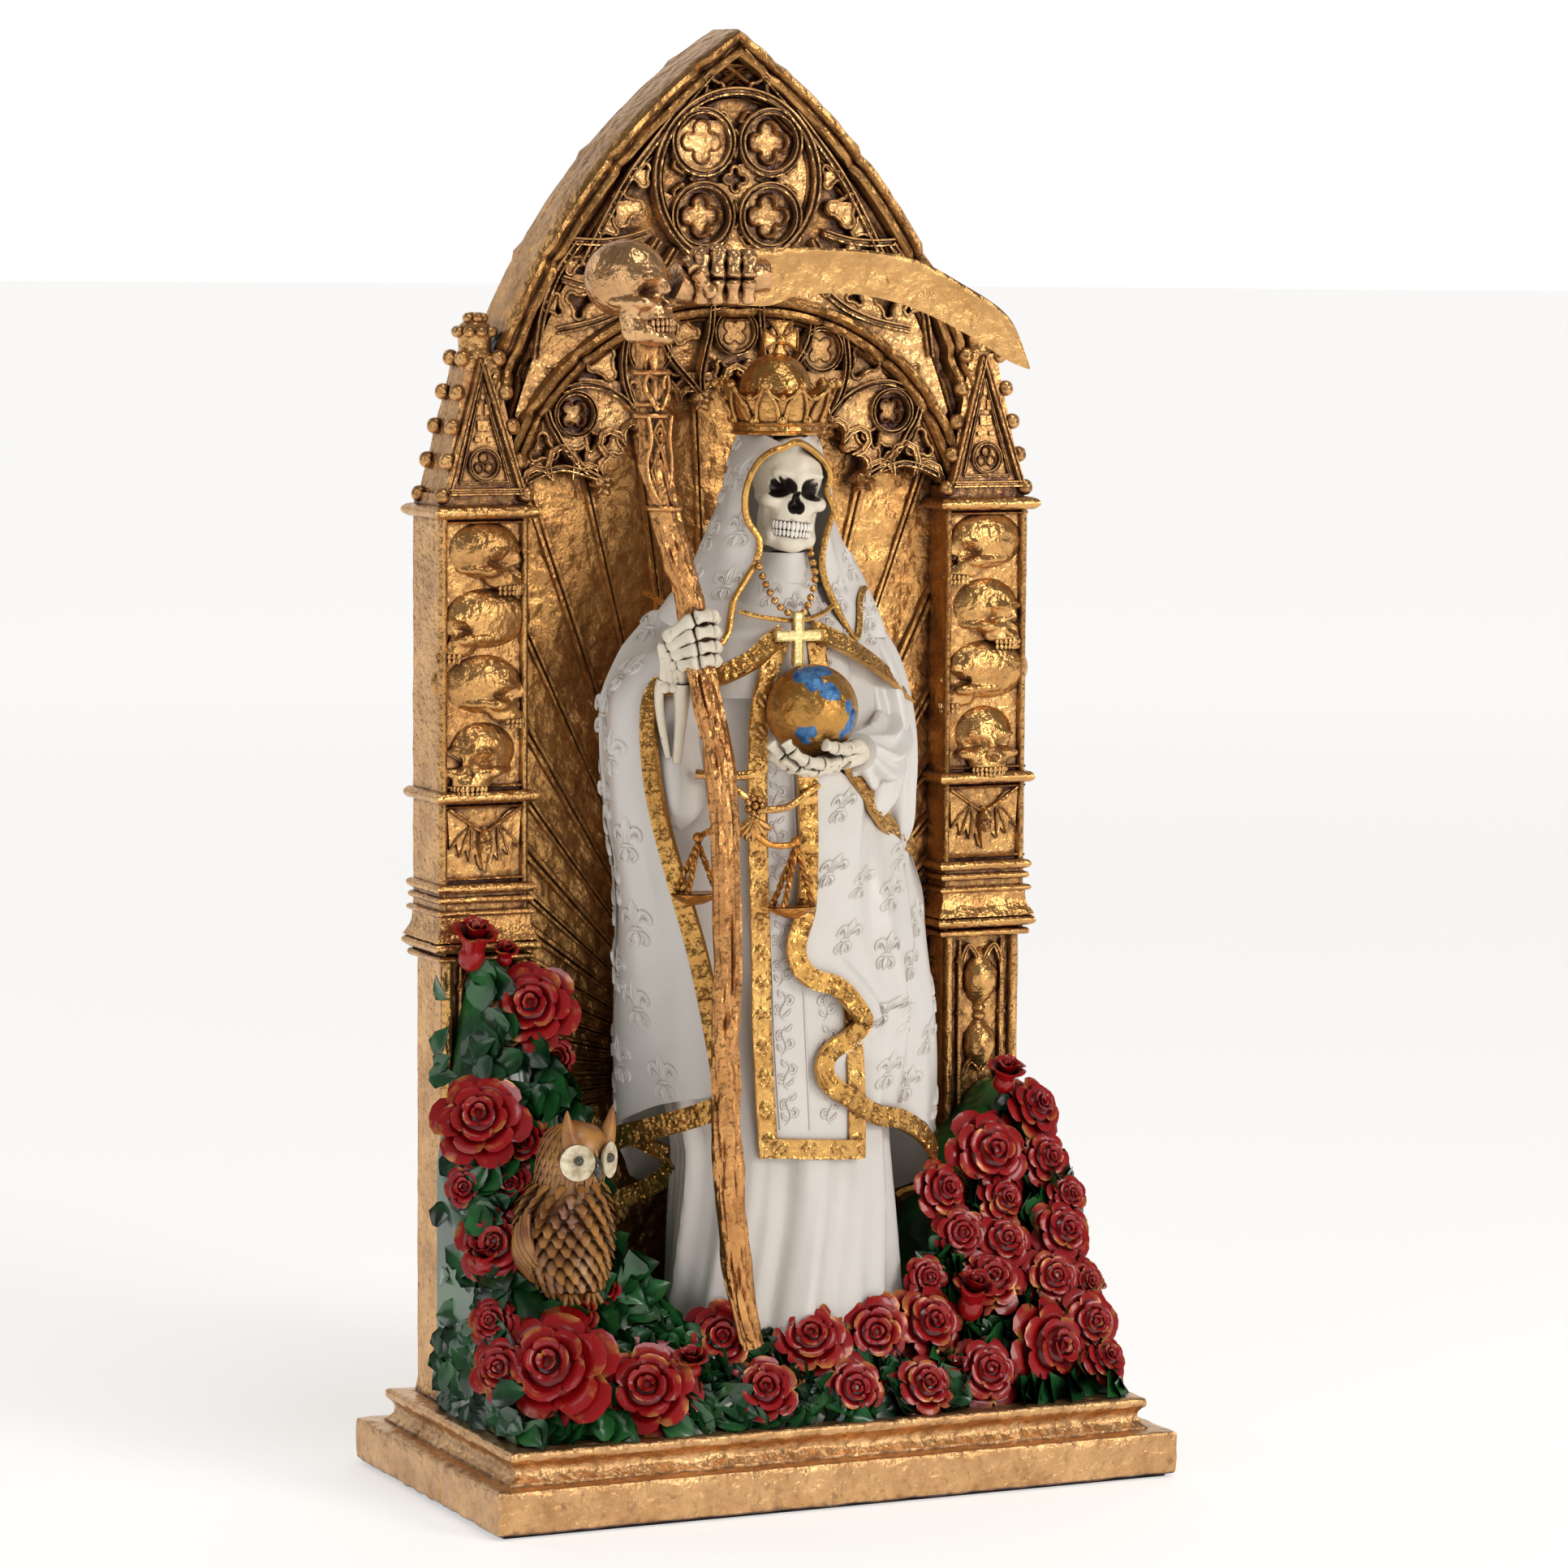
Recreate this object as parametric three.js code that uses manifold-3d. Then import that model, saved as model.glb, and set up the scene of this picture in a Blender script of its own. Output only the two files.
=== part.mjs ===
// Santa Muerte shrine figure: a robed skeleton with scythe, globe and owl in a Gothic niche.
// Millimetres, X to the right, Y to the back, Z up, origin on the ground under the middle of the base.
import * as THREE from 'three';
import { mergeVertices } from 'three/addons/utils/BufferGeometryUtils.js';
import Module from 'manifold-3d';

const wasm = await Module();
wasm.setup();

// Clearance between castings that are glued together, and how deep carving roots in what carries it
const glueGap = 0.3;
const root = 1.2;

// Felt pad and two-step plinth
const padThickness = 1.0;
const padInset = 3.0;
const slabWidth = 263.8;
const slabDepth = 139.4;
const slabTop = 16.7;
const stepWidth = 247.8;
const stepFront = -61.6;
const stepBack = 60.5;
const stepTop = 28.3;
const stepLip = 3.2;
const stepHollow = 2.6;

// Shrine: wall, niche panel, pillars and pointed arch
const wallBack = 53.0;
const panelFront = 40.0;
const floorFront = 35.0;
const traceryFront = 30.0;
const archFront = 28.0;
const archApex = 520.0;
const archSpring = 318.4;
const archHalf = 109.3;
const archRim = 10.5;
const hoodFront = 29.0;
const hoodRise = 337.0;
const hoodRadius = 88.0;
const hoodShift = 8.0;
const hoodBand = 10.0;
const pillarX = 99.4;
const pillarHalf = 16.9;
const pillarFront = 25.0;
const pillarRoll = 2.8;
const panelSink = 2.2;
const oculusZ = 466.2;
const oculusRadius = 33.0;
const raySpacing = 9;
const rayCentreZ = 140.0;
const skullHeight = 24.5;

// Figure: robe, mantle, head, crown and globe
const figureX = -1.0;
const figureY = 3.0;
const robeFoot = 47.0;
const mantleHalf = 57.0;
const mantleDepth = 32.5;
const mantleWall = 4.0;
const headX = -1.9;
const headY = -20.0;
const headZ = 348.0;
const headHeight = 38.0;
const crownX = -2.6;
const crownY = -10.0;
const crownZ = 377.0;
const crownRadius = 15.2;
const globeRadius = 16.3;

// Scythe: snath along the figure's right side, skull socket and blade
const snathRadius = 5.0;
const bladeThickness = 4.0;

// Owl and roses
const owlX = -91.0;
const owlY = -29.0;
const owlZ = 76.0;
const owlHeight = 64.0;
const petalCount = 5;

// A closed solid from a closed surface
function solid(form) {
  form.deleteAttribute('normal');
  form.deleteAttribute('uv');
  const merged = mergeVertices(form);
  return new wasm.Manifold(new wasm.Mesh({
    numProp: 3,
    vertProperties: new Float32Array(merged.attributes.position.array),
    triVerts: new Uint32Array(merged.index.array),
  }));
}

const join = (forms) => forms.reduce((whole, form) => whole.add(form));
const carve = (whole, cuts) => cuts.reduce((left, cut) => left.subtract(cut), whole);

// Lofted solid: ring(turn, t) places a point, turn round the form from its front, t from 0 below to 1 above
function loft(sides, rows, ring) {
  const form = new THREE.CylinderGeometry(1, 1, 1, sides, rows);
  const at = form.attributes.position;
  const middle = (t) => {
    const sum = new THREE.Vector3();
    for (let k = 0; k < sides; k++) sum.add(ring((2 * Math.PI * k) / sides, t));
    return sum.divideScalar(sides);
  };
  for (let i = 0; i < at.count; i++) {
    const t = at.getY(i) + 0.5;
    const onRing = Math.hypot(at.getX(i), at.getZ(i)) > 0.5;
    const p = onRing ? ring(Math.atan2(at.getX(i), at.getZ(i)), t) : middle(t);
    at.setXYZ(i, p.x, p.y, p.z);
  }
  return solid(form);
}

// Value at t of a list of stations spread evenly from 0 to 1
function along(stations, t) {
  const place = t * (stations.length - 1);
  const low = Math.min(Math.floor(place + 1e-6), stations.length - 2);
  return stations[low] + (stations[low + 1] - stations[low]) * (place - low);
}

// Upright form of oval sections, each level { z, x, y, a, b }, with an outward swell by turn and height
function ovals(sides, levels, swell = () => 0) {
  const column = (key) => levels.map((level) => level[key]);
  const [z, x, y, a, b] = ['z', 'x', 'y', 'a', 'b'].map(column);
  return loft(sides, levels.length - 1, (turn, t) => {
    const more = swell(turn, along(z, t));
    return new THREE.Vector3(
      along(x, t) + (along(a, t) + more) * Math.sin(turn),
      along(y, t) - (along(b, t) + more) * Math.cos(turn),
      along(z, t),
    );
  });
}

// Moulded block: a stack of rectangles, each level { z, x, left, right, front, back }
function stack(levels) {
  const column = (key) => levels.map((level) => level[key]);
  const [z, left, right, front, back] = ['z', 'left', 'right', 'front', 'back'].map(column);
  return loft(4, levels.length - 1, (turn, t) => {
    const corner = Math.round((turn / (Math.PI / 2) + 4) % 4) % 4;
    const x = corner === 0 || corner === 3 ? along(left, t) : along(right, t);
    const y = corner < 2 ? along(front, t) : along(back, t);
    return new THREE.Vector3(x, y, along(z, t));
  });
}

// Flat casting detail: an outline drawn in X and Z, thick from front to back
function slab(outline, front, back, smooth = 12) {
  const form = new THREE.ExtrudeGeometry(outline, {
    depth: back - front, bevelEnabled: false, curveSegments: smooth,
  });
  form.rotateX(Math.PI / 2);
  form.translate(0, back, 0);
  return solid(form);
}

function outline(points) {
  return new THREE.Shape(points.map(([x, z]) => new THREE.Vector2(x, z)));
}

function box(x0, x1, y0, y1, z0, z1) {
  const form = new THREE.BoxGeometry(x1 - x0, y1 - y0, z1 - z0);
  form.translate((x0 + x1) / 2, (y0 + y1) / 2, (z0 + z1) / 2);
  return solid(form);
}

// Ball or egg with few faces
function ball(x, y, z, rx, ry = rx, rz = rx, round = 6, tall = 4) {
  const form = new THREE.SphereGeometry(1, round, tall);
  form.rotateX(Math.PI / 2);
  form.scale(rx, ry, rz);
  form.translate(x, y, z);
  return solid(form);
}

// Rod swept along a smooth line through points, radius(t, turn) thick, its rings square to the line
function rod(points, sides, steps, radius) {
  const curve = new THREE.CatmullRomCurve3(points.map((p) => new THREE.Vector3(...p)));
  const frames = curve.computeFrenetFrames(steps, false);
  return loft(sides, steps, (turn, t) => {
    const k = Math.round(t * steps);
    const r = radius(t, turn);
    return curve.getPoint(t)
      .addScaledVector(frames.normals[k], r * Math.sin(turn))
      .addScaledVector(frames.binormals[k], -r * Math.cos(turn));
  });
}

// Bone: a straight rod between two points, thicker at its first end
function bone(from, to, thick, sides = 4) {
  return rod([from, to], sides, 1, (t) => thick * (1 - 0.2 * t));
}

// A copy of a solid moved by a matrix, with its faces turned back outward where the matrix mirrors
function moved(form, matrix) {
  const { vertProperties, triVerts } = form.getMesh();
  const at = new THREE.BufferAttribute(vertProperties, 3).applyMatrix4(matrix);
  return new wasm.Manifold(new wasm.Mesh({
    numProp: 3,
    vertProperties: at.array,
    triVerts: matrix.determinant() < 0 ? triVerts.slice().reverse() : triVerts,
  }));
}

// Leaned forward about X, then turned about Z, both in degrees, then set at a point
function placed(form, x, y, z, turn, lean = 0) {
  const angle = THREE.MathUtils.degToRad;
  const matrix = new THREE.Matrix4().makeTranslation(x, y, z)
    .multiply(new THREE.Matrix4().makeRotationZ(angle(turn)))
    .multiply(new THREE.Matrix4().makeRotationX(angle(lean)));
  return moved(form, matrix);
}

const mirrored = (form) => moved(form, new THREE.Matrix4().makeScale(-1, 1, 1));
const bothSides = (make) => [-1, 1].map(make);

function mesh(name, form, colour, metalness, roughness) {
  const { vertProperties, triVerts } = form.getMesh();
  const geometry = new THREE.BufferGeometry();
  geometry.setAttribute('position', new THREE.BufferAttribute(vertProperties, 3));
  geometry.setIndex(new THREE.BufferAttribute(triVerts, 1));
  geometry.computeVertexNormals();
  const made = new THREE.Mesh(
    geometry,
    new THREE.MeshStandardMaterial({ color: colour, metalness, roughness, flatShading: true }),
  );
  made.name = name;
  return made;
}

// Felt pad and plinth
function feltPad() {
  const half = slabWidth / 2 - padInset;
  const deep = slabDepth / 2 - padInset;
  return box(-half, half, -deep, deep, 0, padThickness);
}

function plinth() {
  const lower = box(
    -slabWidth / 2, slabWidth / 2, -slabDepth / 2, slabDepth / 2, padThickness + glueGap, slabTop,
  );
  const level = (z, inset) => ({
    z,
    left: -stepWidth / 2 + inset,
    right: stepWidth / 2 - inset,
    front: stepFront + inset,
    back: stepBack - inset,
  });
  const rise = stepTop - slabTop;
  const upper = stack([
    level(slabTop - root, stepHollow * 0.6),
    level(slabTop + rise * 0.25, stepHollow),
    level(slabTop + rise * 0.55, stepHollow * 0.75),
    level(stepTop - stepLip, stepHollow * 0.15),
    level(stepTop - stepLip * 0.7, 0),
    level(stepTop, 0),
  ]);
  return lower.add(upper);
}

// Shrine: the pointed arch is struck from two centres at the springing line
const archShift = ((archApex - archSpring) ** 2 - archHalf ** 2) / (2 * archHalf);
const archRadius = archShift + archHalf;
const shrineFoot = stepTop + glueGap;

function pointedArch(inset, foot) {
  const reach = archRadius - inset;
  const top = Math.acos(archShift / reach);
  const shape = new THREE.Shape();
  shape.moveTo(archShift - reach, foot);
  shape.lineTo(reach - archShift, foot);
  shape.absarc(-archShift, archSpring, reach, 0, top, false);
  shape.absarc(archShift, archSpring, reach, Math.PI - top, Math.PI, false);
  return shape;
}

// The low arch over the niche is struck from two centres that overlap the middle
function hoodArch(inset, foot) {
  const reach = hoodRadius - inset;
  const low = Math.asin((foot - hoodRise) / reach);
  const top = Math.acos(-hoodShift / reach);
  const shape = new THREE.Shape();
  shape.absarc(hoodShift, hoodRise, reach, low, top, false);
  shape.absarc(-hoodShift, hoodRise, reach, Math.PI - top, Math.PI - low, false);
  return shape;
}

function ringed(make, outer, inner, foot, front, back, smooth) {
  return slab(make(outer, foot), front, back, smooth)
    .subtract(slab(make(inner, foot - 1), front - 1, back + 1, smooth));
}

// Foils round a centre: a quatrefoil or trefoil opening, each lobe a few points
function foils(x, z, count, reach, lobe, start = 0, round = 3) {
  const points = [];
  for (let k = 0; k < count; k++) {
    const aim = start + (2 * Math.PI * k) / count;
    for (let j = 0; j < round; j++) {
      const swing = aim + ((j / (round - 1)) - 0.5) * 3.2;
      points.push([
        x + reach * Math.cos(aim) + lobe * Math.cos(swing),
        z + reach * Math.sin(aim) + lobe * Math.sin(swing),
      ]);
    }
  }
  return outline(points);
}

// Roundel: a raised ring round a sunk quatrefoil
function roundel(x, z, radius, start, sides = 10) {
  const disc = new THREE.Shape();
  disc.absarc(x, z, radius, 0, 2 * Math.PI, false);
  const rim = slab(disc, traceryFront - 0.8, floorFront + root, sides);
  return rim.subtract(slab(
    foils(x, z, 4, radius * 0.42, radius * 0.27, start), traceryFront - 2, floorFront, 1,
  ));
}

// Cusped edge from one pendant to the next: a small foil, a large one and a small one
function cusped([x0, z0], [x1, z1]) {
  const across = Math.hypot(x1 - x0, z1 - z0);
  const [ux, uz] = [(x1 - x0) / across, (z1 - z0) / across];
  const profile = [
    [0, 0], [0.14, 0.19], [0.36, 0.13], [0.33, 0.34], [0.5, 0.44], [0.67, 0.34], [0.64, 0.13], [0.86, 0.19],
  ];
  return profile.map(([s, h]) => [x0 + across * (s * ux - h * uz), z0 + across * (s * uz + h * ux)]);
}

const pendants = [[13.2, 388.0], [36.5, 378.3], [51.7, 358.0]];

function lowerTracery() {
  const reach = pillarX - pillarHalf + root;
  const right = [...pendants, [reach, 357.0]];
  const left = right.map(([x, z]) => [-x, z]).reverse();
  const line = [...left, ...right];
  const fringe = line.slice(1).flatMap((point, k) => cusped(line[k], point));
  const edge = outline([...fringe, [reach, 357.0], [reach, 440.0], [-reach, 440.0]].reverse());
  const plate = slab(edge, traceryFront + 1.0, panelFront + root, 1)
    .intersect(slab(hoodArch(hoodBand / 2, archSpring + 20), traceryFront, wallBack, 5));
  const bays = [[0, 411.4], [34.0, 404.7], [62.6, 382.2], [-34.0, 404.7], [-62.6, 382.2]];
  const piercings = bothSides((side) => [
    foils(side * 51.5, 398.5, 3, 4.2, 2.6, 0.4),
    foils(side * 74.6, 369.6, 3, 4.4, 2.6, 1.6),
  ]).flat();
  const carved = carve(plate, piercings.map((shape) => slab(shape, 0, floorFront, 1)));
  const bosses = [...pendants, ...pendants.map(([x, z]) => [-x, z])]
    .map(([x, z]) => ball(x, traceryFront + 2.0, z - 1.5, 3.6, 4.6, 3.8, 4, 2));
  return join([carved, ...bays.map(([x, z]) => roundel(x, z, 8.2, Math.PI / 4, 7)), ...bosses]);
}

function upperTracery() {
  const field = slab(pointedArch(archRim - 1, archSpring), floorFront, panelFront + root, 3)
    .subtract(slab(hoodArch(hoodBand / 2, archSpring - 10), 0, wallBack, 5));
  const disc = new THREE.Shape();
  disc.absarc(0, oculusZ, oculusRadius, 0, 2 * Math.PI, false);
  const hole = new THREE.Path();
  hole.absarc(0, oculusZ, oculusRadius - 3, 0, 2 * Math.PI, true);
  disc.holes.push(hole);
  const oculus = slab(disc, traceryFront, floorFront + root, 14);
  const quarter = oculusRadius * 0.405;
  const roundels = [1, -1].flatMap((sx) => [1, -1].map(
    (sz) => roundel(sx * quarter, oculusZ + sz * quarter, 12.6, 0, 8),
  ));
  const trefoils = bothSides((side) => [
    foils(side * 46.0, 456.0, 3, 5.2, 3.2, 0.9),
    foils(side * 53.0, 440.0, 3, 5.2, 3.2, 2.4),
  ]).flat();
  const web = slab(pointedArch(archRim - 1, archSpring), traceryFront + 1.5, floorFront + root, 6);
  const clear = new THREE.Shape();
  clear.absarc(0, oculusZ, oculusRadius - 1, 0, 2 * Math.PI, false);
  const spandrels = carve(web, [
    slab(hoodArch(hoodBand / 2, archSpring - 10), 0, wallBack, 5),
    slab(clear, 0, wallBack, 7),
    box(-archHalf, archHalf, 0, wallBack, 0, 417),
    ...trefoils.map((shape) => slab(shape, 0, floorFront, 1)),
  ]);
  return join([field, spandrels, oculus, ...roundels]);
}

function archMouldings() {
  const outer = ringed(pointedArch, 0, archRim * 0.4, archSpring, archFront, wallBack, 6);
  const inner = ringed(pointedArch, 1, archRim, archSpring, archFront + 2.6, wallBack, 6);
  const hoodOuter = ringed(hoodArch, 0, hoodBand * 0.5, archSpring + 24, hoodFront, panelFront + root, 5);
  const hoodInner = ringed(
    hoodArch, hoodBand * 0.4, hoodBand, archSpring + 24, hoodFront + 1.8, panelFront + root, 5,
  );
  const joints = [0.38, 0.76].flatMap((share) => bothSides((side) => {
    const aim = share * Math.acos(archShift / archRadius);
    const cut = new THREE.BoxGeometry(archRim + 4, 3, 0.9);
    cut.translate(archRadius - archRim / 2, 0, 0);
    cut.rotateY(-aim);
    cut.translate(-archShift, archFront, archSpring);
    const notch = solid(cut);
    return side > 0 ? notch : mirrored(notch);
  }));
  return carve(join([outer, inner, hoodOuter, hoodInner]), joints);
}

function rays() {
  const ridges = [];
  for (let turn = -9; turn <= 189; turn += raySpacing) {
    const aim = (turn * Math.PI) / 180;
    const [c, s] = [Math.cos(aim), Math.sin(aim)];
    const far = Math.min((pillarX - 10) / Math.max(Math.abs(c), 0.01), 255);
    const wide = 0.012 * far;
    ridges.push(slab(outline([
      [22 * c, rayCentreZ + 22 * s],
      [far * c + wide * s, rayCentreZ + far * s - wide * c],
      [far * c - wide * s, rayCentreZ + far * s + wide * c],
    ]), panelFront - 1.6, panelFront + root, 1));
  }
  return ridges;
}

// Skull of a given height facing the front, then turned on its neck and set in place
function skull(x, y, z, height, turn, fine = false) {
  const h = height / 24;
  const [round, tall] = fine ? [9, 5] : [6, 4];
  const head = ball(0, 1.5 * h, 3 * h, 9.4 * h, 11 * h, 9.6 * h, round, tall);
  const level = (height0, across, front, back) => ({ z: height0 * h, x: 0, y: (front + back) * h / 2,
    a: across * h, b: ((back - front) * h) / 2 });
  const face = fine
    ? ovals(8, [level(-12, 3.6, -9, -1), level(-9, 4.6, -10.6, 0), level(-5.5, 5.0, -10.8, 2),
      level(-2.5, 7.4, -9.4, 2), level(3, 7.6, -9.2, 2)])
    : ovals(5, [level(-12, 4.4, -10.8, 0), level(3, 7.8, -10, 2)]);
  const [ring, deep] = fine ? [6, 3] : [4, 2];
  const sockets = bothSides(
    (side) => ball(side * 3.5 * h, -9.6 * h, 0.4 * h, 2.7 * h, 3.6 * h, 2.5 * h, ring, deep),
  );
  const nose = slab(outline([[-1.2 * h, -4.6 * h], [1.2 * h, -4.6 * h], [0, -1.4 * h]]), -14 * h, -8 * h, 1);
  const bite = box(-6 * h, 6 * h, -14 * h, -9.8 * h, -8.3 * h, -7.4 * h);
  return placed(carve(head.add(face), fine ? [...sockets, nose, bite] : sockets), x, y, z, turn);
}

function bat(x, z) {
  const half = [[0, -9], [4, -3.5], [9, -7.5], [14, -1], [14, 8.5], [8, 7], [3, 3], [0, 5.5]];
  const whole = [...half, ...half.slice(1, -1).reverse().map(([px, pz]) => [-px, pz])];
  const wings = slab(outline(whole.map(([px, pz]) => [x + px, z + pz])),
    pillarFront, pillarFront + panelSink + root, 1);
  return wings.add(ball(x, pillarFront, z, 2.6, 3.0, 4.2, 4, 2));
}

// Pillar levels: half width grows where a roll or hollow runs round it
function pillarBody() {
  const level = (z, grow) => ({
    z,
    left: pillarX - pillarHalf - grow,
    right: pillarX + pillarHalf + grow,
    front: pillarFront - grow * 0.8,
    back: wallBack,
  });
  const shaft = -1.2;
  return stack([
    level(shrineFoot, shaft), level(187.5, shaft), level(188.5, 1.4), level(191.2, 3.2),
    level(195.0, 3.2), level(197.0, 1.4), level(204.0, 0.4),
    level(204.2, 1.6), level(206.2, 1.6), level(206.8, 0.5), level(213.0, 1.6), level(215.6, 1.6),
    level(216.0, 0), level(244.4, 0), level(244.8, 2.6), level(248.4, 2.6), level(248.8, 0),
    level(345.6, 0), level(346.2, 3.2), level(350.4, 3.2), level(351.0, 0.6), level(355.0, 0),
  ]);
}

function pillarCarving(skullTurns) {
  const opening = (z0, z1) => box(
    pillarX - pillarHalf + pillarRoll, pillarX + pillarHalf - pillarRoll,
    pillarFront - 4, pillarFront + panelSink, z0, z1,
  );
  const pockets = [opening(249.6, 345.0), opening(216.8, 243.6)];
  const lower = box(pillarX - 11, pillarX + 11, 0, pillarFront + panelSink + 1.4, 100, 184);
  const glass = ovals(5, [
    [139, 3.5], [147, 7], [155, 4], [157.5, 2.4], [161, 2.6], [167, 7.2], [176, 7.4], [179, 4],
  ].map(([z, a]) => ({ z, x: pillarX, y: pillarFront + 4, a, b: a * 0.6 })));
  const colonnettes = bothSides((side) => box(
    pillarX + side * 8.4 - 1, pillarX + side * 8.4 + 1,
    pillarFront + 1.4, pillarFront + panelSink + 3, 99, 185,
  ));
  const crest = slab(outline([
    [pillarX - 8, 185], [pillarX - 5.5, 176], [pillarX - 3, 181], [pillarX, 171],
    [pillarX + 3, 181], [pillarX + 5.5, 176], [pillarX + 8, 185],
  ]), pillarFront + 1, pillarFront + panelSink + 3, 1);
  const spacing = 24.2;
  const skulls = skullTurns.map((turn, k) => skull(
    pillarX - Math.sign(turn || 1) * 1.5, pillarFront + 6.5, 332.6 - k * spacing, skullHeight, turn,
  ));
  return { pockets: [...pockets, lower], relief: [glass, ...colonnettes, crest, ...skulls,
    bat(pillarX, 231)] };
}

// Pinnacle: a tapering block with a gabled front, crockets up its corners and two rings of beads
function pinnacle() {
  const foot = 355.0;
  const top = 403.0;
  const level = (z, half, front, back) => ({
    z, left: pillarX - half, right: pillarX + half, front, back,
  });
  const spire = stack([
    level(foot - root, 15.0, pillarFront, wallBack - 2), level(foot + 1.5, 15.0, pillarFront, wallBack - 3),
    level(top, 5.2, pillarFront + 4, wallBack - 8),
  ]);
  const gable = outline([[pillarX - 14, foot], [pillarX + 14, foot], [pillarX, top + 2]]);
  const field = new THREE.Path([[pillarX - 9.5, foot + 2.5], [pillarX, top - 9], [pillarX + 9.5, foot + 2.5]]
    .map(([x, z]) => new THREE.Vector2(x, z)));
  gable.holes.push(field);
  const frame = slab(gable, pillarFront - 0.8, pillarFront + 6, 1);
  const medallion = new THREE.Shape();
  medallion.absarc(pillarX, foot + 9.5, 6.2, 0, 2 * Math.PI, false);
  const discs = slab(medallion, pillarFront - 0.2, pillarFront + 6, 7).subtract(slab(
    foils(pillarX, foot + 9.5, 3, 2.6, 2.0, Math.PI / 2), pillarFront - 2, pillarFront + 1.4, 1,
  ));
  const blocks = [[19, 3.4], [25, 2.2]].map(([rise, half]) => box(
    pillarX - half, pillarX + half, pillarFront + 0.2, pillarFront + 8, foot + rise, foot + rise + 3.2,
  ));
  const crockets = [0, 1, 2, 3, 4].flatMap((k) => {
    const t = k / 4;
    const half = 16.2 - 9.4 * t;
    const z = foot - 1 + (top - foot) * t;
    return [
      ball(pillarX - half, pillarFront + 1 + 4 * t, z, 3.3, 3.3, 3.3, 4, 2),
      ball(pillarX + half, pillarFront + 1 + 4 * t, z, 3.3, 3.3, 3.3, 4, 2),
      ball(pillarX + half, wallBack - 6 - 3 * t, z, 3.3, 3.3, 3.3, 4, 2),
    ];
  });
  const y = pillarFront + 11;
  const finial = ovals(6, [
    [top - root, 6.4], [top + 5.5, 6.2], [top + 7.5, 8.6], [top + 10, 5.6], [top + 15, 3.6],
  ].map(([z, a]) => ({ z, x: pillarX, y, a, b: a })));
  return join([spire, frame, discs, ...blocks, ...crockets, finial]);
}

function shrine() {
  const wall = slab(pointedArch(0, shrineFoot), panelFront, wallBack, 6);
  const turns = { right: [-50, 35, -70, 20], left: [65, -55, 80, 20] };
  const pillars = [turns.right, turns.left].map((skullTurns, k) => {
    const { pockets, relief } = pillarCarving(k ? skullTurns.map((turn) => -turn) : skullTurns);
    const whole = join([carve(pillarBody(), pockets), ...relief, pinnacle()]);
    return k ? mirrored(whole) : whole;
  });
  return join([wall, ...rays(), archMouldings(), upperTracery(), lowerTracery(), ...pillars]);
}

// Figure: soft folds run down the robe and grow towards its hem
function robe(grow = 0) {
  const level = (z, a, b, x, y) => ({ z, x, y, a: a + grow, b: b + grow });
  return ovals(18, [
    level(stepTop + glueGap - grow, robeFoot, 34, 2, -10), level(75, 43, 30, 2, -10),
    level(120, 40, 28, 2, -8), level(165, 45, 27, 0, 0), level(210, 52, 28.5, -1, 3),
    level(255, 53, 28, -1, 3), level(300, 44, 22, -1, 3), level(322, 20, 15, -1, 0),
  ], (turn, z) => 2.2 * Math.cos(6 * turn) * Math.max(0, 1 - (z - stepTop) / 160));
}

// Where the mantle's two front edges run at a height, as turns from the front
const mantleLeft = [-0.72, -0.82, -0.98, -1.12, -1.2, -1.2, -1.0];
const mantleRight = [0.95, 0.3, 0.02, 0.02, 0.2, 0.5, 0.7];
const mantleHem = 126.0;
const mantleTop = 316.0;

function mantle(grow = 0) {
  const form = new THREE.BoxGeometry(1, 1, 1, 14, 7, 1);
  const at = form.attributes.position;
  const halves = [61, 58.5, 57, 57, 58, 58.5, 54, 34].map((a) => (a / 57) * mantleHalf);
  const depths = [32, 33, 33, 33, 33, 31, 27, 18].map((b) => (b / 33) * mantleDepth);
  for (let i = 0; i < at.count; i++) {
    const t = at.getY(i) + 0.5;
    const u = 0.5 - at.getX(i);
    const outer = at.getZ(i) > 0;
    const from = along(mantleLeft, t);
    const to = along(mantleRight, t) - 2 * Math.PI;
    const spread = grow / mantleHalf;
    const turn = from + spread + (to - spread - from - spread) * u;
    const hang = 1 - t;
    const fold = 1.6 * Math.sin(turn * 7) * hang;
    const reach = (outer ? grow : -mantleWall - 10 * t - grow) + fold;
    const drop = 10 * Math.max(0, Math.cos(turn)) * hang ** 3
      - 20 * Math.max(0, Math.sin(turn)) * hang ** 4;
    const z = mantleHem + (mantleTop - mantleHem) * t + drop + (t < 0.01 ? -grow : 0);
    at.setXYZ(
      i,
      figureX + (along(halves, t) + reach) * Math.sin(turn),
      figureY - (along(depths, t) + reach) * Math.cos(turn),
      z,
    );
  }
  return solid(form);
}

function head() {
  const level = (z, a, b, x, y) => ({ z, x, y, a, b });
  const veil = ovals(12, [
    level(296, 39, 22, 1, 3), level(326, 31, 22, 0, -1), level(345, 23.5, 19.5, -2, -5),
    level(360, 20, 18.5, -2.5, -8), level(378, 15.8, 15.8, crownX, crownY),
  ]);
  const opening = ball(headX - 0.5, headY - 17, headZ - 8, 13.5, 18, 28, 8, 5);
  const chest = ovals(6, [
    level(286, 24, 14, -4, -20), level(308, 21, 12, -3, -18), level(328, 9, 8, -2, -14),
  ]);
  const face = skull(headX, headY, headZ, headHeight, 4, true);
  const cross = [
    box(-7.6, -4.6, -36, -28, 297, 315), box(-14, 1.8, -36, -28, 305, 308.4),
  ];
  return join([carve(veil, [opening]), chest, face, ...cross]);
}

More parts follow.
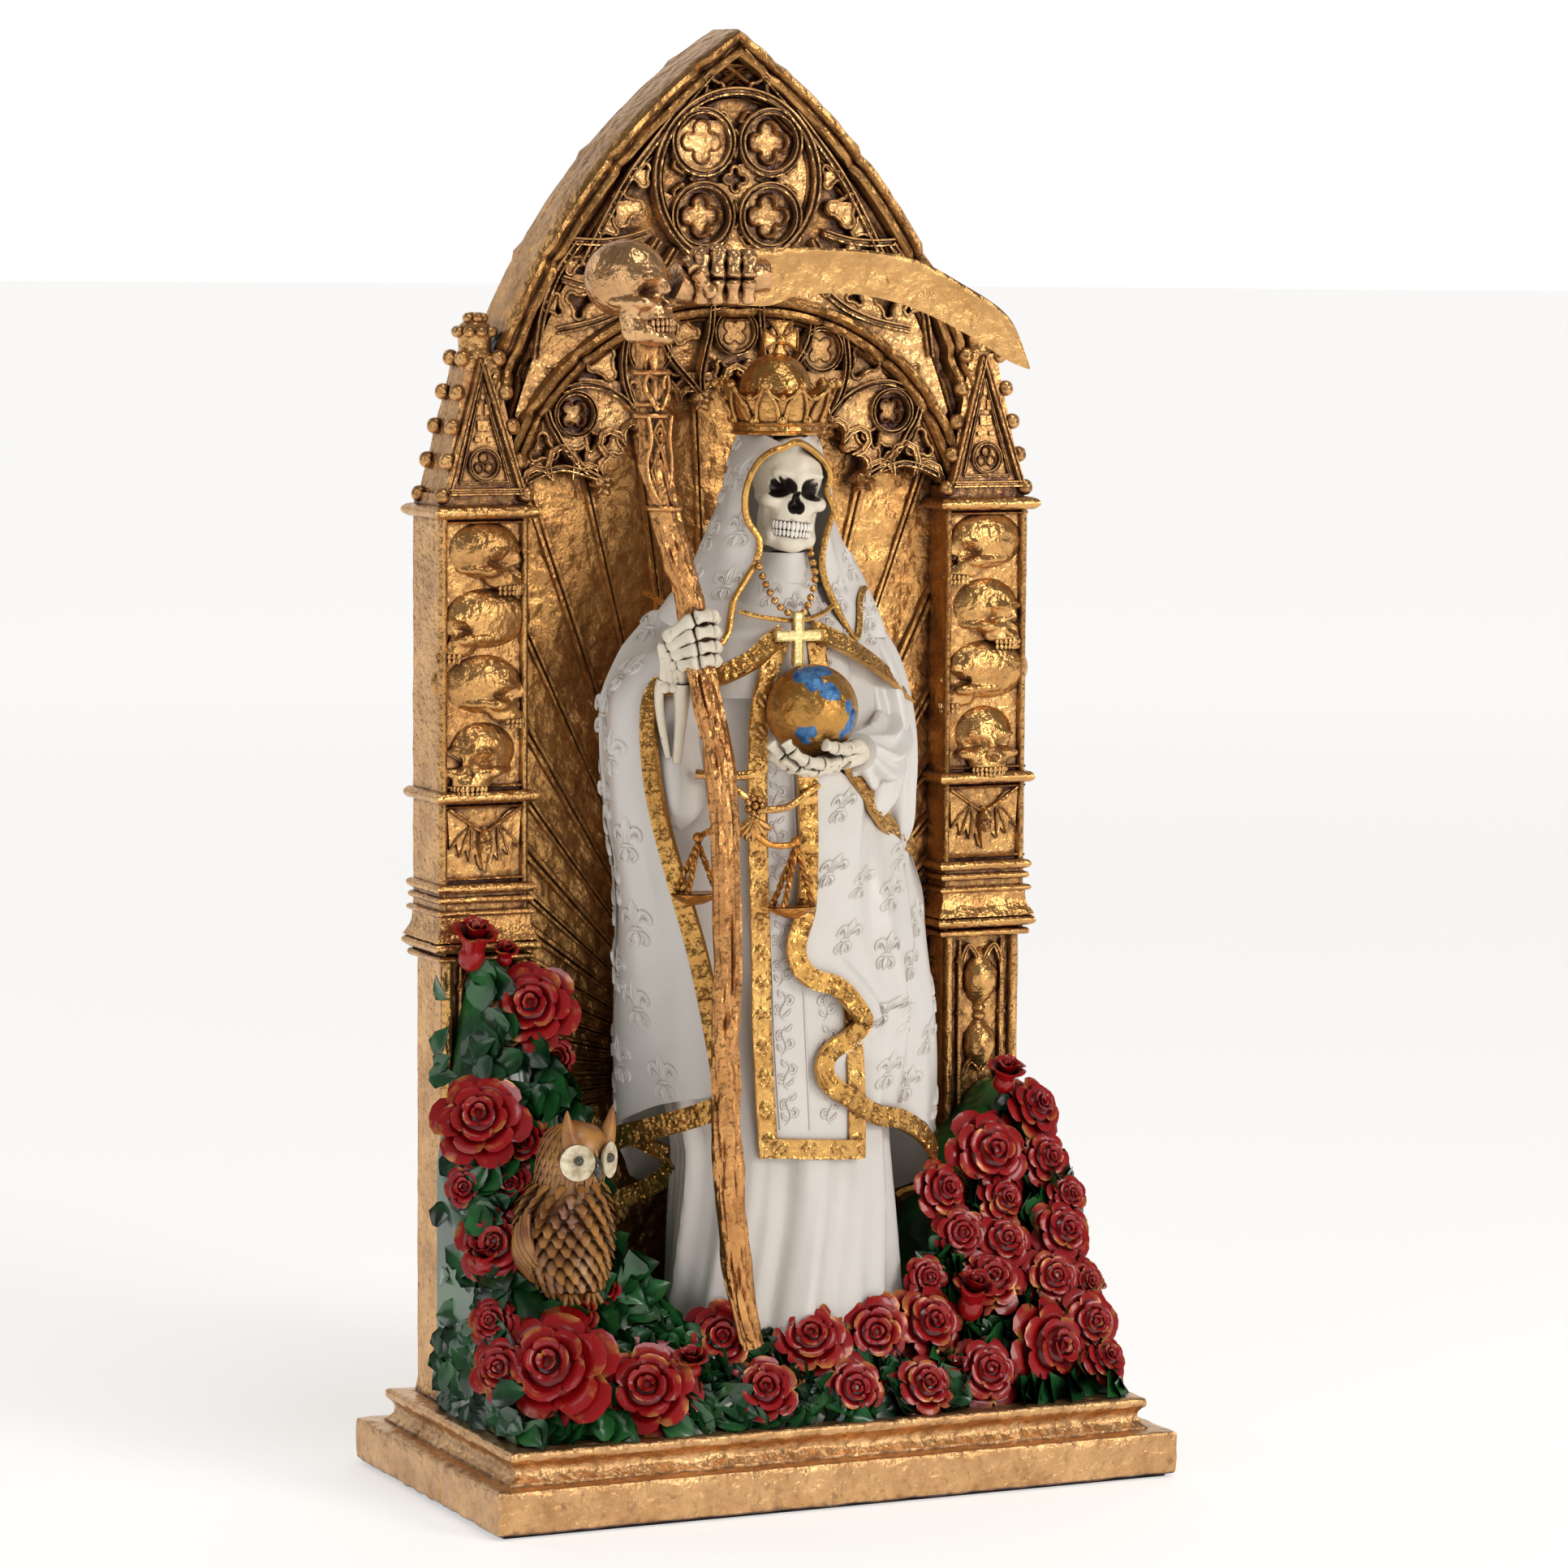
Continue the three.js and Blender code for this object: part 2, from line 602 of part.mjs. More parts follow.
// Crown: a flared band cut in ten points round a ball, with a cross on top
function crown() {
  const points = 8;
  const band = loft(2 * points, 3, (turn, t) => {
    const k = Math.round(t * 3);
    const tip = Math.cos(points * turn) > 0;
    const radius = [crownRadius, crownRadius + 0.8, crownRadius, tip ? 20.5 : 17][k];
    const z = [0, 3.2, 4.2, tip ? 15.5 : 9.5][k];
    return new THREE.Vector3(crownX + radius * Math.sin(turn), crownY - radius * Math.cos(turn), crownZ + z);
  });
  const hollow = ovals(8, [
    { z: crownZ + 9, x: crownX, y: crownY, a: 11.5, b: 11.5 },
    { z: crownZ + 17, x: crownX, y: crownY, a: 19, b: 19 },
  ]);
  const orb = ball(crownX - 0.5, crownY, crownZ + 18.3, 10.8, 10.8, 10.8, 8, 5);
  const crossX = crownX + 0.8;
  const crossZ = crownZ + 33.4;
  const cross = slab(outline([
    [-2.6, -5.4], [2.6, -5.4], [1, -1], [5.4, -2.6], [5.4, 2.6], [1, 1],
    [2.6, 5.4], [-2.6, 5.4], [-1, 1], [-5.4, 2.6], [-5.4, -2.6], [-1, -1],
  ].map(([x, z]) => [crossX + x, crossZ + z])), crownY - 1.2, crownY + 1.2, 1);
  return join([carve(band, [hollow]), orb, cross]);
}

function sleeves() {
  const raised = rod([[-38, -8, 292], [-46, -18, 262], [-43, -22, 226]], 7, 3,
    (t) => [11, 12, 13, 9][Math.round(3 * t)]);
  const low = rod([[40, -4, 288], [46, -12, 262], [38, -20, 250], [24, -30, 252]], 7, 4,
    (t) => [13, 14.5, 15, 13, 10][Math.round(4 * t)]);
  const drape = ovals(7, [
    { z: 222, x: 46, y: -10, a: 6, b: 8 }, { z: 240, x: 42, y: -14, a: 14, b: 12 },
    { z: 262, x: 40, y: -14, a: 15, b: 13 },
  ]);
  return join([raised, low, drape]);
}

function hands() {
  const forearm = [[-44, -24, 262], [-47, -33, 300]];
  const parts = [
    bone(forearm[0], forearm[1], 2.4), bone([-40, -22, 264], [-44, -32, 298], 2.0),
    ball(-46.5, -34, 304, 6, 4.5, 7, 5, 3),
  ];
  for (let k = 0; k < 4; k++) {
    const z = 311 - 4.4 * k;
    parts.push(rod([[-49, -34, z - 1], [-54, -39, z], [-52, -45.5, z - 0.5], [-46, -48, z - 1]], 3, 3, () => 2.4));
  }
  for (let k = 0; k < 4; k++) {
    const x = -13 + 6.6 * k;
    parts.push(rod([[x + 4, -30, 262], [x + 1, -40, 260 + Math.abs(k - 1.5)], [x - 1, -53, 266]], 3, 2, () => 2.6));
  }
  parts.push(ball(6, -32, 259, 11, 6, 4, 6, 4));
  return join(parts);
}

function scapularAndScales() {
  const strip = ovals(8, [
    [120, 21, 7, 0.3, -33], [124, 21.5, 7, 0.3, -33], [150, 20.5, 7, -0.5, -29], [200, 17.5, 7, -2, -25],
    [245, 15, 7, -4, -23], [290, 14, 7, -6, -21],
  ].map(([z, a, b, x, y]) => ({ z, x, y, a, b })), (turn) => 3.5 * Math.abs(Math.sin(2 * turn)));
  const pan = (x, y, z) => ovals(5, [
    { z: z - 3, x, y, a: 3, b: 3 }, { z, x, y, a: 8.6, b: 7 }, { z: z + 1.4, x, y, a: 8.6, b: 7 },
  ]);
  const parts = [strip, pan(-10.4, -36, 209), pan(-40.5, -30, 215)];
  const beam = [[-41, -31, 240], [-24, -36, 236], [-8, -38, 232]];
  parts.push(rod(beam, 4, 2, () => 1.5));
  for (const [x, y, z, top] of [[-10.4, -36, 209, beam[2]], [-40.5, -30, 215, beam[0]]]) {
    parts.push(bone([x - 6, y, z], top, 1.2), bone([x + 6, y, z], top, 1.2));
  }
  return join(parts);
}

function figure(cutters) {
  const globe = ball(-2.5, -42, 280.3, globeRadius, globeRadius, globeRadius, 10, 7);
  const whole = join([robe(), mantle(), head(), crown(), sleeves(), hands(), globe, scapularAndScales()]);
  return carve(whole, cutters);
}

// Scythe: gnarled snath, a skull over its top, a bony grip and the curved blade
const snathLine = [
  [-25.5, -47, 52], [-30, -48, 72], [-35.5, -49, 102], [-38.5, -50, 140], [-38.3, -50, 190], [-38.8, -49, 232],
  [-40.5, -46, 262], [-44.5, -43, 289], [-48.5, -39, 320], [-54.5, -37.5, 342], [-59.9, -35, 365],
  [-60.5, -32.5, 386], [-61.5, -32, 410],
];

function snath(grow = 0) {
  return rod(snathLine, 6, 18, (t, turn) => snathRadius + grow
    + 0.6 * Math.sin(3 * turn + 9 * t) + 0.4 * Math.sin(23 * t) - 0.8 * (t < 0.05 ? 1 : 0));
}

function blade() {
  const upper = [[-24, 441.0], [-18.5, 441.9], [10.7, 442.0], [39.3, 438.9], [60.9, 429.5], [79.8, 417.6]];
  const lower = [[87.5, 400.0], [79.9, 402.6], [61.0, 412.8], [39.4, 421.7], [18.1, 426.0], [-3.1, 425.5],
    [-17.1, 421.8], [-24, 423]];
  const edge = new THREE.SplineCurve([...upper, [89.5, 405.5]].map(([x, z]) => new THREE.Vector2(x, z)));
  const belly = new THREE.SplineCurve(lower.map(([x, z]) => new THREE.Vector2(x, z)));
  const shape = new THREE.Shape([...edge.getPoints(8), ...belly.getPoints(8)].reverse());
  return slab(shape, -30 - bladeThickness / 2, -30 + bladeThickness / 2, 1);
}

function scythe() {
  const arm = rod([[-60, -31, 427], [-46, -30, 428], [-20, -30, 431]], 6, 3, () => 6.2);
  const grip = [-40, -34.5, -29, -23.5].map((x) => rod(
    [[x, -26, 437], [x - 0.5, -34, 437.5], [x, -37, 430.5], [x + 1, -33, 423]], 3, 3, () => 3.0,
  ));
  const head = skull(-65, -32, 424, 34, 62);
  return join([snath(), arm, ...grip, head, blade()]);
}

// Owl: a plump body with rows of feathers, a round head with two tufts, facing right and forward
function owl(grow = 0) {
  const level = (share, a, b, x, y) => ({
    z: owlZ + share * owlHeight, x: owlX + x, y: owlY + y, a: a + grow, b: b + grow,
  });
  const body = ovals(9, [
    level(-0.02, 6, 6, 2, 0), level(0.14, 12.5, 10.5, 1, 0), level(0.36, 15.5, 13, -1, 0),
    level(0.6, 12, 11, 0, 0), level(0.66, 13, 11.5, 2, -1),
    level(0.78, 13.5, 12, 3, -2), level(0.9, 10, 9, 3, -2), level(0.96, 4, 4, 3, -1),
  ]);
  const tufts = bothSides((side) => ovals(4, [
    level(0.84, 4.2, 3, 2 + side * 8.5, -2), level(1.0, 0.6, 0.6, 2 + side * 11.5, -1.5),
  ]));
  const beak = ovals(4, [level(0.66, 0.5, 0.5, 9, -14), level(0.76, 2, 2.6, 7, -13)]);
  const wing = ball(
    owlX - 11, owlY - 2, owlZ + 0.32 * owlHeight, 6.5 + grow, 10 + grow, 17 + grow, 7, 4,
  );
  const feet = [-3, 6].map((x) => ball(owlX + x, owlY - 9, owlZ, 4 + grow, 5 + grow, 3 + grow, 5, 3));
  return join([body, ...tufts, beak, wing, ...feet]);
}

// Rose bank: a leafy mound along the step that climbs both pillars
const bankStations = [-121, -112, -104, -96, -86, -74, -64, -52, -20, 20, 48, 60, 74, 88, 102, 112, 119];
const bankCrest = [92, 150, 186, 188, 168, 132, 88, 62, 54, 54, 60, 82, 106, 122, 134, 124, 80];

function mound() {
  const front = (z, x) => {
    if (z <= 60) return -56 + 0.72 * (z - stepTop);
    return x < 0 ? -33 + 0.38 * (z - 60) : -33 + 0.5 * (z - 60);
  };
  return loft(8, bankStations.length - 1, (turn, t) => {
    const x = along(bankStations, t);
    const crest = along(bankCrest, t);
    const low = stepTop + glueGap;
    const share = [0, 0, 0.5, 1, 1, 0.72, 0.4, 0.16];
    const k = Math.round(((turn + 2 * Math.PI) / (2 * Math.PI)) * 8) % 8;
    const z = low + (crest - low) * share[k];
    const back = Math.abs(x) > 70 ? panelFront : 20;
    const bump = 1.6 * Math.sin(x * 0.9 + 2.4 * k);
    const y = k > 0 && k < 4 ? back : front(z, x) + (k === 4 ? 5 : bump + 1);
    return new THREE.Vector3(x, y, z);
  });
}

// Roses as x, y, z and radius; those under seven are buds
const roses = [
  [-101, -45, 54, 17.4], [-70, -51, 42, 15.7], [-39, -45, 55, 10.4], [-25, -53, 38, 12.8], [8, -53, 38, 11],
  [21, -45, 54, 10.4], [43, -45, 54, 12.2], [64, -52, 41, 10.4], [91, -50, 44, 13], [74, -35, 68, 9.9],
  [100, -35, 69, 10.4], [86, -12, 112, 13.3], [106, -4, 126, 9.9], [104, -22, 92, 9.3], [-105, 17, 190, 5.8],
  [-89, 11, 168, 13.3], [-108, -3, 136, 14.5], [-95, -9, 118, 10.4],
];

function rose(x, y, z, radius) {
  const bud = radius < 7;
  const profile = bud
    ? [[0.6, -1.1], [1.0, -0.3], [0.5, 0.9]]
    : [[0.5, -0.7], [1.0, 0.06], [0.6, 0.0], [0.46, 0.42]];
  const sides = bud ? 5 : 2 * petalCount;
  const form = loft(sides, profile.length - 1, (turn, t) => {
    const k = Math.round(t * (profile.length - 1));
    const scallop = bud || k !== 1 ? 1 : 1 + 0.1 * Math.cos(petalCount * turn);
    const r = profile[k][0] * radius * scallop;
    return new THREE.Vector3(r * Math.sin(turn), -r * Math.cos(turn), profile[k][1] * radius);
  });
  return placed(form, x, y, z, x * 0.22, bud ? 25 : 62);
}

function roseBank(cutters) {
  const whole = join([mound(), ...roses.map(([x, y, z, r]) => rose(x, y, z, r))]);
  const ground = box(-slabWidth, slabWidth, -slabDepth, slabDepth, -slabTop, stepTop + glueGap);
  return carve(whole, [ground, ...cutters]);
}

// Plain blocks a clearance larger than the pillars and the panel, to seat the roses against them
function shrineClearance() {
  const shaft = box(pillarX - pillarHalf - 0.6, pillarX + pillarHalf + 3, pillarFront - 0.4, wallBack + 20, 0, 187.2);
  const ring = box(pillarX - pillarHalf - 5, pillarX + pillarHalf + 5, pillarFront - 3.2, wallBack + 20, 187.1, 260);
  const panel = box(-pillarX, pillarX, panelFront - 2.2, wallBack + 20, 0, 260);
  return join([shaft, ring, panel, mirrored(shaft), mirrored(ring)]);
}

const figureSolid = figure([snath(glueGap)]);
const owlSolid = owl();
const scytheSolid = scythe();
const roseSolid = roseBank([
  shrineClearance(), robe(glueGap + 0.2), mantle(glueGap + 0.4), snath(glueGap), owl(glueGap),
]);

const santaMuerte = new THREE.Group();
santaMuerte.add(
  mesh('felt_pad', feltPad(), '#15130f', 0.0, 0.95),
  mesh('plinth', plinth(), '#c39143', 0.85, 0.38),
  mesh('shrine', shrine(), '#c8963c', 0.9, 0.32),
  mesh('figure', figureSolid, '#ece8e2', 0.05, 0.4),
  mesh('scythe', scytheSolid.subtract(figureSolid), '#bb8440', 0.85, 0.38),
  mesh('owl', owlSolid, '#9c6330', 0.0, 0.6),
  mesh('rose_bank', roseSolid, '#a91414', 0.0, 0.35),
);

export default santaMuerte;
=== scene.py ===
# Santa Muerte shrine figure: cast and painted resin, dressed over the frame packed from the CAD model.
# Lengths are millimetres, X to the right, Y to the back, Z up, and turn into metres with each mesh.
import random
from math import acos, atan2, copysign, cos, dist, exp, hypot, pi, radians, sin, tau

import bmesh
import bpy
from mathutils import Euler, Matrix, Vector, noise


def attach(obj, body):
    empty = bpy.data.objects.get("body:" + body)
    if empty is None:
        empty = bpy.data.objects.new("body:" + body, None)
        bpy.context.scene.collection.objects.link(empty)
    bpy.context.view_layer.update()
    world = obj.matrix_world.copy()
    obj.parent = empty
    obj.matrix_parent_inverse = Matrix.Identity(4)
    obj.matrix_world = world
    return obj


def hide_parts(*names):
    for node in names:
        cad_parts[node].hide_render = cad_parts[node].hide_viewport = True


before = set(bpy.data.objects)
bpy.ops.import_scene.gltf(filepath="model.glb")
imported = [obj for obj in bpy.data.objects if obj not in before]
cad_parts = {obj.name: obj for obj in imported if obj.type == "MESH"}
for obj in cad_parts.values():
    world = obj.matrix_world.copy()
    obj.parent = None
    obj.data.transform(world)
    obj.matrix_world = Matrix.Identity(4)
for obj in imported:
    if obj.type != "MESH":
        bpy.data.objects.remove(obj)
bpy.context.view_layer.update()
millimetre = 0.001

# Camera and studio: a long lens to the left of the figure and a little above its waist,
# fitted to the corners of the base and the pillars; a pale floor under large soft lights.
lens_length = 133.95
camera_place = Vector((-865.3, -1896.2, 458.5)) * millimetre
camera_yaw, camera_pitch, camera_roll = (radians(angle) for angle in (24.679, 5.707, 0.375))

camera = bpy.data.objects.new("camera", bpy.data.cameras.new("camera"))
bpy.context.collection.objects.link(camera)
camera.data.lens = lens_length
camera.data.clip_end = 100
aim = Euler((pi / 2 - camera_pitch, 0, -camera_yaw)).to_matrix() @ Matrix.Rotation(camera_roll, 3, "Z")
camera.matrix_world = Matrix.Translation(camera_place) @ aim.to_4x4()
bpy.context.scene.camera = camera


def paint(value):
    """A colour written as sRGB hex, turned to the linear values that a shader takes."""
    parts = [int(value[i:i + 2], 16) / 255 for i in (1, 3, 5)]
    return (*(c / 12.92 if c <= 0.04045 else ((c + 0.055) / 1.055) ** 2.4 for c in parts), 1)


def soft_light(name, place, size, power, colour="#FFFFFF"):
    """A square softbox that faces the middle of the figure."""
    light = bpy.data.objects.new(name, bpy.data.lights.new(name, "AREA"))
    light.data.size = size
    light.data.energy = power
    light.data.color = paint(colour)[:3]
    light.location = place
    light.rotation_euler = (Vector((0, 0, 0.25)) - Vector(place)).to_track_quat("-Z", "Y").to_euler()
    bpy.context.collection.objects.link(light)


soft_light("key", (1.1, -2, 1.1), 0.8, 17, "#FFF8F0")
soft_light("fill", (-1.9, -1.1, 0.9), 0.9, 4.5)
soft_light("top", (0.1, -0.7, 2.1), 0.7, 8)
soft_light("low", (0.5, -2.3, 0.3), 0.7, 3)
soft_light("back", (-1.6, 1.8, 1.4), 1, 5)


def feed(target, links):
    """Gives a node's sockets a value, another node's output, or a node's first output in use."""
    for key, value in links.items():
        if isinstance(value, bpy.types.Node):
            value = next(socket for socket in value.outputs if socket.enabled)
        if isinstance(value, bpy.types.NodeSocket):
            target.id_data.links.new(value, target.inputs[key])
        else:
            target.inputs[key].default_value = value


def node(material, kind, links=None, **settings):
    """Adds one shader node with its settings and links."""
    made = material.node_tree.nodes.new("ShaderNode" + kind)
    for key, value in settings.items():
        setattr(made, key, value)
    feed(made, links or {})
    return made


world = bpy.data.worlds.new("studio")
world.use_nodes = True
heading = node(
    world, "VectorMath", {0: node(world, "TexCoord"), 1: (0.42, 0.9, 0)}, operation="DOT_PRODUCT")
glow = node(world, "MapRange", {
    "Value": heading, "From Min": 0.5, "From Max": 0.95, "To Min": 0.16, "To Max": 1.05})
feed(world.node_tree.nodes["Background"], {"Color": paint("#FFFFFF"), "Strength": glow})
bpy.context.scene.world = world
bpy.context.scene.view_settings.view_transform = "Standard"


def finish_named(name, **settings):
    """A new material, its main shader, whose uniform sockets are set by name, and the object's space."""
    material = bpy.data.materials.new(name)
    material.use_nodes = True
    shader = material.node_tree.nodes["Principled BSDF"]
    for key, value in settings.items():
        shader.inputs[key.replace("_", " ")].default_value = value
    return material, shader, node(material, "TexCoord").outputs["Object"]


floor_material, floor_shader, floor_space = finish_named("pale_floor", Roughness=0.9)
away = node(floor_material, "VectorMath", {0: floor_space}, operation="LENGTH")
haze = node(floor_material, "MapRange", {
    "Value": away, "From Min": 0.3, "From Max": 3.5, "To Min": 0.5, "To Max": 0.7})
feed(floor_shader, {
    "Base Color": paint("#F6F4F2"), "Emission Color": paint("#FFFEFC"), "Emission Strength": haze})
floor_mesh = bmesh.new()
bmesh.ops.create_circle(floor_mesh, cap_ends=True, segments=64, radius=30)
floor = bpy.data.objects.new("floor", bpy.data.meshes.new("floor"))
floor_mesh.to_mesh(floor.data)
floor.data.materials.append(floor_material)
bpy.context.collection.objects.link(floor)

# Felt pad: a sheet of black felt, 1 mm thick, glued under the base so that it doesn't scratch a
# shelf. Cut 3 mm inside the base on every side, it shows only as a thin dark line.
felt_inset = 3
base_wide, base_deep, base_top = 263.8, 139.4, 16.7


def grid(columns, rows, place):
    """A net of quads whose corners sit where place(u, v) says, with u and v from 0 to 1."""
    form = bmesh.new()
    bmesh.ops.create_grid(form, x_segments=columns, y_segments=rows, size=0.5)
    for corner in form.verts:
        corner.co = place(corner.co.x + 0.5, corner.co.y + 0.5)
    return form


def closed(form, reach=0.005):
    """Joins the edges of a form that meet, fills its open ends and points its faces outwards."""
    bmesh.ops.remove_doubles(form, verts=form.verts, dist=reach)
    bmesh.ops.holes_fill(form, edges=[edge for edge in form.edges if edge.is_boundary], sides=0)
    bmesh.ops.recalc_face_normals(form, faces=form.faces)
    return form


def block(left, right, front, back, profile, across=24):
    """A rectangular moulding: profile is (inset, height) from its foot to its top."""
    def place(u, v):
        inset, height = profile[round(v * (len(profile) - 1))]
        side, share = divmod(u * 4 % 4, 1)
        x0, x1, y0, y1 = left + inset, right - inset, front + inset, back - inset
        start = ((x0, y0), (x1, y0), (x1, y1), (x0, y1))[int(side)]
        end = ((x1, y0), (x1, y1), (x0, y1), (x0, y0))[int(side)]
        return Vector((
            start[0] + (end[0] - start[0]) * share, start[1] + (end[1] - start[1]) * share, height))
    return closed(grid(4 * across, len(profile) - 1, place))


def hammered(form, depth=0.22, size=4.5):
    """Beaten dents: every point moves along its normal by a soft noise of that size."""
    form.normal_update()
    for corner in form.verts:
        corner.co += corner.normal * depth * noise.noise(corner.co / size)
    return form


def casting(name, forms, material, *nodes, sharp=38):
    """One finished piece: its forms joined, turned to metres and shown in place of CAD nodes."""
    whole = bmesh.new()
    for form in forms:
        part = bpy.data.meshes.new("part")
        form.to_mesh(part)
        whole.from_mesh(part)
        form.free()
        bpy.data.meshes.remove(part)
    bmesh.ops.scale(whole, vec=(millimetre, millimetre, millimetre), verts=whole.verts)
    mesh = bpy.data.meshes.new(name)
    whole.to_mesh(mesh)
    whole.free()
    mesh.shade_smooth()
    mesh.set_sharp_from_angle(angle=radians(sharp))
    mesh.materials.append(material)
    piece = bpy.data.objects.new(name, mesh)
    bpy.context.collection.objects.link(piece)
    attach(piece, "root")
    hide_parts(*nodes)
    return piece


def stops(ramp, *pairs):
    """Places the stops of a colour ramp: (position, colour) from its low to its high end."""
    for stop, (position, colour) in zip(ramp.color_ramp.elements, pairs):
        stop.position, stop.color = position, paint(colour)


def pressed_felt():
    """Black wool felt, pressed: fibres a fraction of a millimetre thick, quite dull."""
    material, shader, space = finish_named("pressed_felt", Roughness=0.95)
    fibres = node(material, "TexNoise", {"Vector": space, "Scale": 1400, "Detail": 4})
    tone = node(material, "ValToRGB", {"Fac": fibres})
    stops(tone, (0, "#0B0A09"), (1, "#2A2622"))
    nap = node(material, "Bump", {"Height": fibres, "Strength": 0.6, "Distance": 0.0004})
    feed(shader, {"Base Color": tone, "Normal": nap})
    return material


pad = block(
    -base_wide / 2 + felt_inset, base_wide / 2 - felt_inset, -base_deep / 2 + felt_inset,
    base_deep / 2 - felt_inset, [(0.2, 0), (0, 0.25), (0, 0.8), (0.2, 1)], 8)
casting("felt_pad", [pad], pressed_felt(), "felt_pad")

# Plinth: one casting of two steps, the upper with hollowed sides under a lip. Its faces are beaten,
# and gold paint lies over a red-brown coat that stays in the hollows and shows on rubbed edges; painted
# shade darkens the same hollows.
step_left, step_right, step_front, step_back, step_top = -123.9, 123.9, -61.6, 60.5, 28.3


def gilt(name, light="#E2AE6A", deep="#986434", wash_and_shade="#40150A", rough=0.27, dent=4.5, reach=0.006, wash_and_shade_strength=1):
    """Gold paint: metallic flake in varnish, mottled and beaten, with a brown wash in its hollows
    that is also painted shade. The eye gets soft broken highlights, warm mid tones and dark lines
    of painted shade that draw the carving."""
    material, shader, space = finish_named(name)
    cloud = node(material, "TexNoise", {"Vector": space, "Scale": 60, "Detail": 6, "Roughness": 0.7})
    gold = node(material, "ValToRGB", {"Fac": cloud})
    stops(gold, (0.18, deep), (0.62, light))
    # Painted shade and a brown wash: ambient occlusion, made patchy by noise, mixes the dark wash colour
    # into the gold in hollows and between parts.
    hollow = node(material, "AmbientOcclusion", {"Distance": reach}, samples=8)
    patchy_wash_and_shade_noise = node(material, "TexNoise", {"Vector": space, "Scale": 320, "Detail": 3})
    patchy_wash_and_shade = node(material, "Math", {0: patchy_wash_and_shade_noise, 1: 0.3}, operation="ADD")
    amount = node(material, "Math", {0: hollow.outputs["AO"], 1: patchy_wash_and_shade}, operation="MULTIPLY")
    stain_and_shade = node(material, "MapRange", {
        "Value": amount, "From Min": 0.26, "From Max": 0.72, "To Min": wash_and_shade_strength, "To Max": 0})
    colour = node(material, "Mix", {"Factor": stain_and_shade, "A": gold, "B": paint(wash_and_shade)}, data_type="RGBA")
    metal = node(material, "MapRange", {"Value": stain_and_shade, "To Min": 0.92, "To Max": 0.35})
    gloss = node(material, "MapRange", {"Value": cloud, "To Min": rough + 0.1, "To Max": rough - 0.08})
    beaten = node(material, "TexNoise", {
        "Vector": space, "Scale": 1000 / dent, "Detail": 2, "Roughness": 0.45})
    grain = node(material, "TexNoise", {"Vector": space, "Scale": 1500, "Detail": 3})
    relief = node(material, "Math", {0: grain, 1: 0.12, 2: beaten}, operation="MULTIPLY_ADD")
    bump = node(material, "Bump", {"Height": relief, "Strength": 0.9, "Distance": dent * 0.00032})
    feed(shader, {"Base Color": colour, "Metallic": metal, "Roughness": gloss, "Normal": bump})
    return material


slab = block(
    -base_wide / 2, base_wide / 2, -base_deep / 2, base_deep / 2,
    [(0.8, 1.3), (0.1, 2), (0, 4.5), (0, 7.5), (0, 10.5), (0, 13.5), (0, 15.6), (0.35, 16.4),
     (1, base_top), (5, base_top), (9, base_top)], 90)
step = block(
    step_left, step_right, step_front, step_back,
    [(-0.6, 16.2), (-0.3, 17.6), (1.2, 18.6), (2.3, 20), (2.6, 21.6), (2.3, 23), (1.3, 24.2), (0.2, 25.1),
     (0, 26), (0, 27.4), (0.4, 28), (1.1, step_top), (6, step_top)], 90)
gilt_base = gilt("gilt_resin_beaten", light="#E0B27C", deep="#A4744A", rough=0.31, dent=5, reach=0.004)
casting("plinth", [hammered(slab, 0.5, 6), hammered(step, 0.4, 5)], gilt_base, "plinth")

# Shrine wall: a flat-backed resin casting, a pointed arch on two straight jambs. The niche panel is
# beaten, with double ridges that spread from behind the figure like rays and stop at the pillars.
wall_back, panel_front, floor_front = 53, 40, 35
arch_apex, arch_spring, arch_half = 520, 318.4, 109.3
arch_shift = ((arch_apex - arch_spring) ** 2 - arch_half ** 2) / (2 * arch_half)
arch_radius = arch_shift + arch_half
hood_rise, hood_radius, hood_shift = 337, 88, 8
wall_foot = step_top + 0.3
pillar_x, pillar_half, pillar_front = 99.4, 16.8, 25
ray_z, ray_spacing, ray_wide = 140, 5.7, 4.2


def arch_line(inset, steps):
    """The pointed arch from its left springing over the apex to the right, inset from its outline."""
    reach = arch_radius - inset
    top = acos(arch_shift / reach)
    side = [(reach * cos(top * k / steps) - arch_shift, arch_spring + reach * sin(top * k / steps))
            for k in range(steps + 1)]
    return [Vector((-x, z)) for x, z in side] + [Vector(point) for point in reversed(side[:-1])]


def hood_line(inset, steps, low=-0.02):
    """The low arch over the niche, struck from two centres that cross the middle."""
    reach = hood_radius - inset
    top = acos(-hood_shift / reach)
    side = [(hood_shift + reach * cos(low + (top - low) * k / steps),
             hood_rise + reach * sin(low + (top - low) * k / steps)) for k in range(steps + 1)]
    return [Vector((-x, z)) for x, z in side] + [Vector(point) for point in reversed(side[:-1])]


def moulding(line, section, front, loop=False, draught=None):
    """A section drawn along a line in X and Z; the section is (across, forward) round a closed edge.
    draught(t) scales the section along the line."""
    count = len(line)
    rows = count if loop else count - 1

    def place(u, v):
        row = round(v * rows) % count
        ahead = line[(row + 1) % count] if loop or row < count - 1 else line[row]
        behind = line[row - 1] if loop or row > 0 else line[row]
        along = (ahead - behind).normalized()
        across, forward = section[round(u * len(section)) % len(section)]
        size = draught(v) if draught else 1
        return Vector((
            line[row].x + along.y * across * size, front - forward * size,
            line[row].y - along.x * across * size))
    return closed(grid(len(section), rows, place))


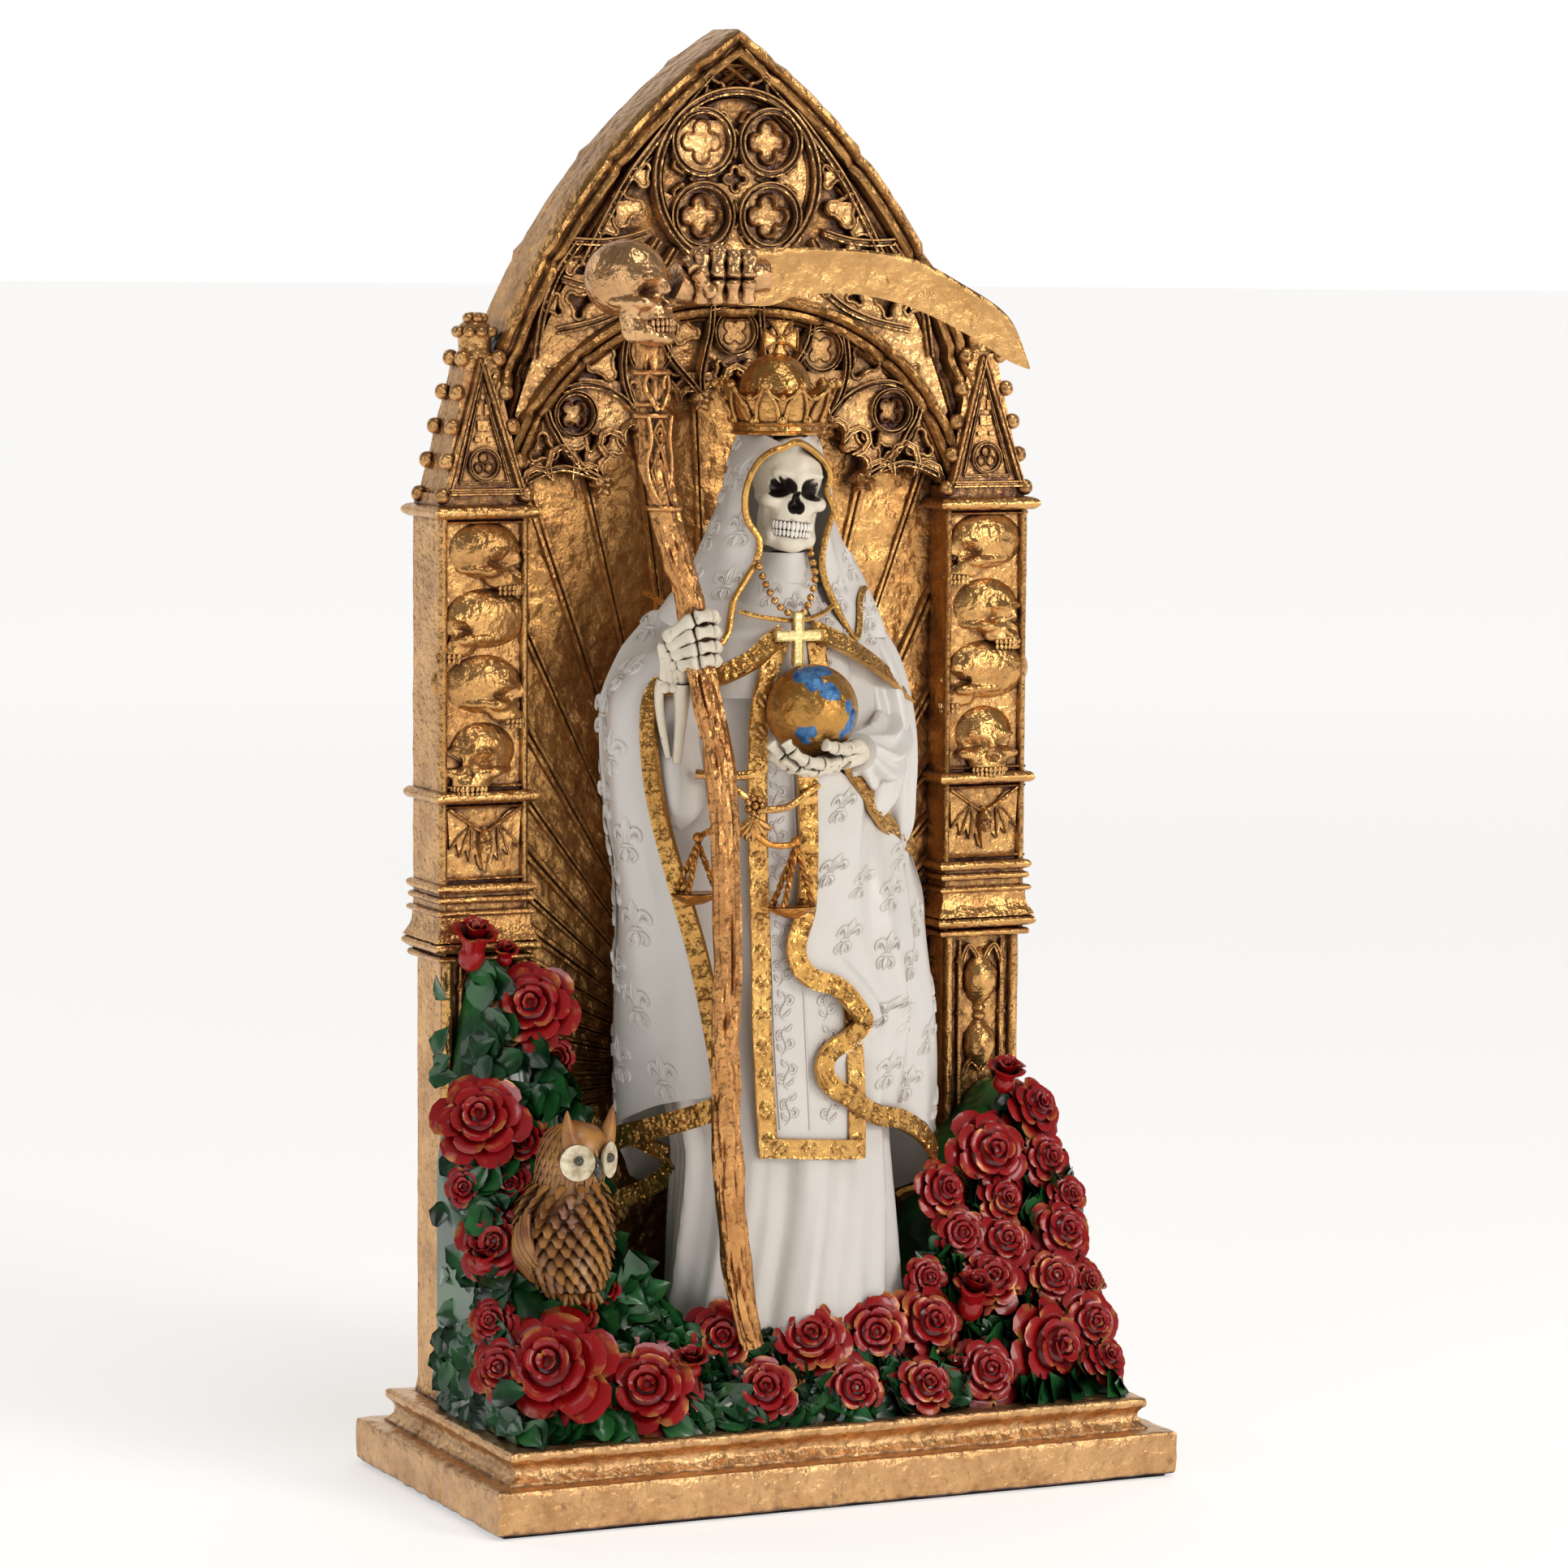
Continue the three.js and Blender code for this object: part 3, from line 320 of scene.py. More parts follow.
def plate(line, front, back, holes=()):
    """A flat casting with the outline of a line in X and Z, pierced by holes, from front to back."""
    form = bmesh.new()
    rim = []
    for ring in (line, *holes):
        edge = [form.verts.new((point[0], back, point[1])) for point in ring]
        rim += [form.edges.new((edge[k - 1], edge[k])) for k in range(len(edge))]
    filled = bmesh.ops.triangle_fill(form, use_beauty=True, edges=rim)
    drawn = bmesh.ops.extrude_face_region(form, geom=[part for part in filled["geom"]
                                                      if isinstance(part, bmesh.types.BMFace)])
    bmesh.ops.translate(form, vec=(0, front - back, 0),
                        verts=[part for part in drawn["geom"] if isinstance(part, bmesh.types.BMVert)])
    bmesh.ops.recalc_face_normals(form, faces=form.faces)
    return form


def rib(wide, rise):
    """Section of a tracery rib: two rolls with a fine groove between them."""
    half = [(0.5, -1.2), (0.5, rise * 0.7), (0.4, rise), (0.24, rise * 0.97), (0.09, rise * 0.7)]
    return ([(a * wide, b) for a, b in half] + [(-a * wide, b) for a, b in reversed(half)])


def roll(wide, rise):
    """Section of a single round roll."""
    return [(wide / 2 * cos(pi * k / 6), -1 if k in (0, 6) else rise * sin(pi * k / 6)) for k in range(7)]


def soft(a, b, c, d, t):
    """A place between b and c, at t from 0 to 1, on the soft curve that also passes a and d."""
    return 0.5 * (2 * b + (c - a) * t + (2 * a - 5 * b + 4 * c - d) * t * t
                  + (3 * b - a - 3 * c + d) * t ** 3)


def smooth_line(knots, steps, loop=False):
    """Places along a soft curve through the knots."""
    knots = [Vector(knot) for knot in knots]
    spans = len(knots) if loop else len(knots) - 1

    def knot(k):
        return knots[k % len(knots)] if loop else knots[max(0, min(len(knots) - 1, k))]
    line = []
    for k in range(steps if loop else steps + 1):
        i = min(int(k * spans / steps), spans - 1)
        line.append(soft(knot(i - 1), knot(i), knot(i + 1), knot(i + 2), k * spans / steps - i))
    return line


def niche_panel():
    half = pillar_x - 14
    top = hood_rise + hood_radius - 4

    def place(u, v):
        point = Vector(((2 * u - 1) * half, panel_front, wall_foot + (top - wall_foot) * v))
        if u in (0, 1) or v in (0, 1):
            point.y += 2
        point.y -= 0.9 * noise.noise(point / 9) + 0.35 * noise.noise(point / 3.5)
        return point
    return closed(grid(90, 200, place))


def rays():
    """Double-ridged bars from behind the figure out to the pillars and up under the tracery."""
    forms = []
    count = round(198 / ray_spacing)
    section = [
        (-0.5, -1.6), (-0.5, 0.5), (-0.36, 1.7), (-0.12, 1.7), (0, 0.7), (0.12, 1.7), (0.36, 1.7),
        (0.5, 0.5), (0.5, -1.6)]
    for k in range(count + 1):
        turn = radians(-9 + 198 * k / count)
        way = Vector((cos(turn), sin(turn)))
        far = min((pillar_x - 12) / max(abs(way.x), 0.01), 262)
        width = ray_wide * (1 + 0.25 * (k % 2))
        line = [Vector((0, ray_z)) + way * (24 + (far - 24) * j / 7) for j in range(8)]
        forms.append(moulding(line, [(a * width, b) for a, b in section], panel_front + 0.3,
                              draught=lambda t: 0.35 + 0.75 * t))
    return forms


def wall_body():
    inset = 1.5
    outer = arch_line(inset, 26) + [Vector((side * (arch_half - inset), wall_foot)) for side in (1, -1)]
    form = plate(outer, panel_front + 1.5, wall_back)
    back = [corner for corner in form.verts if corner.co.y > wall_back - 1]
    bmesh.ops.scale(form, vec=(1.006, 1, 1), verts=back)
    return form


def tympanum():
    """The beaten field over the low arch, on which the upper tracery stands."""
    field = arch_line(12, 20) + list(reversed(hood_line(2, 20, low=0)))
    return plate(field, floor_front, panel_front + 2)


def arch_mouldings():
    """Outer roll, groove and second roll, then a deep hollow with two small rolls inside it."""
    rim = [
        (-0.3, 0), (0, 19), (0.3, 22.6), (1.3, 24.4), (2.8, 24.7), (4, 23.8), (4.5, 22.4), (5, 22.6),
        (5.8, 24.2), (7, 24.6), (8.2, 23.9), (8.7, 22.3), (9.6, 19.2), (11.4, 18.6), (11.8, 20.6),
        (12.8, 21.6), (13.8, 20.8), (14.3, 19.4), (14.8, 20), (15.4, 20.9), (16.2, 20), (16.6, 17),
        (16.6, 0)]
    line = arch_line(0, 60)
    outer = moulding(line, rim, wall_back)
    hood = [
        (0, -2), (0, 5.2), (0.9, 7.6), (2.6, 8.3), (4, 7.2), (4.5, 5.6), (5.2, 6.9), (6.6, 7.4),
        (7.8, 6.4), (8.3, 4.6), (8.9, 5.2), (9.6, 4.4), (10, 2), (10, -2)]
    inner = moulding(hood_line(0, 48), hood, floor_front + 1)
    forms = [hammered(outer, 0.45, 5), hammered(inner, 0.3, 4)]
    for share in (0.16, 0.36, 0.55, 0.74, 0.93):
        for form, line_of, depth in ((forms[0], arch_line(8, 60), 2), (forms[1], hood_line(5, 48), 1.6)):
            steps = (len(line_of) - 1) / 2
            for side in (share * steps, 2 * steps - share * steps):
                at = line_of[round(side)]
                for corner in form.verts:
                    away = (corner.co.x - at.x) ** 2 + (corner.co.z - at.y) ** 2
                    ring = (line_of[round(side) + 1] - line_of[round(side) - 1]).normalized()
                    along = abs((corner.co.x - at.x) * ring.x + (corner.co.z - at.y) * ring.y)
                    if away < 200 and along < 2:
                        corner.co.y += depth * 1.4
    return forms


# The wall's gold takes gilt()'s brown wash and painted shade in its hollows.
gilt_wall = gilt(
    "gilt_resin_washed_and_shaded", light="#D4A060", deep="#7E4E28", wash_and_shade="#3A130A", rough=0.26, dent=5, reach=0.007)
casting(
    "shrine_wall", [wall_body(), tympanum(), niche_panel(), *rays(), *arch_mouldings()], gilt_wall,
    "shrine")

# Tracery: cast in one with the wall. Above, four quatrefoil roundels in a great ring between leafy
# spandrels; below, a cusped fringe on carved pendants that hangs clear of the niche panel.
oculus_z, oculus_radius = 466.2, 33
pendants = [(13.2, 388), (36.5, 378.3), (51.7, 358)]
tracery_front = 30


def circle(x, z, radius, steps=40):
    return [Vector((x + radius * cos(tau * k / steps), z - radius * sin(tau * k / steps)))
            for k in range(steps)]


def foil_line(x, z, count, reach, lobe, start=pi / 2, bulge=4.1, steps=9):
    """Outline of a trefoil or quatrefoil: round lobes that meet in cusps."""
    line = []
    for k in range(count):
        aim = start - tau * k / count
        for j in range(steps):
            swing = aim - (j / (steps - 1) - 0.5) * bulge
            line.append(Vector((
                x + reach * cos(aim) + lobe * cos(swing), z + reach * sin(aim) + lobe * sin(swing))))
    return line


def both_sides(line):
    """A line and its mirror image on the other half of the shrine."""
    return [line, [Vector((-point[0], point[1])) for point in reversed(line)]]


def roundel(x, z, radius, start, floor):
    """A double ring round a sunk quatrefoil whose lip is a single roll."""
    rise = floor - tracery_front
    lobes = foil_line(x, z, 4, radius * 0.37, radius * 0.25, start, 3.9)
    return [
        moulding(circle(x, z, radius - radius * 0.1), rib(radius * 0.22, rise), floor, loop=True),
        moulding(lobes, roll(radius * 0.13, rise * 0.72), floor, loop=True),
        plate(circle(x, z, radius * 0.86, 28), floor - rise * 0.12, floor + 1)]


def leaf(x, z, size, turn, count=3):
    """A pierced leaf form of the spandrels: a trefoil with slim lobes."""
    return foil_line(x, z, count, size * 0.46, size * 0.27, turn, 3.9, 7)


def dagger(start, end, wide):
    """A long leaf-shaped piercing between two places."""
    start, end = Vector(start), Vector(end)
    way = end - start
    side = Vector((way.y, -way.x)).normalized() * wide
    return smooth_line(
        [start, start + way * 0.3 + side, start + way * 0.72 + side * 0.45, end,
         start + way * 0.72 - side * 0.45, start + way * 0.3 - side], 18, loop=True)


def pierced(line, holes, front, back):
    """A web of tracery: a plate with leaf-shaped holes, each with a raised lip round it."""
    lips = [moulding(hole, roll(1.5, 1), front, loop=True) for hole in holes]
    return [plate(line, front, back, holes), *lips]


def upper_tracery():
    floor, rise = floor_front, floor_front - tracery_front
    web = tracery_front + 1.6
    near = oculus_radius * 0.402
    forms = [
        moulding(circle(0, oculus_z, oculus_radius - 1.4, 80), rib(3.4, rise + 0.6), floor, loop=True),
        moulding(circle(0, oculus_z, oculus_radius - 4.2, 72), roll(1.2, rise * 0.7), floor, loop=True)]
    for x in (-near, near):
        for z in (-near, near):
            forms += roundel(x, oculus_z + z, 12.6, pi / 2, floor)
    eyes = [circle(x, oculus_z + z, 11.6, 28) for x in (-near, near) for z in (-near, near)]
    eyes.append(leaf(0, oculus_z, 6.4, pi / 2, 4))
    for turn in (0, pi / 2, pi, -pi / 2):
        way = Vector((cos(turn), sin(turn)))
        for reach, lean in ((0.74, 0.28), (0.74, -0.28)):
            at = Vector((cos(turn + lean), sin(turn + lean))) * oculus_radius * reach
            eyes.append(dagger(
                (at.x, oculus_z + at.y),
                (way.x * oculus_radius * 0.6 + (at.x - way.x * 21) * 0.3,
                 oculus_z + way.y * oculus_radius * 0.6 + (at.y - way.y * 21) * 0.3), 1.6))
        eyes.append(dagger((way.x * 17.5, oculus_z + way.y * 17.5), (way.x * 8, oculus_z + way.y * 8), 1.4))
    forms += pierced(circle(0, oculus_z, oculus_radius - 3, 48), eyes, web + 1, floor + 1)
    spandrels = [
        [(2, 512), (17, 497), (31, 481), (42, 467), (51, 452), (60, 435)],
        [(35.2, 447), (44, 444.5), (54, 443.5), (66, 444)],
        [(30.5, 444.5), (37, 436), (46, 429.5), (58, 428), (68, 430.5)],
        [(24, 441), (31, 431), (41, 421.5), (54, 415.5), (70, 412)],
        [(62, 443), (70, 432), (75.5, 418), (78, 402)]]
    for knots in spandrels:
        for line in both_sides(smooth_line(knots, 22)):
            forms.append(moulding(line, rib(3.2, rise), floor))
    leaves = [
        (43, 455.5, 9.5, 0.9), (37.5, 467.5, 6.5, 2.2), (50, 449, 6, -0.4), (46.5, 437.5, 8.2, 1.5),
        (56, 436.5, 6, 0.2), (36.5, 428.5, 6.2, 2.4), (64, 436, 6, 0.8), (61, 421.5, 8, 0.6),
        (71, 421, 6.2, 1.9), (48, 424, 5.4, -0.9), (9.5, 499, 6, 1)]
    holes = [leaf(x, z, size, turn) for x, z, size, turn in leaves]
    web_edge = [Vector((0, oculus_z + oculus_radius))]
    web_edge += [Vector((oculus_radius * sin(turn), oculus_z + oculus_radius * cos(turn)))
                 for turn in (0.35, 0.75, 1.15, 1.55, 1.95, 2.35, 2.75, 3)]
    web_edge += [point for point in hood_line(2, 20, low=0.5) if point.x > 4]
    web_edge += [point for point in reversed(arch_line(14.5, 30)) if point.x > 0.5 and point.y > 376]
    for mirror in (1, -1):
        flip = [[Vector((mirror * point.x, point.y)) for point in line] for line in (web_edge, *holes)]
        forms += pierced(flip[0], flip[1:], web, floor + 1)
    return forms


def fringe_line():
    """Cusped edge of the lower tracery, from the left pillar to the right one."""
    foils = [
        (0, 0), (0.07, 0.17), (0.18, 0.22), (0.3, 0.19), (0.36, 0.06), (0.33, 0.24), (0.38, 0.4),
        (0.5, 0.46), (0.62, 0.4), (0.67, 0.24), (0.64, 0.06), (0.7, 0.19), (0.82, 0.22), (0.93, 0.17)]
    right = pendants + [(83.5, 356.5)]
    stations = [(-x, z) for x, z in reversed(right)] + right
    line = []
    for start, end in zip(stations, stations[1:]):
        start, end = Vector(start), Vector(end)
        way = end - start
        up = Vector((-way.y, way.x)) * 0.92
        line += [start + way * share + up * height for share, height in foils]
    return line + [Vector(stations[-1])]


def bead(x, y, z, size, detail=2):
    form = bmesh.new()
    bmesh.ops.create_icosphere(form, subdivisions=detail, radius=size)
    bmesh.ops.translate(form, vec=(x, y, z), verts=form.verts)
    return form


def boss(x, z):
    """A carved leaf knot that ends a pendant."""
    form = bead(0, 0, 0, 1, 4)
    for corner in form.verts:
        way = corner.co.copy()
        turn = atan2(way.x, way.z)
        size = 1 + 0.16 * cos(5 * turn + 2.5 * way.y) + 0.1 * cos(9 * way.z)
        reach = Vector((way.x * 3.8, way.y * 4.6, way.z * 4))
        corner.co = Vector((x, tracery_front + 2.2, z - 1.2)) + reach * size
    return form


def lower_tracery():
    floor = tracery_front + 5
    rise = 5
    fringe = fringe_line()
    hood = hood_line(8.5, 24, low=0.22)
    edge = fringe + list(reversed(hood))
    forms = [plate(edge, floor, panel_front - 1), moulding(fringe, rib(2.6, 2), tracery_front + 2)]
    eyes = []
    for x, z in ((0, 411.4), (34, 404.7), (62.6, 382.2)):
        for side in ((-1, 1) if x else (1,)):
            forms += roundel(x * side, z, 8.6, pi / 4, floor)
            eyes.append(circle(x * side, z, 7.6, 24))
    ribs = [
        [(51.5, 357.9), (56.1, 360.3), (64.2, 362.6), (68.6, 363.1), (75.2, 361.5), (82, 358.5)],
        [(36.4, 378.2), (39.6, 382.6), (44.9, 387.9), (53.1, 391.8), (61.2, 392.7), (68, 390.6)],
        [(51.5, 357.9), (58.8, 362.2), (66.4, 369.5), (69.6, 374.4), (72.6, 379.3), (74, 384)],
        [(36.4, 378.2), (41.2, 386.5), (43.8, 394.3), (44.3, 401.6), (43.1, 409.9)],
        [(13.2, 388), (19, 394.5), (25, 401), (29, 408), (30.5, 416)],
        [(13.2, 388), (13.6, 396), (12, 404), (10.2, 412), (9.6, 420.5)],
        [(-10, 420), (0, 421.4), (10, 420)]]
    for knots in ribs:
        lines = both_sides(smooth_line(knots, 20)) if knots[0][0] > 0 else [smooth_line(knots, 16)]
        for line in lines:
            forms.append(moulding(line, rib(2.6, rise + 0.4), floor))
    leaves = [
        (74.6, 369.8, 8.2, 1.5), (51.4, 399.8, 9, 2), (19.5, 411.5, 7.6, 1.2), (55.5, 373, 6.2, 0.9),
        (47.5, 370.5, 5.4, -0.5), (37.5, 390.5, 6, 0.6), (29, 390, 5.6, 1.9), (5, 397.5, 5.2, 1.2),
        (24, 394, 5, 2.8), (60, 368, 4.8, 0.2), (70.5, 397, 5, 0.4), (77.5, 362.8, 3.6, 0.5)]
    for x, z, size, turn in leaves:
        eyes += [leaf(x, z, size, turn), leaf(-x, z, size, pi - turn)]
    forms += pierced(edge, eyes, tracery_front + 2, floor + 1)
    for x, z in pendants:
        forms += [boss(x, z), boss(-x, z)]
    return forms


tracery = [hammered(form, 0.22, 2.2) for form in upper_tracery() + lower_tracery()]
gilt_carved = gilt(
    "gilt_resin_carved", light="#E6B678", deep="#A46E40", rough=0.25, dent=2.6, reach=0.0045)
casting("shrine_tracery", tracery, gilt_carved, "shrine")

# Pillars: two square piers cast on the jambs. A sunk front panel carries a column of skulls, then a
# bat, then an hourglass; the plain sides are beaten, and rolls run round the front and both sides.
sink = 2.4
skull_levels = (332.8, 308.6, 285.2, 261.4)
# degrees from facing front, from the top skull down, on the left and the right pier
skull_turns = {-1: (-46, 72, -60, 30), 1: (-62, 40, -80, 6)}


# (middle, radii) of ovals, mirrored in X; the first eight leave out the jaw
face_bones = [
    ((0, 4.5, 6), (12.4, 16.5, 15.8)), ((4.6, -9.7, 5.6), (4.8, 2.6, 1.9)),
    ((0, -11.2, 2.6), (2, 2.4, 3.4)), ((0, -12.2, 0.4), (1.5, 2.2, 2.4)),
    ((7.9, -7.6, -4.4), (4, 3.6, 2.9)), ((10, -1, -3.6), (1.7, 7, 1.8)),
    ((0, -6.9, -7.2), (7.6, 6.4, 5.6)), ((0, -8, -10.4), (7.3, 5.9, 2.2)),
    ((0, -6.4, -17.4), (8, 6.8, 4.6)), ((0, -11.8, -19.2), (4.6, 2.6, 2.5)),
    ((8.6, -1.5, -10.5), (2, 4.4, 8.5)), ((7.6, -4, -16.6), (2.4, 6.5, 3.6))]
face_hollows = [
    ((6, -14.2, 0.8), (4.7, 9.6, 3.6)), ((6.9, -14, 0.2), (4.3, 8.8, 3)),
    ((1, -14.2, -5.6), (1.7, 5.2, 2.1)), ((0, -14, -3.6), (1.3, 4.8, 2.9)), ((15.6, -4, 5), (3, 6, 5.5)),
    ((9.4, -10.6, -10), (2.9, 6, 3.2)), ((11.8, -6, -11), (2.2, 5, 5))]


def near_oval(point, middle, radii):
    """Signed distance, roughly, from an oval mirrored in X."""
    away = Vector((abs(point.x) - middle[0], point.y - middle[1], point.z - middle[2]))
    once = Vector([away[k] / radii[k] for k in range(3)]).length
    twice = Vector([away[k] / radii[k] ** 2 for k in range(3)]).length
    return once * (once - 1) / max(twice, 1e-6)


def blend(a, b, soft):
    share = max(0, min(1, 0.5 + 0.5 * (b - a) / soft))
    return b + (a - b) * share - soft * share * (1 - share)


def bare_face(detail, bones=face_bones):
    """A skull, 44 mm from chin to crown: ovals of bone run together and hollowed. Its attribute
    hollow grows towards the eyes and the nose, where the paint turns dark."""
    middle = Vector((0, -2.5, -3))

    def near(point):
        distance = 50
        for place, radii in bones:
            distance = blend(distance, near_oval(point, place, radii), 1.9)
        for place, radii in face_hollows:
            distance = -blend(-distance, near_oval(point, place, radii), 1.1)
        return distance
    form = bead(0, 0, 0, 1, detail)
    painted = form.verts.layers.float.new("hollow")
    for corner in form.verts:
        way, reach = corner.co.copy(), 30
        for _ in range(26):
            gap = near(middle + way * reach)
            reach -= 0.8 * gap
            if gap < 0.03 or reach < 2:
                break
        corner.co = middle + way * max(reach, 2)
        depth = min(near_oval(corner.co, place, radii) for place, radii in face_hollows[:4])
        corner[painted] = max(0, 4 - depth)
    return form


def tooth_row(count, wide, deep, level, size, detail=3):
    forms = []
    for k in range(count):
        turn = (k - (count - 1) / 2) * 2.35 / (count - 1)
        big = 1.18 if abs(k - (count - 1) / 2) < 1 else 1
        form = bead(0, 0, 0, 1, detail)
        spot = Matrix.Translation((wide * sin(turn), -7.6 - deep * cos(turn), level))
        shape = Matrix.Diagonal((size * 0.66 * big, size * 0.7, size * 1.25 * big, 1))
        bmesh.ops.transform(form, matrix=spot @ Matrix.Rotation(turn, 4, "Z") @ shape, verts=form.verts)
        forms.append(form)
    return forms


def set_down(form, place, turn=0, lean=0, tip=0):
    """Turns a form about its own middle, in degrees, and moves it to its place."""
    angles = Euler([radians(angle) for angle in (lean, tip, turn)])
    bmesh.ops.transform(
        form, matrix=Matrix.Translation(place) @ angles.to_matrix().to_4x4(), verts=form.verts)
    return form


def bat(x, z):
    """A bat with spread ribbed wings round a small skull face."""
    half = [
        (0, 4.5), (2.5, 3), (5.5, 6.2), (9, 9.6), (14.2, 11.6), (13.6, 4), (13.2, -3.5), (10.6, -1),
        (9.4, -6.2), (7, -3.4), (5.6, -8), (3.4, -5), (2.2, -9.5), (0, -11.5)]
    outline = half + [(-a, b) for a, b in reversed(half[1:-1])]
    skin = [Vector((x + a, z + b)) for a, b in outline]
    forms = [plate(skin, pillar_front + 1.1, pillar_front + sink + 1)]
    for tip in ((14, 11.2), (13.2, -3), (9.4, -5.8), (5.6, -7.4)):
        for side in (-1, 1):
            line = smooth_line(
                [(x + side * 5, z + 5.2), (x + side * (tip[0] * 0.62 + 1.5), z + tip[1] * 0.5 + 3.2),
                 (x + side * tip[0], z + tip[1])], 10)
            forms.append(moulding(line, roll(1, 1.1), pillar_front + 1.3))
    for side in (-1, 1):
        line = smooth_line(
            [(x + side * 1.5, z + 3), (x + side * 6, z + 5.8), (x + side * 13.8, z + 11.2)], 12)
        forms.append(moulding(line, roll(1.6, 1.6), pillar_front + 1.3))
    body = limb([Vector((x, pillar_front + 1, z + b)) for b in (2, -2, -6, -11)],
                lambda t, turn: (2.6, 3.2, 2.2, 0.7)[round(t * 3)], 8)
    head = bare_face(3)
    bmesh.ops.scale(head, vec=(0.2, 0.2, 0.2), verts=head.verts)
    return forms + [body, set_down(head, (x, pillar_front - 0.6, z - 0.5))]


def limb(line, radius, sides=10):
    """A round form along a line in space, its two ends filled; radius is a number or radius(t, turn)."""
    count = len(line)
    frames = []
    for k in range(count):
        tangent = (line[min(k + 1, count - 1)] - line[max(k - 1, 0)]).normalized()
        across = frames[-1][0] if frames else tangent.orthogonal()
        across = (across - tangent * across.dot(tangent)).normalized()
        frames.append((across, tangent.cross(across)))

    def place(u, v):
        k = round(v * (count - 1))
        size = radius(v, tau * u) if callable(radius) else radius
        return line[k] + frames[k][0] * size * cos(tau * u) + frames[k][1] * size * sin(tau * u)
    return closed(grid(sides, count - 1, place))


def turned(profile, x, y, sides=24):
    """A turned form: profile is (radius, height) upwards."""
    return limb([Vector((x, y, height)) for _, height in profile],
                lambda t, turn: profile[round(t * (len(profile) - 1))][0], sides)


def band(foot, head, grow, flat=0.5):
    """A half-round string course that runs round the pier."""
    half, rise = pillar_half, head - foot
    profile = [(1, foot)] + [(-grow * sin(pi * (k + 0.5) / 7) ** flat, foot + rise * (k + 0.5) / 7)
                               for k in range(7)] + [(1, head)]
    return block(pillar_x - half, pillar_x + half, pillar_front, wall_back, profile, 16)


def mirrored(forms):
    """Turns forms made for the right side into their left-hand twins."""
    for form in forms:
        bmesh.ops.scale(form, vec=(-1, 1, 1), verts=form.verts)
        bmesh.ops.reverse_faces(form, faces=form.faces)
    return forms


bare_skull = bare_face(5, face_bones[:8])


def pier(side):
    """One pier with its carving, modelled on the right and mirrored for the left."""
    half = pillar_half
    left, right = pillar_x - half, pillar_x + half
    core = [(0.6, wall_foot)] + [(1.3, z) for z in range(34, 187, 5)] + [(1.3, 187.3), (0, 190), (0, 213)]
    core += [(0, z) for z in range(218, 345, 4)] + [(0, 346), (0.3, 351), (0.3, 354.5)]
    forms = [block(left, right, pillar_front + sink, wall_back, core, 10)]
    for x in (left + 1.4, right - 1.4):
        edge = [Vector((x, z)) for z in range(190, 350, 4)]
        forms.append(moulding(edge, roll(3, sink + 0.3), pillar_front + sink))
    forms += [
        band(187.6, 190.4, 1.6), band(190.9, 195.4, 3.4), band(204, 206.6, 1.9), band(208.6, 211.4, 1.4),
        band(212.2, 216, 2), band(244.4, 249, 2.7), band(345.6, 350.6, 3.5)]
    flare = [(1, 195), (-2.9, 195.2), (-2, 197), (-0.9, 199), (-0.3, 201.5), (-0.2, 204.5), (1, 204.6)]
    forms.append(block(left, right, pillar_front, wall_back, flare, 16))
    forms.append(block(left + 0.6, right - 0.6, pillar_front + 0.4, wall_back, [(0, 205), (0, 213)], 12))
    for z in (217.4, 243.3, 250.4, 344.6):
        forms.append(moulding(
            [Vector((left, z)), Vector((right, z))], roll(1.6, sink), pillar_front + sink))
    skulls = []
    for level, turn in zip(skull_levels, skull_turns[side]):
        bite = tooth_row(10, 6.9, 6.3, -12.4, 1.3, 1) + tooth_row(10, 6.5, 6, -14.9, 1.2, 1)
        for form in (bare_skull.copy(), *bite):
            set_down(form, (0, 0, -5), turn)
            bmesh.ops.scale(form, vec=(1.06, 0.52, 0.72), verts=form.verts)
            at = Vector((pillar_x + 2.6 * sin(radians(turn)), pillar_front + 4, level + 1))
            bmesh.ops.translate(form, vec=at, verts=form.verts)
            skulls.append(form)
    forms += bat(pillar_x, 231.5)
    glass = [
        (3.6, 139), (5.4, 141), (6.9, 146), (6.2, 151), (3.6, 154.5), (2.2, 156), (3, 157), (3, 158),
        (2.1, 159), (3, 160), (3, 161), (2.4, 161.8), (4.6, 164), (7, 169), (7.2, 174), (5.4, 177.5),
        (3.2, 180), (0.6, 184)]
    forms.append(turned(glass, pillar_x, pillar_front + 4.6))
    for place in (-8.6, 8.6):
        post = smooth_line(
            [(1.1, 84), (1.1, 120), (1.9, 121.5), (1.1, 123), (1.1, 157), (1.9, 158.5), (1.1, 160),
             (1.1, 176), (2, 178), (1, 180), (0.5, 186)], 40)
        post = [(max(0.4, point.x), point.y) for point in post]
        forms.append(turned(post, pillar_x + place, pillar_front + 2.4, 8))
        gable = smooth_line(
            [(pillar_x + place * 0.95, 178), (pillar_x + place * 0.62, 184),
             (pillar_x + place * 0.2, 180), (pillar_x, 174.5)], 14)
        forms.append(moulding(gable, rib(2, 2.2), pillar_front + 3.4))
        crest = smooth_line(
            [(pillar_x + place * 0.95, 134), (pillar_x + place * 0.5, 141), (pillar_x, 137.5)], 10)
        forms.append(moulding(crest, rib(2, 2.2), pillar_front + 3.4))
    for place in (-13.4, 13.4):
        edge = [Vector((pillar_x + place, z)) for z in range(32, 189, 6)]
        forms.append(moulding(edge, roll(4, 2.6), pillar_front + 3))
    forms = [hammered(form, 0.25, 3.2) for form in forms] + skulls
    return mirrored(forms) if side < 0 else forms


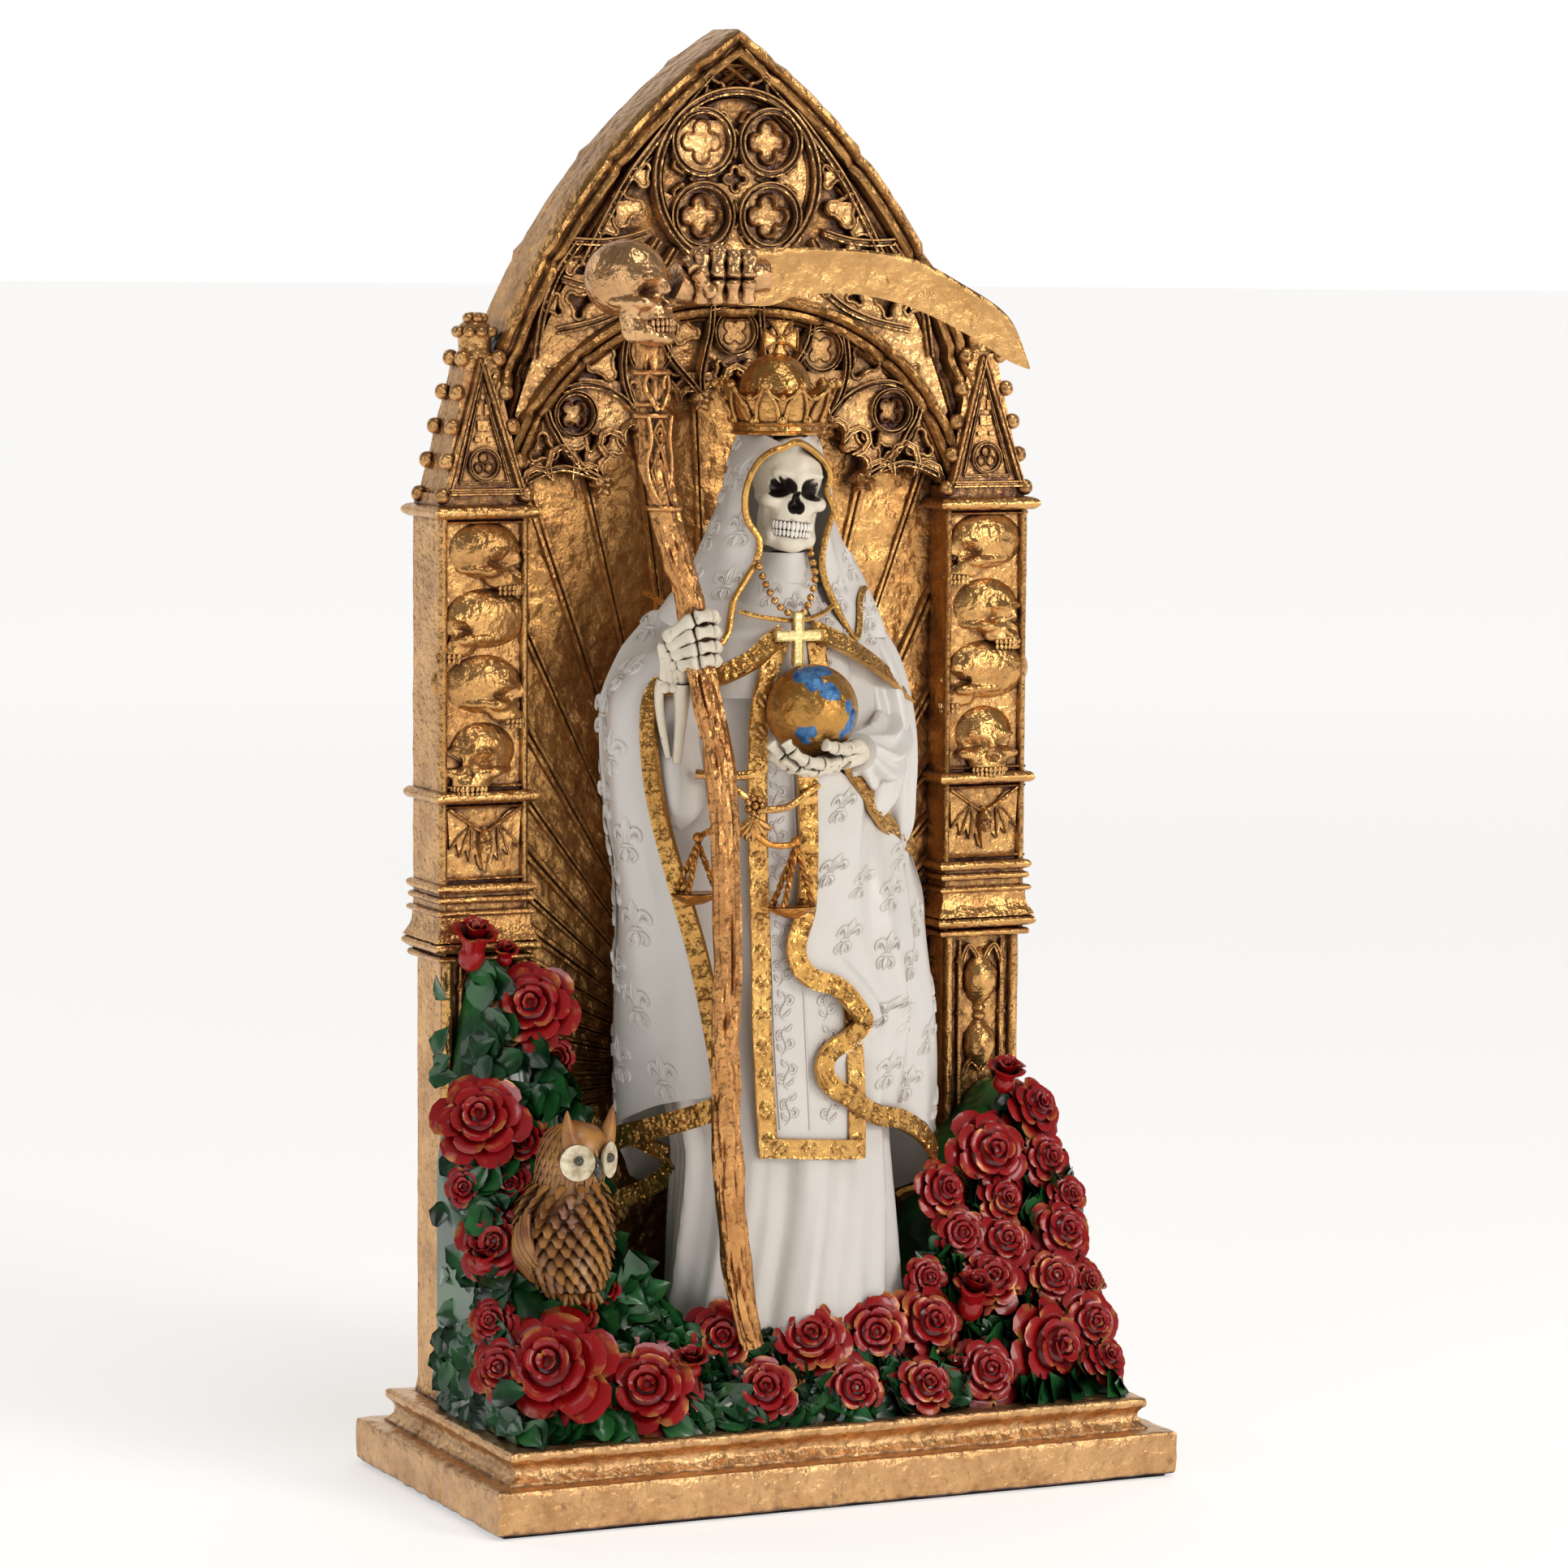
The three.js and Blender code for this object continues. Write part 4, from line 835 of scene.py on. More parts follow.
def pinnacle(side):
    """A wedge-shaped spire: a gable frame in front, crockets up its edges, two rings of beads on top."""
    foot, top = 354.5, 403
    profile = [(0, foot)] + [(9.8 * k / 12, foot + (top - foot) * k / 12) for k in range(13)]

    def place(u, v):
        inset, height = profile[round(v * (len(profile) - 1))]
        share, along = divmod(u * 4 % 4, 1)
        lean = inset / 9.8
        x0, x1 = pillar_x - 15 + inset, pillar_x + 15 - inset
        y0, y1 = pillar_front + 1.5 + 3.5 * lean, wall_back - 1 - 8 * lean
        corners = ((x0, y0), (x1, y0), (x1, y1), (x0, y1))
        start, end = corners[int(share)], corners[(int(share) + 1) % 4]
        return Vector((
            start[0] + (end[0] - start[0]) * along, start[1] + (end[1] - start[1]) * along, height))
    forms = [hammered(closed(grid(40, len(profile) - 1, place)), 0.35, 2.6)]

    def lean_back(form):
        for corner in form.verts:
            corner.co.y += 3.8 * max(0, corner.co.z - foot) / (top - foot)
        return form
    front = pillar_front + 2
    for wide, rise, inset in ((2.6, 2.8, 0.8), (1.2, 1.8, 3.9)):
        sides = [
            Vector((pillar_x - 15.2 + inset * 1.5, foot + inset)),
            Vector((pillar_x, top + 1 - inset * 2.6)),
            Vector((pillar_x + 15.2 - inset * 1.5, foot + inset))]
        for a, b in ((0, 1), (1, 2), (2, 0)):
            line = [sides[a].lerp(sides[b], k / 8) for k in range(9)]
            forms.append(lean_back(moulding(line, rib(wide, rise), front)))
    forms.append(lean_back(moulding(
        circle(pillar_x, foot + 10.4, 5.5, 28), rib(1.5, 2.4), front, loop=True)))
    for k in range(3):
        turn = pi / 2 + tau * k / 3
        at = (pillar_x + 2.35 * cos(turn), foot + 10.4 + 2.35 * sin(turn))
        forms.append(lean_back(moulding(circle(*at, 1.75, 14), roll(0.8, 1.8), front, loop=True)))
    for rise, wide, high in ((18.6, 2, 1.4), (22.4, 4.4, 3.4), (28, 1.5, 3.6), (33.4, 1.1, 3.6)):
        for step_x in ((-2.4, 2.4) if rise in (18.6, 28) else (0,)):
            at = pillar_x + step_x * (1 if rise < 20 else 0.62)
            ring = [
                (at - wide / 2, foot + rise), (at + wide / 2, foot + rise),
                (at + wide / 2, foot + rise + high), (at - wide / 2, foot + rise + high)]
            forms.append(lean_back(plate(ring, front - 1.6, front + 2)))
    for k in range(5):
        t = k / 4
        half, z = 16 - 9.2 * t, foot - 0.6 + (top - foot) * t
        near, far = pillar_front + 1.6 + 4 * t, wall_back - 4 - 7 * t
        for x, y in ((-half, near), (half, near), (half, far), (-half, far)):
            forms.append(crocket(pillar_x + x, y, z))
    y = pillar_front + 11
    forms.append(turned(
        [(6.2, top - 1), (6.7, top + 0.5), (5.8, top + 2), (6, top + 6), (6.4, top + 7), (5.6, top + 11),
         (3.6, top + 12.5), (2.2, top + 15.5)], pillar_x, y, 16))
    for count, ring, size, z in ((9, 6.4, 2.15, top + 8.6), (5, 2.9, 2, top + 13.4)):
        for k in range(count):
            turn = tau * k / count
            forms.append(bead(pillar_x + ring * sin(turn), y - ring * cos(turn), z, size))
    return mirrored(forms) if side < 0 else forms


def crocket(x, y, z):
    """A curled leaf bud, drawn as a dimpled knob."""
    form = bead(0, 0, 0, 1, 3)
    for corner in form.verts:
        way = corner.co.copy()
        dimple = 1 - 0.34 * exp(-((abs(way.x) - 0.55) ** 2 + (way.z - 0.1) ** 2) / 0.09)
        corner.co = Vector((x, y, z)) + way * 3 * dimple
    return form


gilt_piers = gilt(
    "gilt_resin_piers", light="#E0AC6A", deep="#9A683A", wash_and_shade="#44150A", rough=0.24, dent=2.8,
    reach=0.0045)
casting("shrine_pillars", pier(-1) + pier(1), gilt_piers, "shrine")
casting("shrine_pinnacles", [form for side in (-1, 1) for form in pinnacle(side)],
        gilt("gilt_resin_pinnacles", light="#E2AE6E", deep="#98643A", wash_and_shade="#44150A", rough=0.27, dent=2.4,
             reach=0.004), "shrine")

# Robe and sleeves of the figure: one smooth casting in pearl white. Soft folds run down the robe and
# deepen towards its hem; each wide sleeve is a sack of cloth gathered at the elbow.
figure_x, figure_y = -1, 3
robe_levels = [
    (28.6, 47, 34, 2, -10), (75, 43, 30, 2, -10), (120, 40, 28, 2, -8), (165, 44, 30, 0, -1),
    (210, 49, 29, -1, -0.5), (255, 50, 29, -1, 0), (300, 42, 24, -1, 0), (322, 20, 15, -1, 0)]


def pearl(name, tint="#E4DFD8", shade_tint="#B9ADA3", rough=0.34):
    """Pearl white paint on resin: mica flakes give a soft cool sheen, and painted shade turns the hollows
    warm grey.
    """
    material, shader, space = finish_named(
        name, Roughness=rough, IOR=1.5, Coat_Weight=0.35, Coat_Roughness=0.28, Sheen_Weight=0.12)
    # Painted shade: ambient occlusion mixes the grey shade tint into the white in hollows and between
    # parts.
    hollow = node(material, "AmbientOcclusion", {"Distance": 0.005}, samples=8)
    depth = node(material, "MapRange", {"Value": hollow.outputs["AO"], "From Min": 0.25, "From Max": 0.8})
    cloud = node(material, "TexNoise", {"Vector": space, "Scale": 120, "Detail": 3})
    base = node(
        material, "Mix", {"Factor": depth, "A": paint(shade_tint), "B": paint(tint)}, data_type="RGBA")
    tone = node(material, "MapRange", {"Value": cloud, "To Min": 0.95, "To Max": 1.04})
    mixed = node(material, "HueSaturation", {"Color": base, "Value": tone})
    brushed = node(material, "TexNoise", {"Vector": space, "Scale": 420, "Detail": 3})
    bump = node(material, "Bump", {"Height": brushed, "Strength": 0.16, "Distance": 0.0006})
    feed(shader, {"Base Color": mixed, "Normal": bump})
    return material


def station(stations, height):
    """The entries of a list of (height, ...) stations at a height, on a soft curve between them."""
    last = len(stations) - 2
    i = max(0, min(last, next((k for k, entry in enumerate(stations) if entry[0] > height), last + 1) - 1))
    span = stations[i + 1][0] - stations[i][0]
    t = max(0, min(1, (height - stations[i][0]) / span))
    return soft(*(Vector(stations[max(0, min(last + 1, i + j))][1:]) for j in (-1, 0, 1, 2)), t)


def robe():
    low, high = robe_levels[0][0], robe_levels[-1][0]

    def place(u, v):
        height = low + (high - low) * v
        level = [Vector((entry[1], entry[2], entry[3], entry[4])) for entry in robe_levels]
        i = max(0, min(len(level) - 2, sum(entry[0] <= height for entry in robe_levels) - 1))
        t = (height - robe_levels[i][0]) / (robe_levels[i + 1][0] - robe_levels[i][0])
        a, b, x, y = level[i].lerp(level[i + 1], t)
        turn = tau * u
        drop = max(0, 1 - (height - low) / 175)
        sway = turn + 0.12 * sin(height / 26)
        fold = (2.2 * cos(9 * sway + 0.6) + 1.2 * cos(15 * sway + height / 60)
                + 0.8 * cos(27 * sway)) * drop ** 0.6
        return Vector((x + (a + fold) * sin(turn), y - (b + fold) * cos(turn), height))
    return closed(grid(160, 60, place))


def sack(line, sizes, folds, depth, sides=44, rows=36):
    """A sleeve: a soft tube along a line, with folds that run down its length."""
    path = smooth_line(line, rows)
    wide = smooth_line([(a, b, 0) for a, b in sizes], rows)

    def size(t, turn):
        k = round(t * rows)
        fold = depth * cos(folds * turn + 2.2 * sin(t * 4)) * sin(pi * t) ** 0.5
        flat = hypot(wide[k].x * cos(turn), wide[k].y * sin(turn))
        return max(0.05, flat + fold)
    return limb(path, size, sides)


sleeves = [
    sack([(-36, -4, 296), (-43, -10, 285), (-46.5, -16, 270), (-46, -19, 255), (-44, -20, 244),
          (-43, -20, 237.5)], [(10, 10), (10.5, 10), (9.5, 10.5), (9, 10.5), (7.5, 8.5), (0.5, 0.5)], 4,
         0.9),
    sack([(34, 0, 304), (38, -3, 292), (40, -6, 277), (40.5, -8, 262), (42, -8, 247), (45.5, -7.5, 233),
          (48, -7, 222.5)],
         [(7, 9), (11, 11), (12.5, 12), (12.5, 12.5), (10.5, 11), (6.5, 7.5), (0.5, 0.5)], 7, 1.1, 64),
    sack([(42, -6, 272), (36, -15, 265), (29, -24, 261.5), (23, -30, 262), (18.5, -35, 264)],
         [(9, 9), (12, 12), (11, 11.5), (9, 9), (7, 7.2)], 9, 1.5, 72),
    sack([(40, -12, 262), (34, -20, 252), (32, -22, 244), (33, -21, 237)],
         [(9, 9), (9, 8), (6.5, 6), (0.5, 0.5)], 4, 0.7)]
pearl_smooth = pearl("pearl_resin_smooth")
casting("figure_robe", [robe(), *sleeves], pearl_smooth, "figure")

# Mantle, veil and chest: sheets of cloth in the same casting, raised all over with fleur-de-lis.
# The mantle is open for both arms, and its right front falls to the hem in a cascade of folds.
mantle_left = [
    [(144.4, -37.7, -38), (164.7, -40.2, -35), (181.7, -42.5, -32), (198.8, -45.6, -29),
     (227.3, -52.3, -24), (244.4, -55.7, -21), (258.6, -57.4, -19), (272.9, -58, -18), (287, -55.1, -17),
     (292, -43, -25.5), (295.5, -35.6, -31.5), (301, -24.5, -34.5), (309.9, -13.4, -35.5),
     (312, -8, -36)],
    [(139, -52, -18), (180, -54, -13), (215, -58, -10), (250, -62.5, -8), (283, -63, -6), (296, -54, -8),
     (308, -38, -13), (316, -24, -18), (320, -14, -22)],
    [(130, -58, 2), (160, -57.5, 6), (190, -57, 6), (215, -57, 7), (250, -62, 8), (283, -62, 8),
     (300, -54, 8), (311, -45, 5), (318, -34, 1), (325, -20, -4)]]
mantle_back = [
    mantle_left[-1],
    [(108, -44, 20), (140, -44, 26), (185, -43, 29), (225, -44, 30), (258, -46, 30), (284, -45, 28),
     (308, -34, 20), (326, -16, 6)],
    [(97, -1, 33), (140, -1, 35), (200, -1, 35), (258, -1, 35), (284, -1, 33), (308, -1, 26),
     (328, -2, 12)],
    [(94, 50, 22), (140, 50, 28), (185, 47, 29), (225, 45, 30), (258, 44, 30), (284, 43, 28),
     (306, 32, 20), (326, 11, 6)],
    [(103, 66, 4), (120, 70, 5), (135, 71, 6), (162, 69, 6), (185, 66, 6), (207, 65, 6), (225, 59, 6),
     (243, 55, 7), (262, 53, 7), (279, 52, 6), (292, 49, 5), (303, 42, 1), (312, 30, -4), (325, 15, -8)]]
mantle_right = [
    [*mantle_back[-1][:5], (207, 64.5, 6), (224, 58, 5)],
    [(123.5, 58, -12), (140, 58.5, -14), (162, 57, -18), (185, 54, -20), (207, 52, -18), (225, 50, -13)],
    [(132.8, 42.2, -24), (150, 44, -26), (170, 43, -28), (190, 40, -29), (210, 38, -26), (233, 37, -21)],
    [(137, 28, -30), (152, 31, -31), (172, 33, -33), (190, 28, -34), (215, 26, -32), (241, 28, -27)],
    [(142.3, 19.6, -34), (152, 20, -33.5), (160, 24, -35), (167, 29, -35), (175, 27, -35.5),
     (184, 19, -36.5), (192, 12, -37), (208, 12, -36.5), (232, 14, -35.5), (254, 17, -33)],
    [(149.1, 7.2, -38), (154.9, 7.2, -38), (160.1, 16.5, -37), (166.9, 24, -36), (174.5, 20.3, -37),
     (183.8, 11.1, -38), (187.4, -0.5, -39), (194.9, -5.4, -39), (209, 0.1, -38), (226.3, 0.9, -38),
     (243.7, 0.7, -38), (264, 0, -38)]]
mantle_cape = [
    [(279, 53, 5), (292, 50, 4), (303, 42, 1), (312, 30, -4), (325, 15, -8)],
    [(283, 51, -4), (293, 48, -4), (303, 39, -6), (312, 27, -9), (324, 13, -12)],
    [(292.2, 39, -14), (298, 37, -13), (306, 31, -14), (313, 22, -16), (323, 11, -18)],
    [(300.6, 24.5, -24), (305, 22.5, -23), (311, 17, -23), (321, 8, -23)],
    [(306.9, 11.6, -31), (310, 10.5, -30), (315, 7, -28), (320, 4, -26)],
    [(311.2, 0.7, -34), (313, 0.7, -33.5), (316, 0, -31), (319, -1, -28)]]
veil_ribs = [
    [(303.8, -36.5, -34), (309.1, -31, -34), (319.5, -28.7, -33), (327.6, -23.3, -32),
     (332.9, -19.9, -32), (340, -18.6, -31), (350.1, -23, -31), (358.7, -24, -32), (367.5, -21, -34),
     (371.3, -17, -36), (373.4, -11.4, -36.5)],
    [(307, -43, -24), (330, -31.5, -22), (345, -28, -23), (358, -25.5, -22), (368, -21.5, -22),
     (376.5, -13, -21)],
    [(314, -46, -6), (328, -34, -4), (340, -28.5, -5), (357, -22.4, -8), (368, -20, -9),
     (377, -16.8, -10)], [(318, -2, 22), (330, -2, 14), (350, -2, 8), (368, -2, 5), (377, -2.6, 4)],
    [(304, 41, -4), (316, 36.5, -4), (327, 31.5, -4), (340, 22.5, -6), (355, 16.8, -8), (368, 14.3, -9),
     (377, 11.6, -10)],
    [(303, 31, -14), (311, 28, -17), (325, 20, -20), (340, 14.5, -21), (355, 14.3, -21), (367, 12, -21),
     (376.5, 6, -21)],
    [(304, 21.2, -25), (313.7, 14.6, -26), (326.6, 8.3, -27), (337.3, 8.2, -27), (349.8, 12, -26),
     (354.2, 10.5, -26), (361.7, 11, -27), (369.4, 4.5, -31), (373, -2.9, -34), (374, -6.5, -36)]]
chest_levels = [(284, 27, 15), (296, 26, 15), (308, 22, 14), (320, 15, 13.5), (335, 9.5, 14.5)]
chest_ribs = [[(z, -4 + a * sin(turn), -19 + 0.08 * (z - 284) - b * cos(turn)) for z, a, b in chest_levels]
              for turn in [radians(angle) for angle in range(-100, 101, 25)]]


def outward(point):
    return Vector((point.x - figure_x, point.y - figure_y, 0)).normalized()


def hung(ribs, folds=None):
    """Cloth stretched over ribs of (height, x, y): gives the function that places u and v on it.
    folds(u, v) moves it outwards."""
    spans = len(ribs) - 1

    def at(u, v):
        knots = []
        for line in ribs:
            height = line[0][0] + (line[-1][0] - line[0][0]) * v
            place = station(line, height)
            knots.append(Vector((place.x, place.y, height)))
        i = max(0, min(int(u * spans), spans - 1))
        point = soft(*(knots[max(0, min(spans, i + j))] for j in (-1, 0, 1, 2)), u * spans - i)
        return point + outward(point) * folds(u, v) if folds else point
    return at


def sheet(at, columns, rows, thick=1.5):
    """A sheet of cloth with an outer and an inner face, which meet along its edges."""
    def place(u, v):
        share = 1 - abs(2 * v - 1)
        point = at(u, share)
        if v <= 0.5:
            return point
        return point - outward(point) * thick * min(1, 15 * min(u, 1 - u, share, 1 - share))
    return closed(grid(columns, 2 * rows, place))


petal_section = [
    (-1, -0.6), (-0.96, 0.7), (-0.78, 1), (-0.52, 0.5), (0, 0.62), (0.52, 0.5), (0.78, 1), (0.96, 0.7),
    (1, -0.6)]
round_section = [(-1, -0.6), (-0.88, 0.55), (-0.45, 0.95), (0, 1.05), (0.45, 0.95), (0.88, 0.55), (1, -0.6)]
fleur = [
    (petal_section, [(0, -1), (0, 2.2), (0, 5.2), (0, 9.4)], [0.5, 1.5, 2.1, 0.15]),
    (round_section, [(0, -0.6), (0, 2.5), (0, 6)], [0.5, 0.45, 0.1]),
    (round_section, [(-2.6, -1.7), (0, -1.3), (2.6, -1.7)], [0.5, 0.8, 0.5]),
    (petal_section, [(0, -2.4), (0, -5), (0, -8.4)], [0.6, 1.4, 0.2])]
for way in (-1, 1):
    fleur += [
        (petal_section,
         [(way * 0.6, -0.6), (way * 1.5, 2.4), (way * 3.6, 4.7), (way * 5.6, 3.6), (way * 6, 1.2),
          (way * 4.7, 0.3)], [0.6, 0.9, 1.2, 1, 0.8, 0.3]),
        (round_section, [(way * 2.6, 1), (way * 3.8, 2.3), (way * 4.3, 1.4)], [0.4, 0.5, 0.25]),
        (petal_section,
         [(way * 0.9, -2.6), (way * 2.8, -3.4), (way * 4, -5.3), (way * 3, -7.2), (way * 1.7, -6.3)],
         [0.5, 0.9, 0.8, 0.7, 0.3])]
scroll = [
    (round_section, [(-1.5, -8), (1.2, -4.5), (0.2, -0.5), (-1.6, 3), (0.4, 7)],
     [0.3, 0.55, 0.6, 0.55, 0.2]),
    (petal_section, [(0.6, -3), (3.2, -3.8), (4.2, -1.4), (2.6, 0), (1.5, -1.3)],
     [0.4, 0.9, 0.8, 0.7, 0.3]),
    (petal_section, [(-0.8, 1.5), (-3.4, 0.6), (-4.3, 3), (-2.6, 4.6), (-1.6, 3.2)],
     [0.4, 0.9, 0.8, 0.7, 0.3]), (petal_section, [(0, 4.2), (1.9, 5.4), (3.2, 8)], [0.4, 1.1, 0.15]),
    (petal_section, [(-0.2, -5.4), (-2.4, -4.2), (-3.8, -1.6)], [0.4, 1, 0.15])]


def raised(at, u, v, strokes, size=1, rise=0.75):
    """Raised strokes on cloth, drawn in millimetres round the place at u and v and bent to its form."""
    step = 0.01
    point = at(u, v)
    right = (at(u + step, v) - at(u - step, v)) / (2 * step)
    up = (at(u, v + step) - at(u, v - step)) / (2 * step)
    facing = right.cross(up).normalized()
    if facing.dot(outward(point)) < 0:
        facing = -facing
    level = Vector((0, 0, 1)).cross(facing).normalized()
    level = -level if level.dot(right) < 0 else level
    high = (up - right * (up.dot(right) / right.dot(right))).normalized()
    mass = (right.dot(right), right.dot(up), up.dot(up))
    spread = mass[0] * mass[2] - mass[1] ** 2
    forms = []
    for section, knots, wide in strokes:
        rows = 2 * (len(knots) - 1)
        line = smooth_line([(a * size, b * size, 0) for a, b in knots], rows)
        widths = smooth_line([(w * size, 0, 0) for w in wide], rows)

        def place(a, b, line=line, widths=widths, section=section, rows=rows):
            k = round(b * rows)
            along = (line[min(k + 1, rows)] - line[max(k - 1, 0)]).normalized()
            across, height = section[round(a * len(section)) % len(section)]
            reach = max(0.05, widths[k].x) * across
            x, y = line[k].x + along.y * reach, line[k].y - along.x * reach
            move = level * x + high * y
            du = (mass[2] * move.dot(right) - mass[1] * move.dot(up)) / spread
            dv = (mass[0] * move.dot(up) - mass[1] * move.dot(right)) / spread
            low = min(1, 3 * min(b, 1 - b) + 0.25)
            return at(u + du, v + dv) + facing * height * rise * size ** 0.5 * (low if height > 0 else 1)
        forms.append(closed(grid(len(section), rows, place)))
    return forms


def scattered(at, spots, size=1):
    return [form for u, v in spots for form in raised(at, u, v, fleur, size)]


left_cloth = hung(mantle_left, lambda u, v: 0.9 * sin(9 * u + 5 * v) * min(1, 4 * u))
back_cloth = hung(mantle_back, lambda u, v: 2.4 * sin(28 * u) * (1 - v) * sin(pi * u))
right_cloth = hung(mantle_right, lambda u, v: (
    (2 * sin(15 * u + 3.5 * v - 1) + 0.7 * sin(33 * u - 4 * v)) * sin(pi * min(1, 1.15 * u))))
cape_cloth = hung(mantle_cape)
veil_cloth = hung(veil_ribs, lambda u, v: 0.7 * cos(26 * u + 3 * v) * sin(pi * u))
chest_cloth = hung(chest_ribs)

mantle = [
    sheet(left_cloth, 46, 96), sheet(back_cloth, 70, 50), sheet(right_cloth, 76, 90),
    sheet(cape_cloth, 44, 26)]
mantle += scattered(left_cloth, [
    (0.42, 0.05), (0.86, 0.11), (0.6, 0.2), (0.94, 0.28), (0.5, 0.355), (0.84, 0.44), (0.44, 0.52),
    (0.86, 0.6), (0.52, 0.69), (0.9, 0.76), (0.6, 0.84), (0.86, 0.92)])
mantle += scattered(
    right_cloth,
    [(0.1, 0.16), (0.34, 0.11), (0.56, 0.12), (0.22, 0.33), (0.44, 0.34), (0.66, 0.3), (0.12, 0.52),
     (0.34, 0.56), (0.54, 0.55), (0.76, 0.52), (0.22, 0.76), (0.46, 0.77), (0.66, 0.74), (0.88, 0.68),
     (0.34, 0.95), (0.84, 0.9)], 0.86)
mantle += scattered(back_cloth, [((k + 0.5 * (row % 2) + 0.5) / 8, 0.08 + 0.115 * row)
                                 for row in range(7) for k in range(8 - row % 2)])
mantle += scattered(cape_cloth, [(0.15, 0.35), (0.38, 0.4), (0.6, 0.4), (0.8, 0.45)], 0.7)
pearl_raised = pearl("pearl_resin_raised", shade_tint="#C2B6AE")
casting("figure_mantle", mantle, pearl_raised, "figure")

brow = bead(0, 0, 0, 1, 4)
bmesh.ops.transform(
    brow, matrix=Matrix.Translation((-2.8, -9, 371.5)) @ Matrix.Diagonal((15, 14, 7, 1)),
    verts=brow.verts)
veil = [sheet(veil_cloth, 96, 60, 1.3), sheet(chest_cloth, 50, 30), brow]
veil += scattered(
    veil_cloth,
    [(0.1, 0.82), (0.25, 0.72), (0.09, 0.55), (0.24, 0.47), (0.08, 0.28), (0.26, 0.22), (0.15, 0.06),
     (0.92, 0.22), (0.78, 0.12), (0.76, 0.36), (0.4, 0.35), (0.5, 0.15), (0.6, 0.35), (0.33, 0.9),
     (0.5, 0.6), (0.66, 0.62), (0.7, 0.9)], 0.8)
veil += scattered(
    chest_cloth, [(0.5, 0.62), (0.36, 0.3), (0.63, 0.3), (0.5, 0.12), (0.33, 0.72), (0.67, 0.74)], 0.62)
casting("figure_veil", veil, pearl_raised, "figure")

# Gold braid and cords: cast on every edge of the mantle and round the scapular, then painted gold.
# The mantle's braid has pebbled squares between plain bars; the scapular's has small quatrefoils.


def pebbled(along, across):
    """Height of the mantle's braid: squares of small leaves and pebbles, plain bars, a rolled edge."""
    place = along % 8.4
    if abs(across) > 0.86:
        return 0.55
    if place > 6.3:
        return 0.42
    stone = noise.voronoi(Vector((along / 1.25, across * 2.9, 0.5)))[0]
    rim = 0.25 if min(place, 6.3 - place) < 0.5 else 0
    return 0.95 * min(1, 1.6 * (stone[1] - stone[0])) - 0.15 + rim


def quatrefoils(along, across):
    """Height of the scapular's braid: a sunk quatrefoil with a raised rim and eye every 11 mm."""
    x, y = (along % 11.2) - 5.6, across * 3.5
    if abs(across) > 0.84:
        return 0.5
    lobe = min(hypot(x - 1.5 * a, y - 1.5 * b) for a, b in ((1, 0), (-1, 0), (0, 1), (0, -1))) - 1.25
    return 0.15 + 0.55 * exp(-(lobe / 0.4) ** 2) + 0.5 * exp(-(hypot(x, y) / 0.6) ** 2)


def braid(knots, wide, pattern, side=0, tilt=0, forward=0, cells=0.62):
    """A ribbon of braid along a soft line. side moves it off the line by half its width to one hand;
    tilt and forward lean its face from straight outwards towards the top and the front."""
    rough = smooth_line(knots, 40 * len(knots))
    lengths = [0]
    for a, b in zip(rough, rough[1:]):
        lengths.append(lengths[-1] + (b - a).length)
    rows = max(4, round(lengths[-1] / cells))
    line, k = [], 0
    for row in range(rows + 1):
        while k < len(rough) - 2 and lengths[k + 1] < lengths[-1] * row / rows:
            k += 1
        share = (lengths[-1] * row / rows - lengths[k]) / max(1e-6, lengths[k + 1] - lengths[k])
        line.append(rough[k].lerp(rough[k + 1], share))
    section = [(-1, -0.8)] + [(-1 + k / 6, None) for k in range(13)] + [(1, -0.8)]

    def place(u, v):
        row = round(v * rows)
        tangent = (line[min(row + 2, rows)] - line[max(row - 2, 0)]).normalized()
        facing = (outward(line[row]) + Vector((0, -forward, tilt))).normalized()
        across = facing.cross(tangent).normalized()
        facing = tangent.cross(across)
        reach, height = section[round(u * len(section)) % len(section)]
        if height is None:
            height = 0.5 + pattern(lengths[-1] * v, reach)
        return line[row] + across * (reach + side) * wide / 2 + facing * height
    return closed(grid(len(section), rows, place))


def cord(knots, size, steps=None, sides=8):
    return limb(smooth_line(knots, steps or 6 * len(knots)), size, sides)


left_fall = [(x, y - 1, z) for z, x, y in mantle_left[0][:8]] + [(-56.5, -17.5, 284), (-53, -18, 291)]
left_collar = [
    (-53, -18, 291), (-46, -24, 291.8), (-42.6, -26.5, 292.5), (-35.6, -32.5, 295.3),
    (-30.6, -34.5, 297.6), (-24.5, -35.5, 301), (-19.1, -36.5, 306.1), (-13.4, -36.5, 309.9)]
right_collar = [
    (0.7, -35, 311.2), (11.6, -32, 306.9), (24.5, -25, 300.6), (39, -15, 292.2), (51.1, -5, 282.9)]
right_front = [
    (0, -38.8, 264), (0.7, -38.8, 243.7), (0.9, -38.8, 226.3), (0.1, -38.8, 209), (-4, -39.8, 196),
    (-0.5, -39.8, 188.4), (11.1, -38.8, 183.8), (20.3, -37.8, 174.5), (23.6, -36.8, 166.9),
    (16.5, -37.8, 159.6), (8.8, -38.8, 155.4), (8.4, -38.8, 149.5), (18.8, -36.8, 142.3),
    (29.2, -31.8, 136.2), (42.2, -25, 132.8), (57.9, -13, 123.5), (66.9, -3, 111), (61.6, 1, 100.2),
    (54.4, 3, 94.9)]
right_arm = [
    (9.5, -37, 263.5), (17, -34, 253), (28, -28, 240.4), (37, -21.5, 232.2), (46.5, -14, 225.7),
    (55, -4, 222)]
left_hem = [
    (-37.7, -39, 144.4), (-43.5, -31, 140.5), (-53.1, -17, 134.9), (-58.3, -2, 130.2), (-58, 8, 126)]
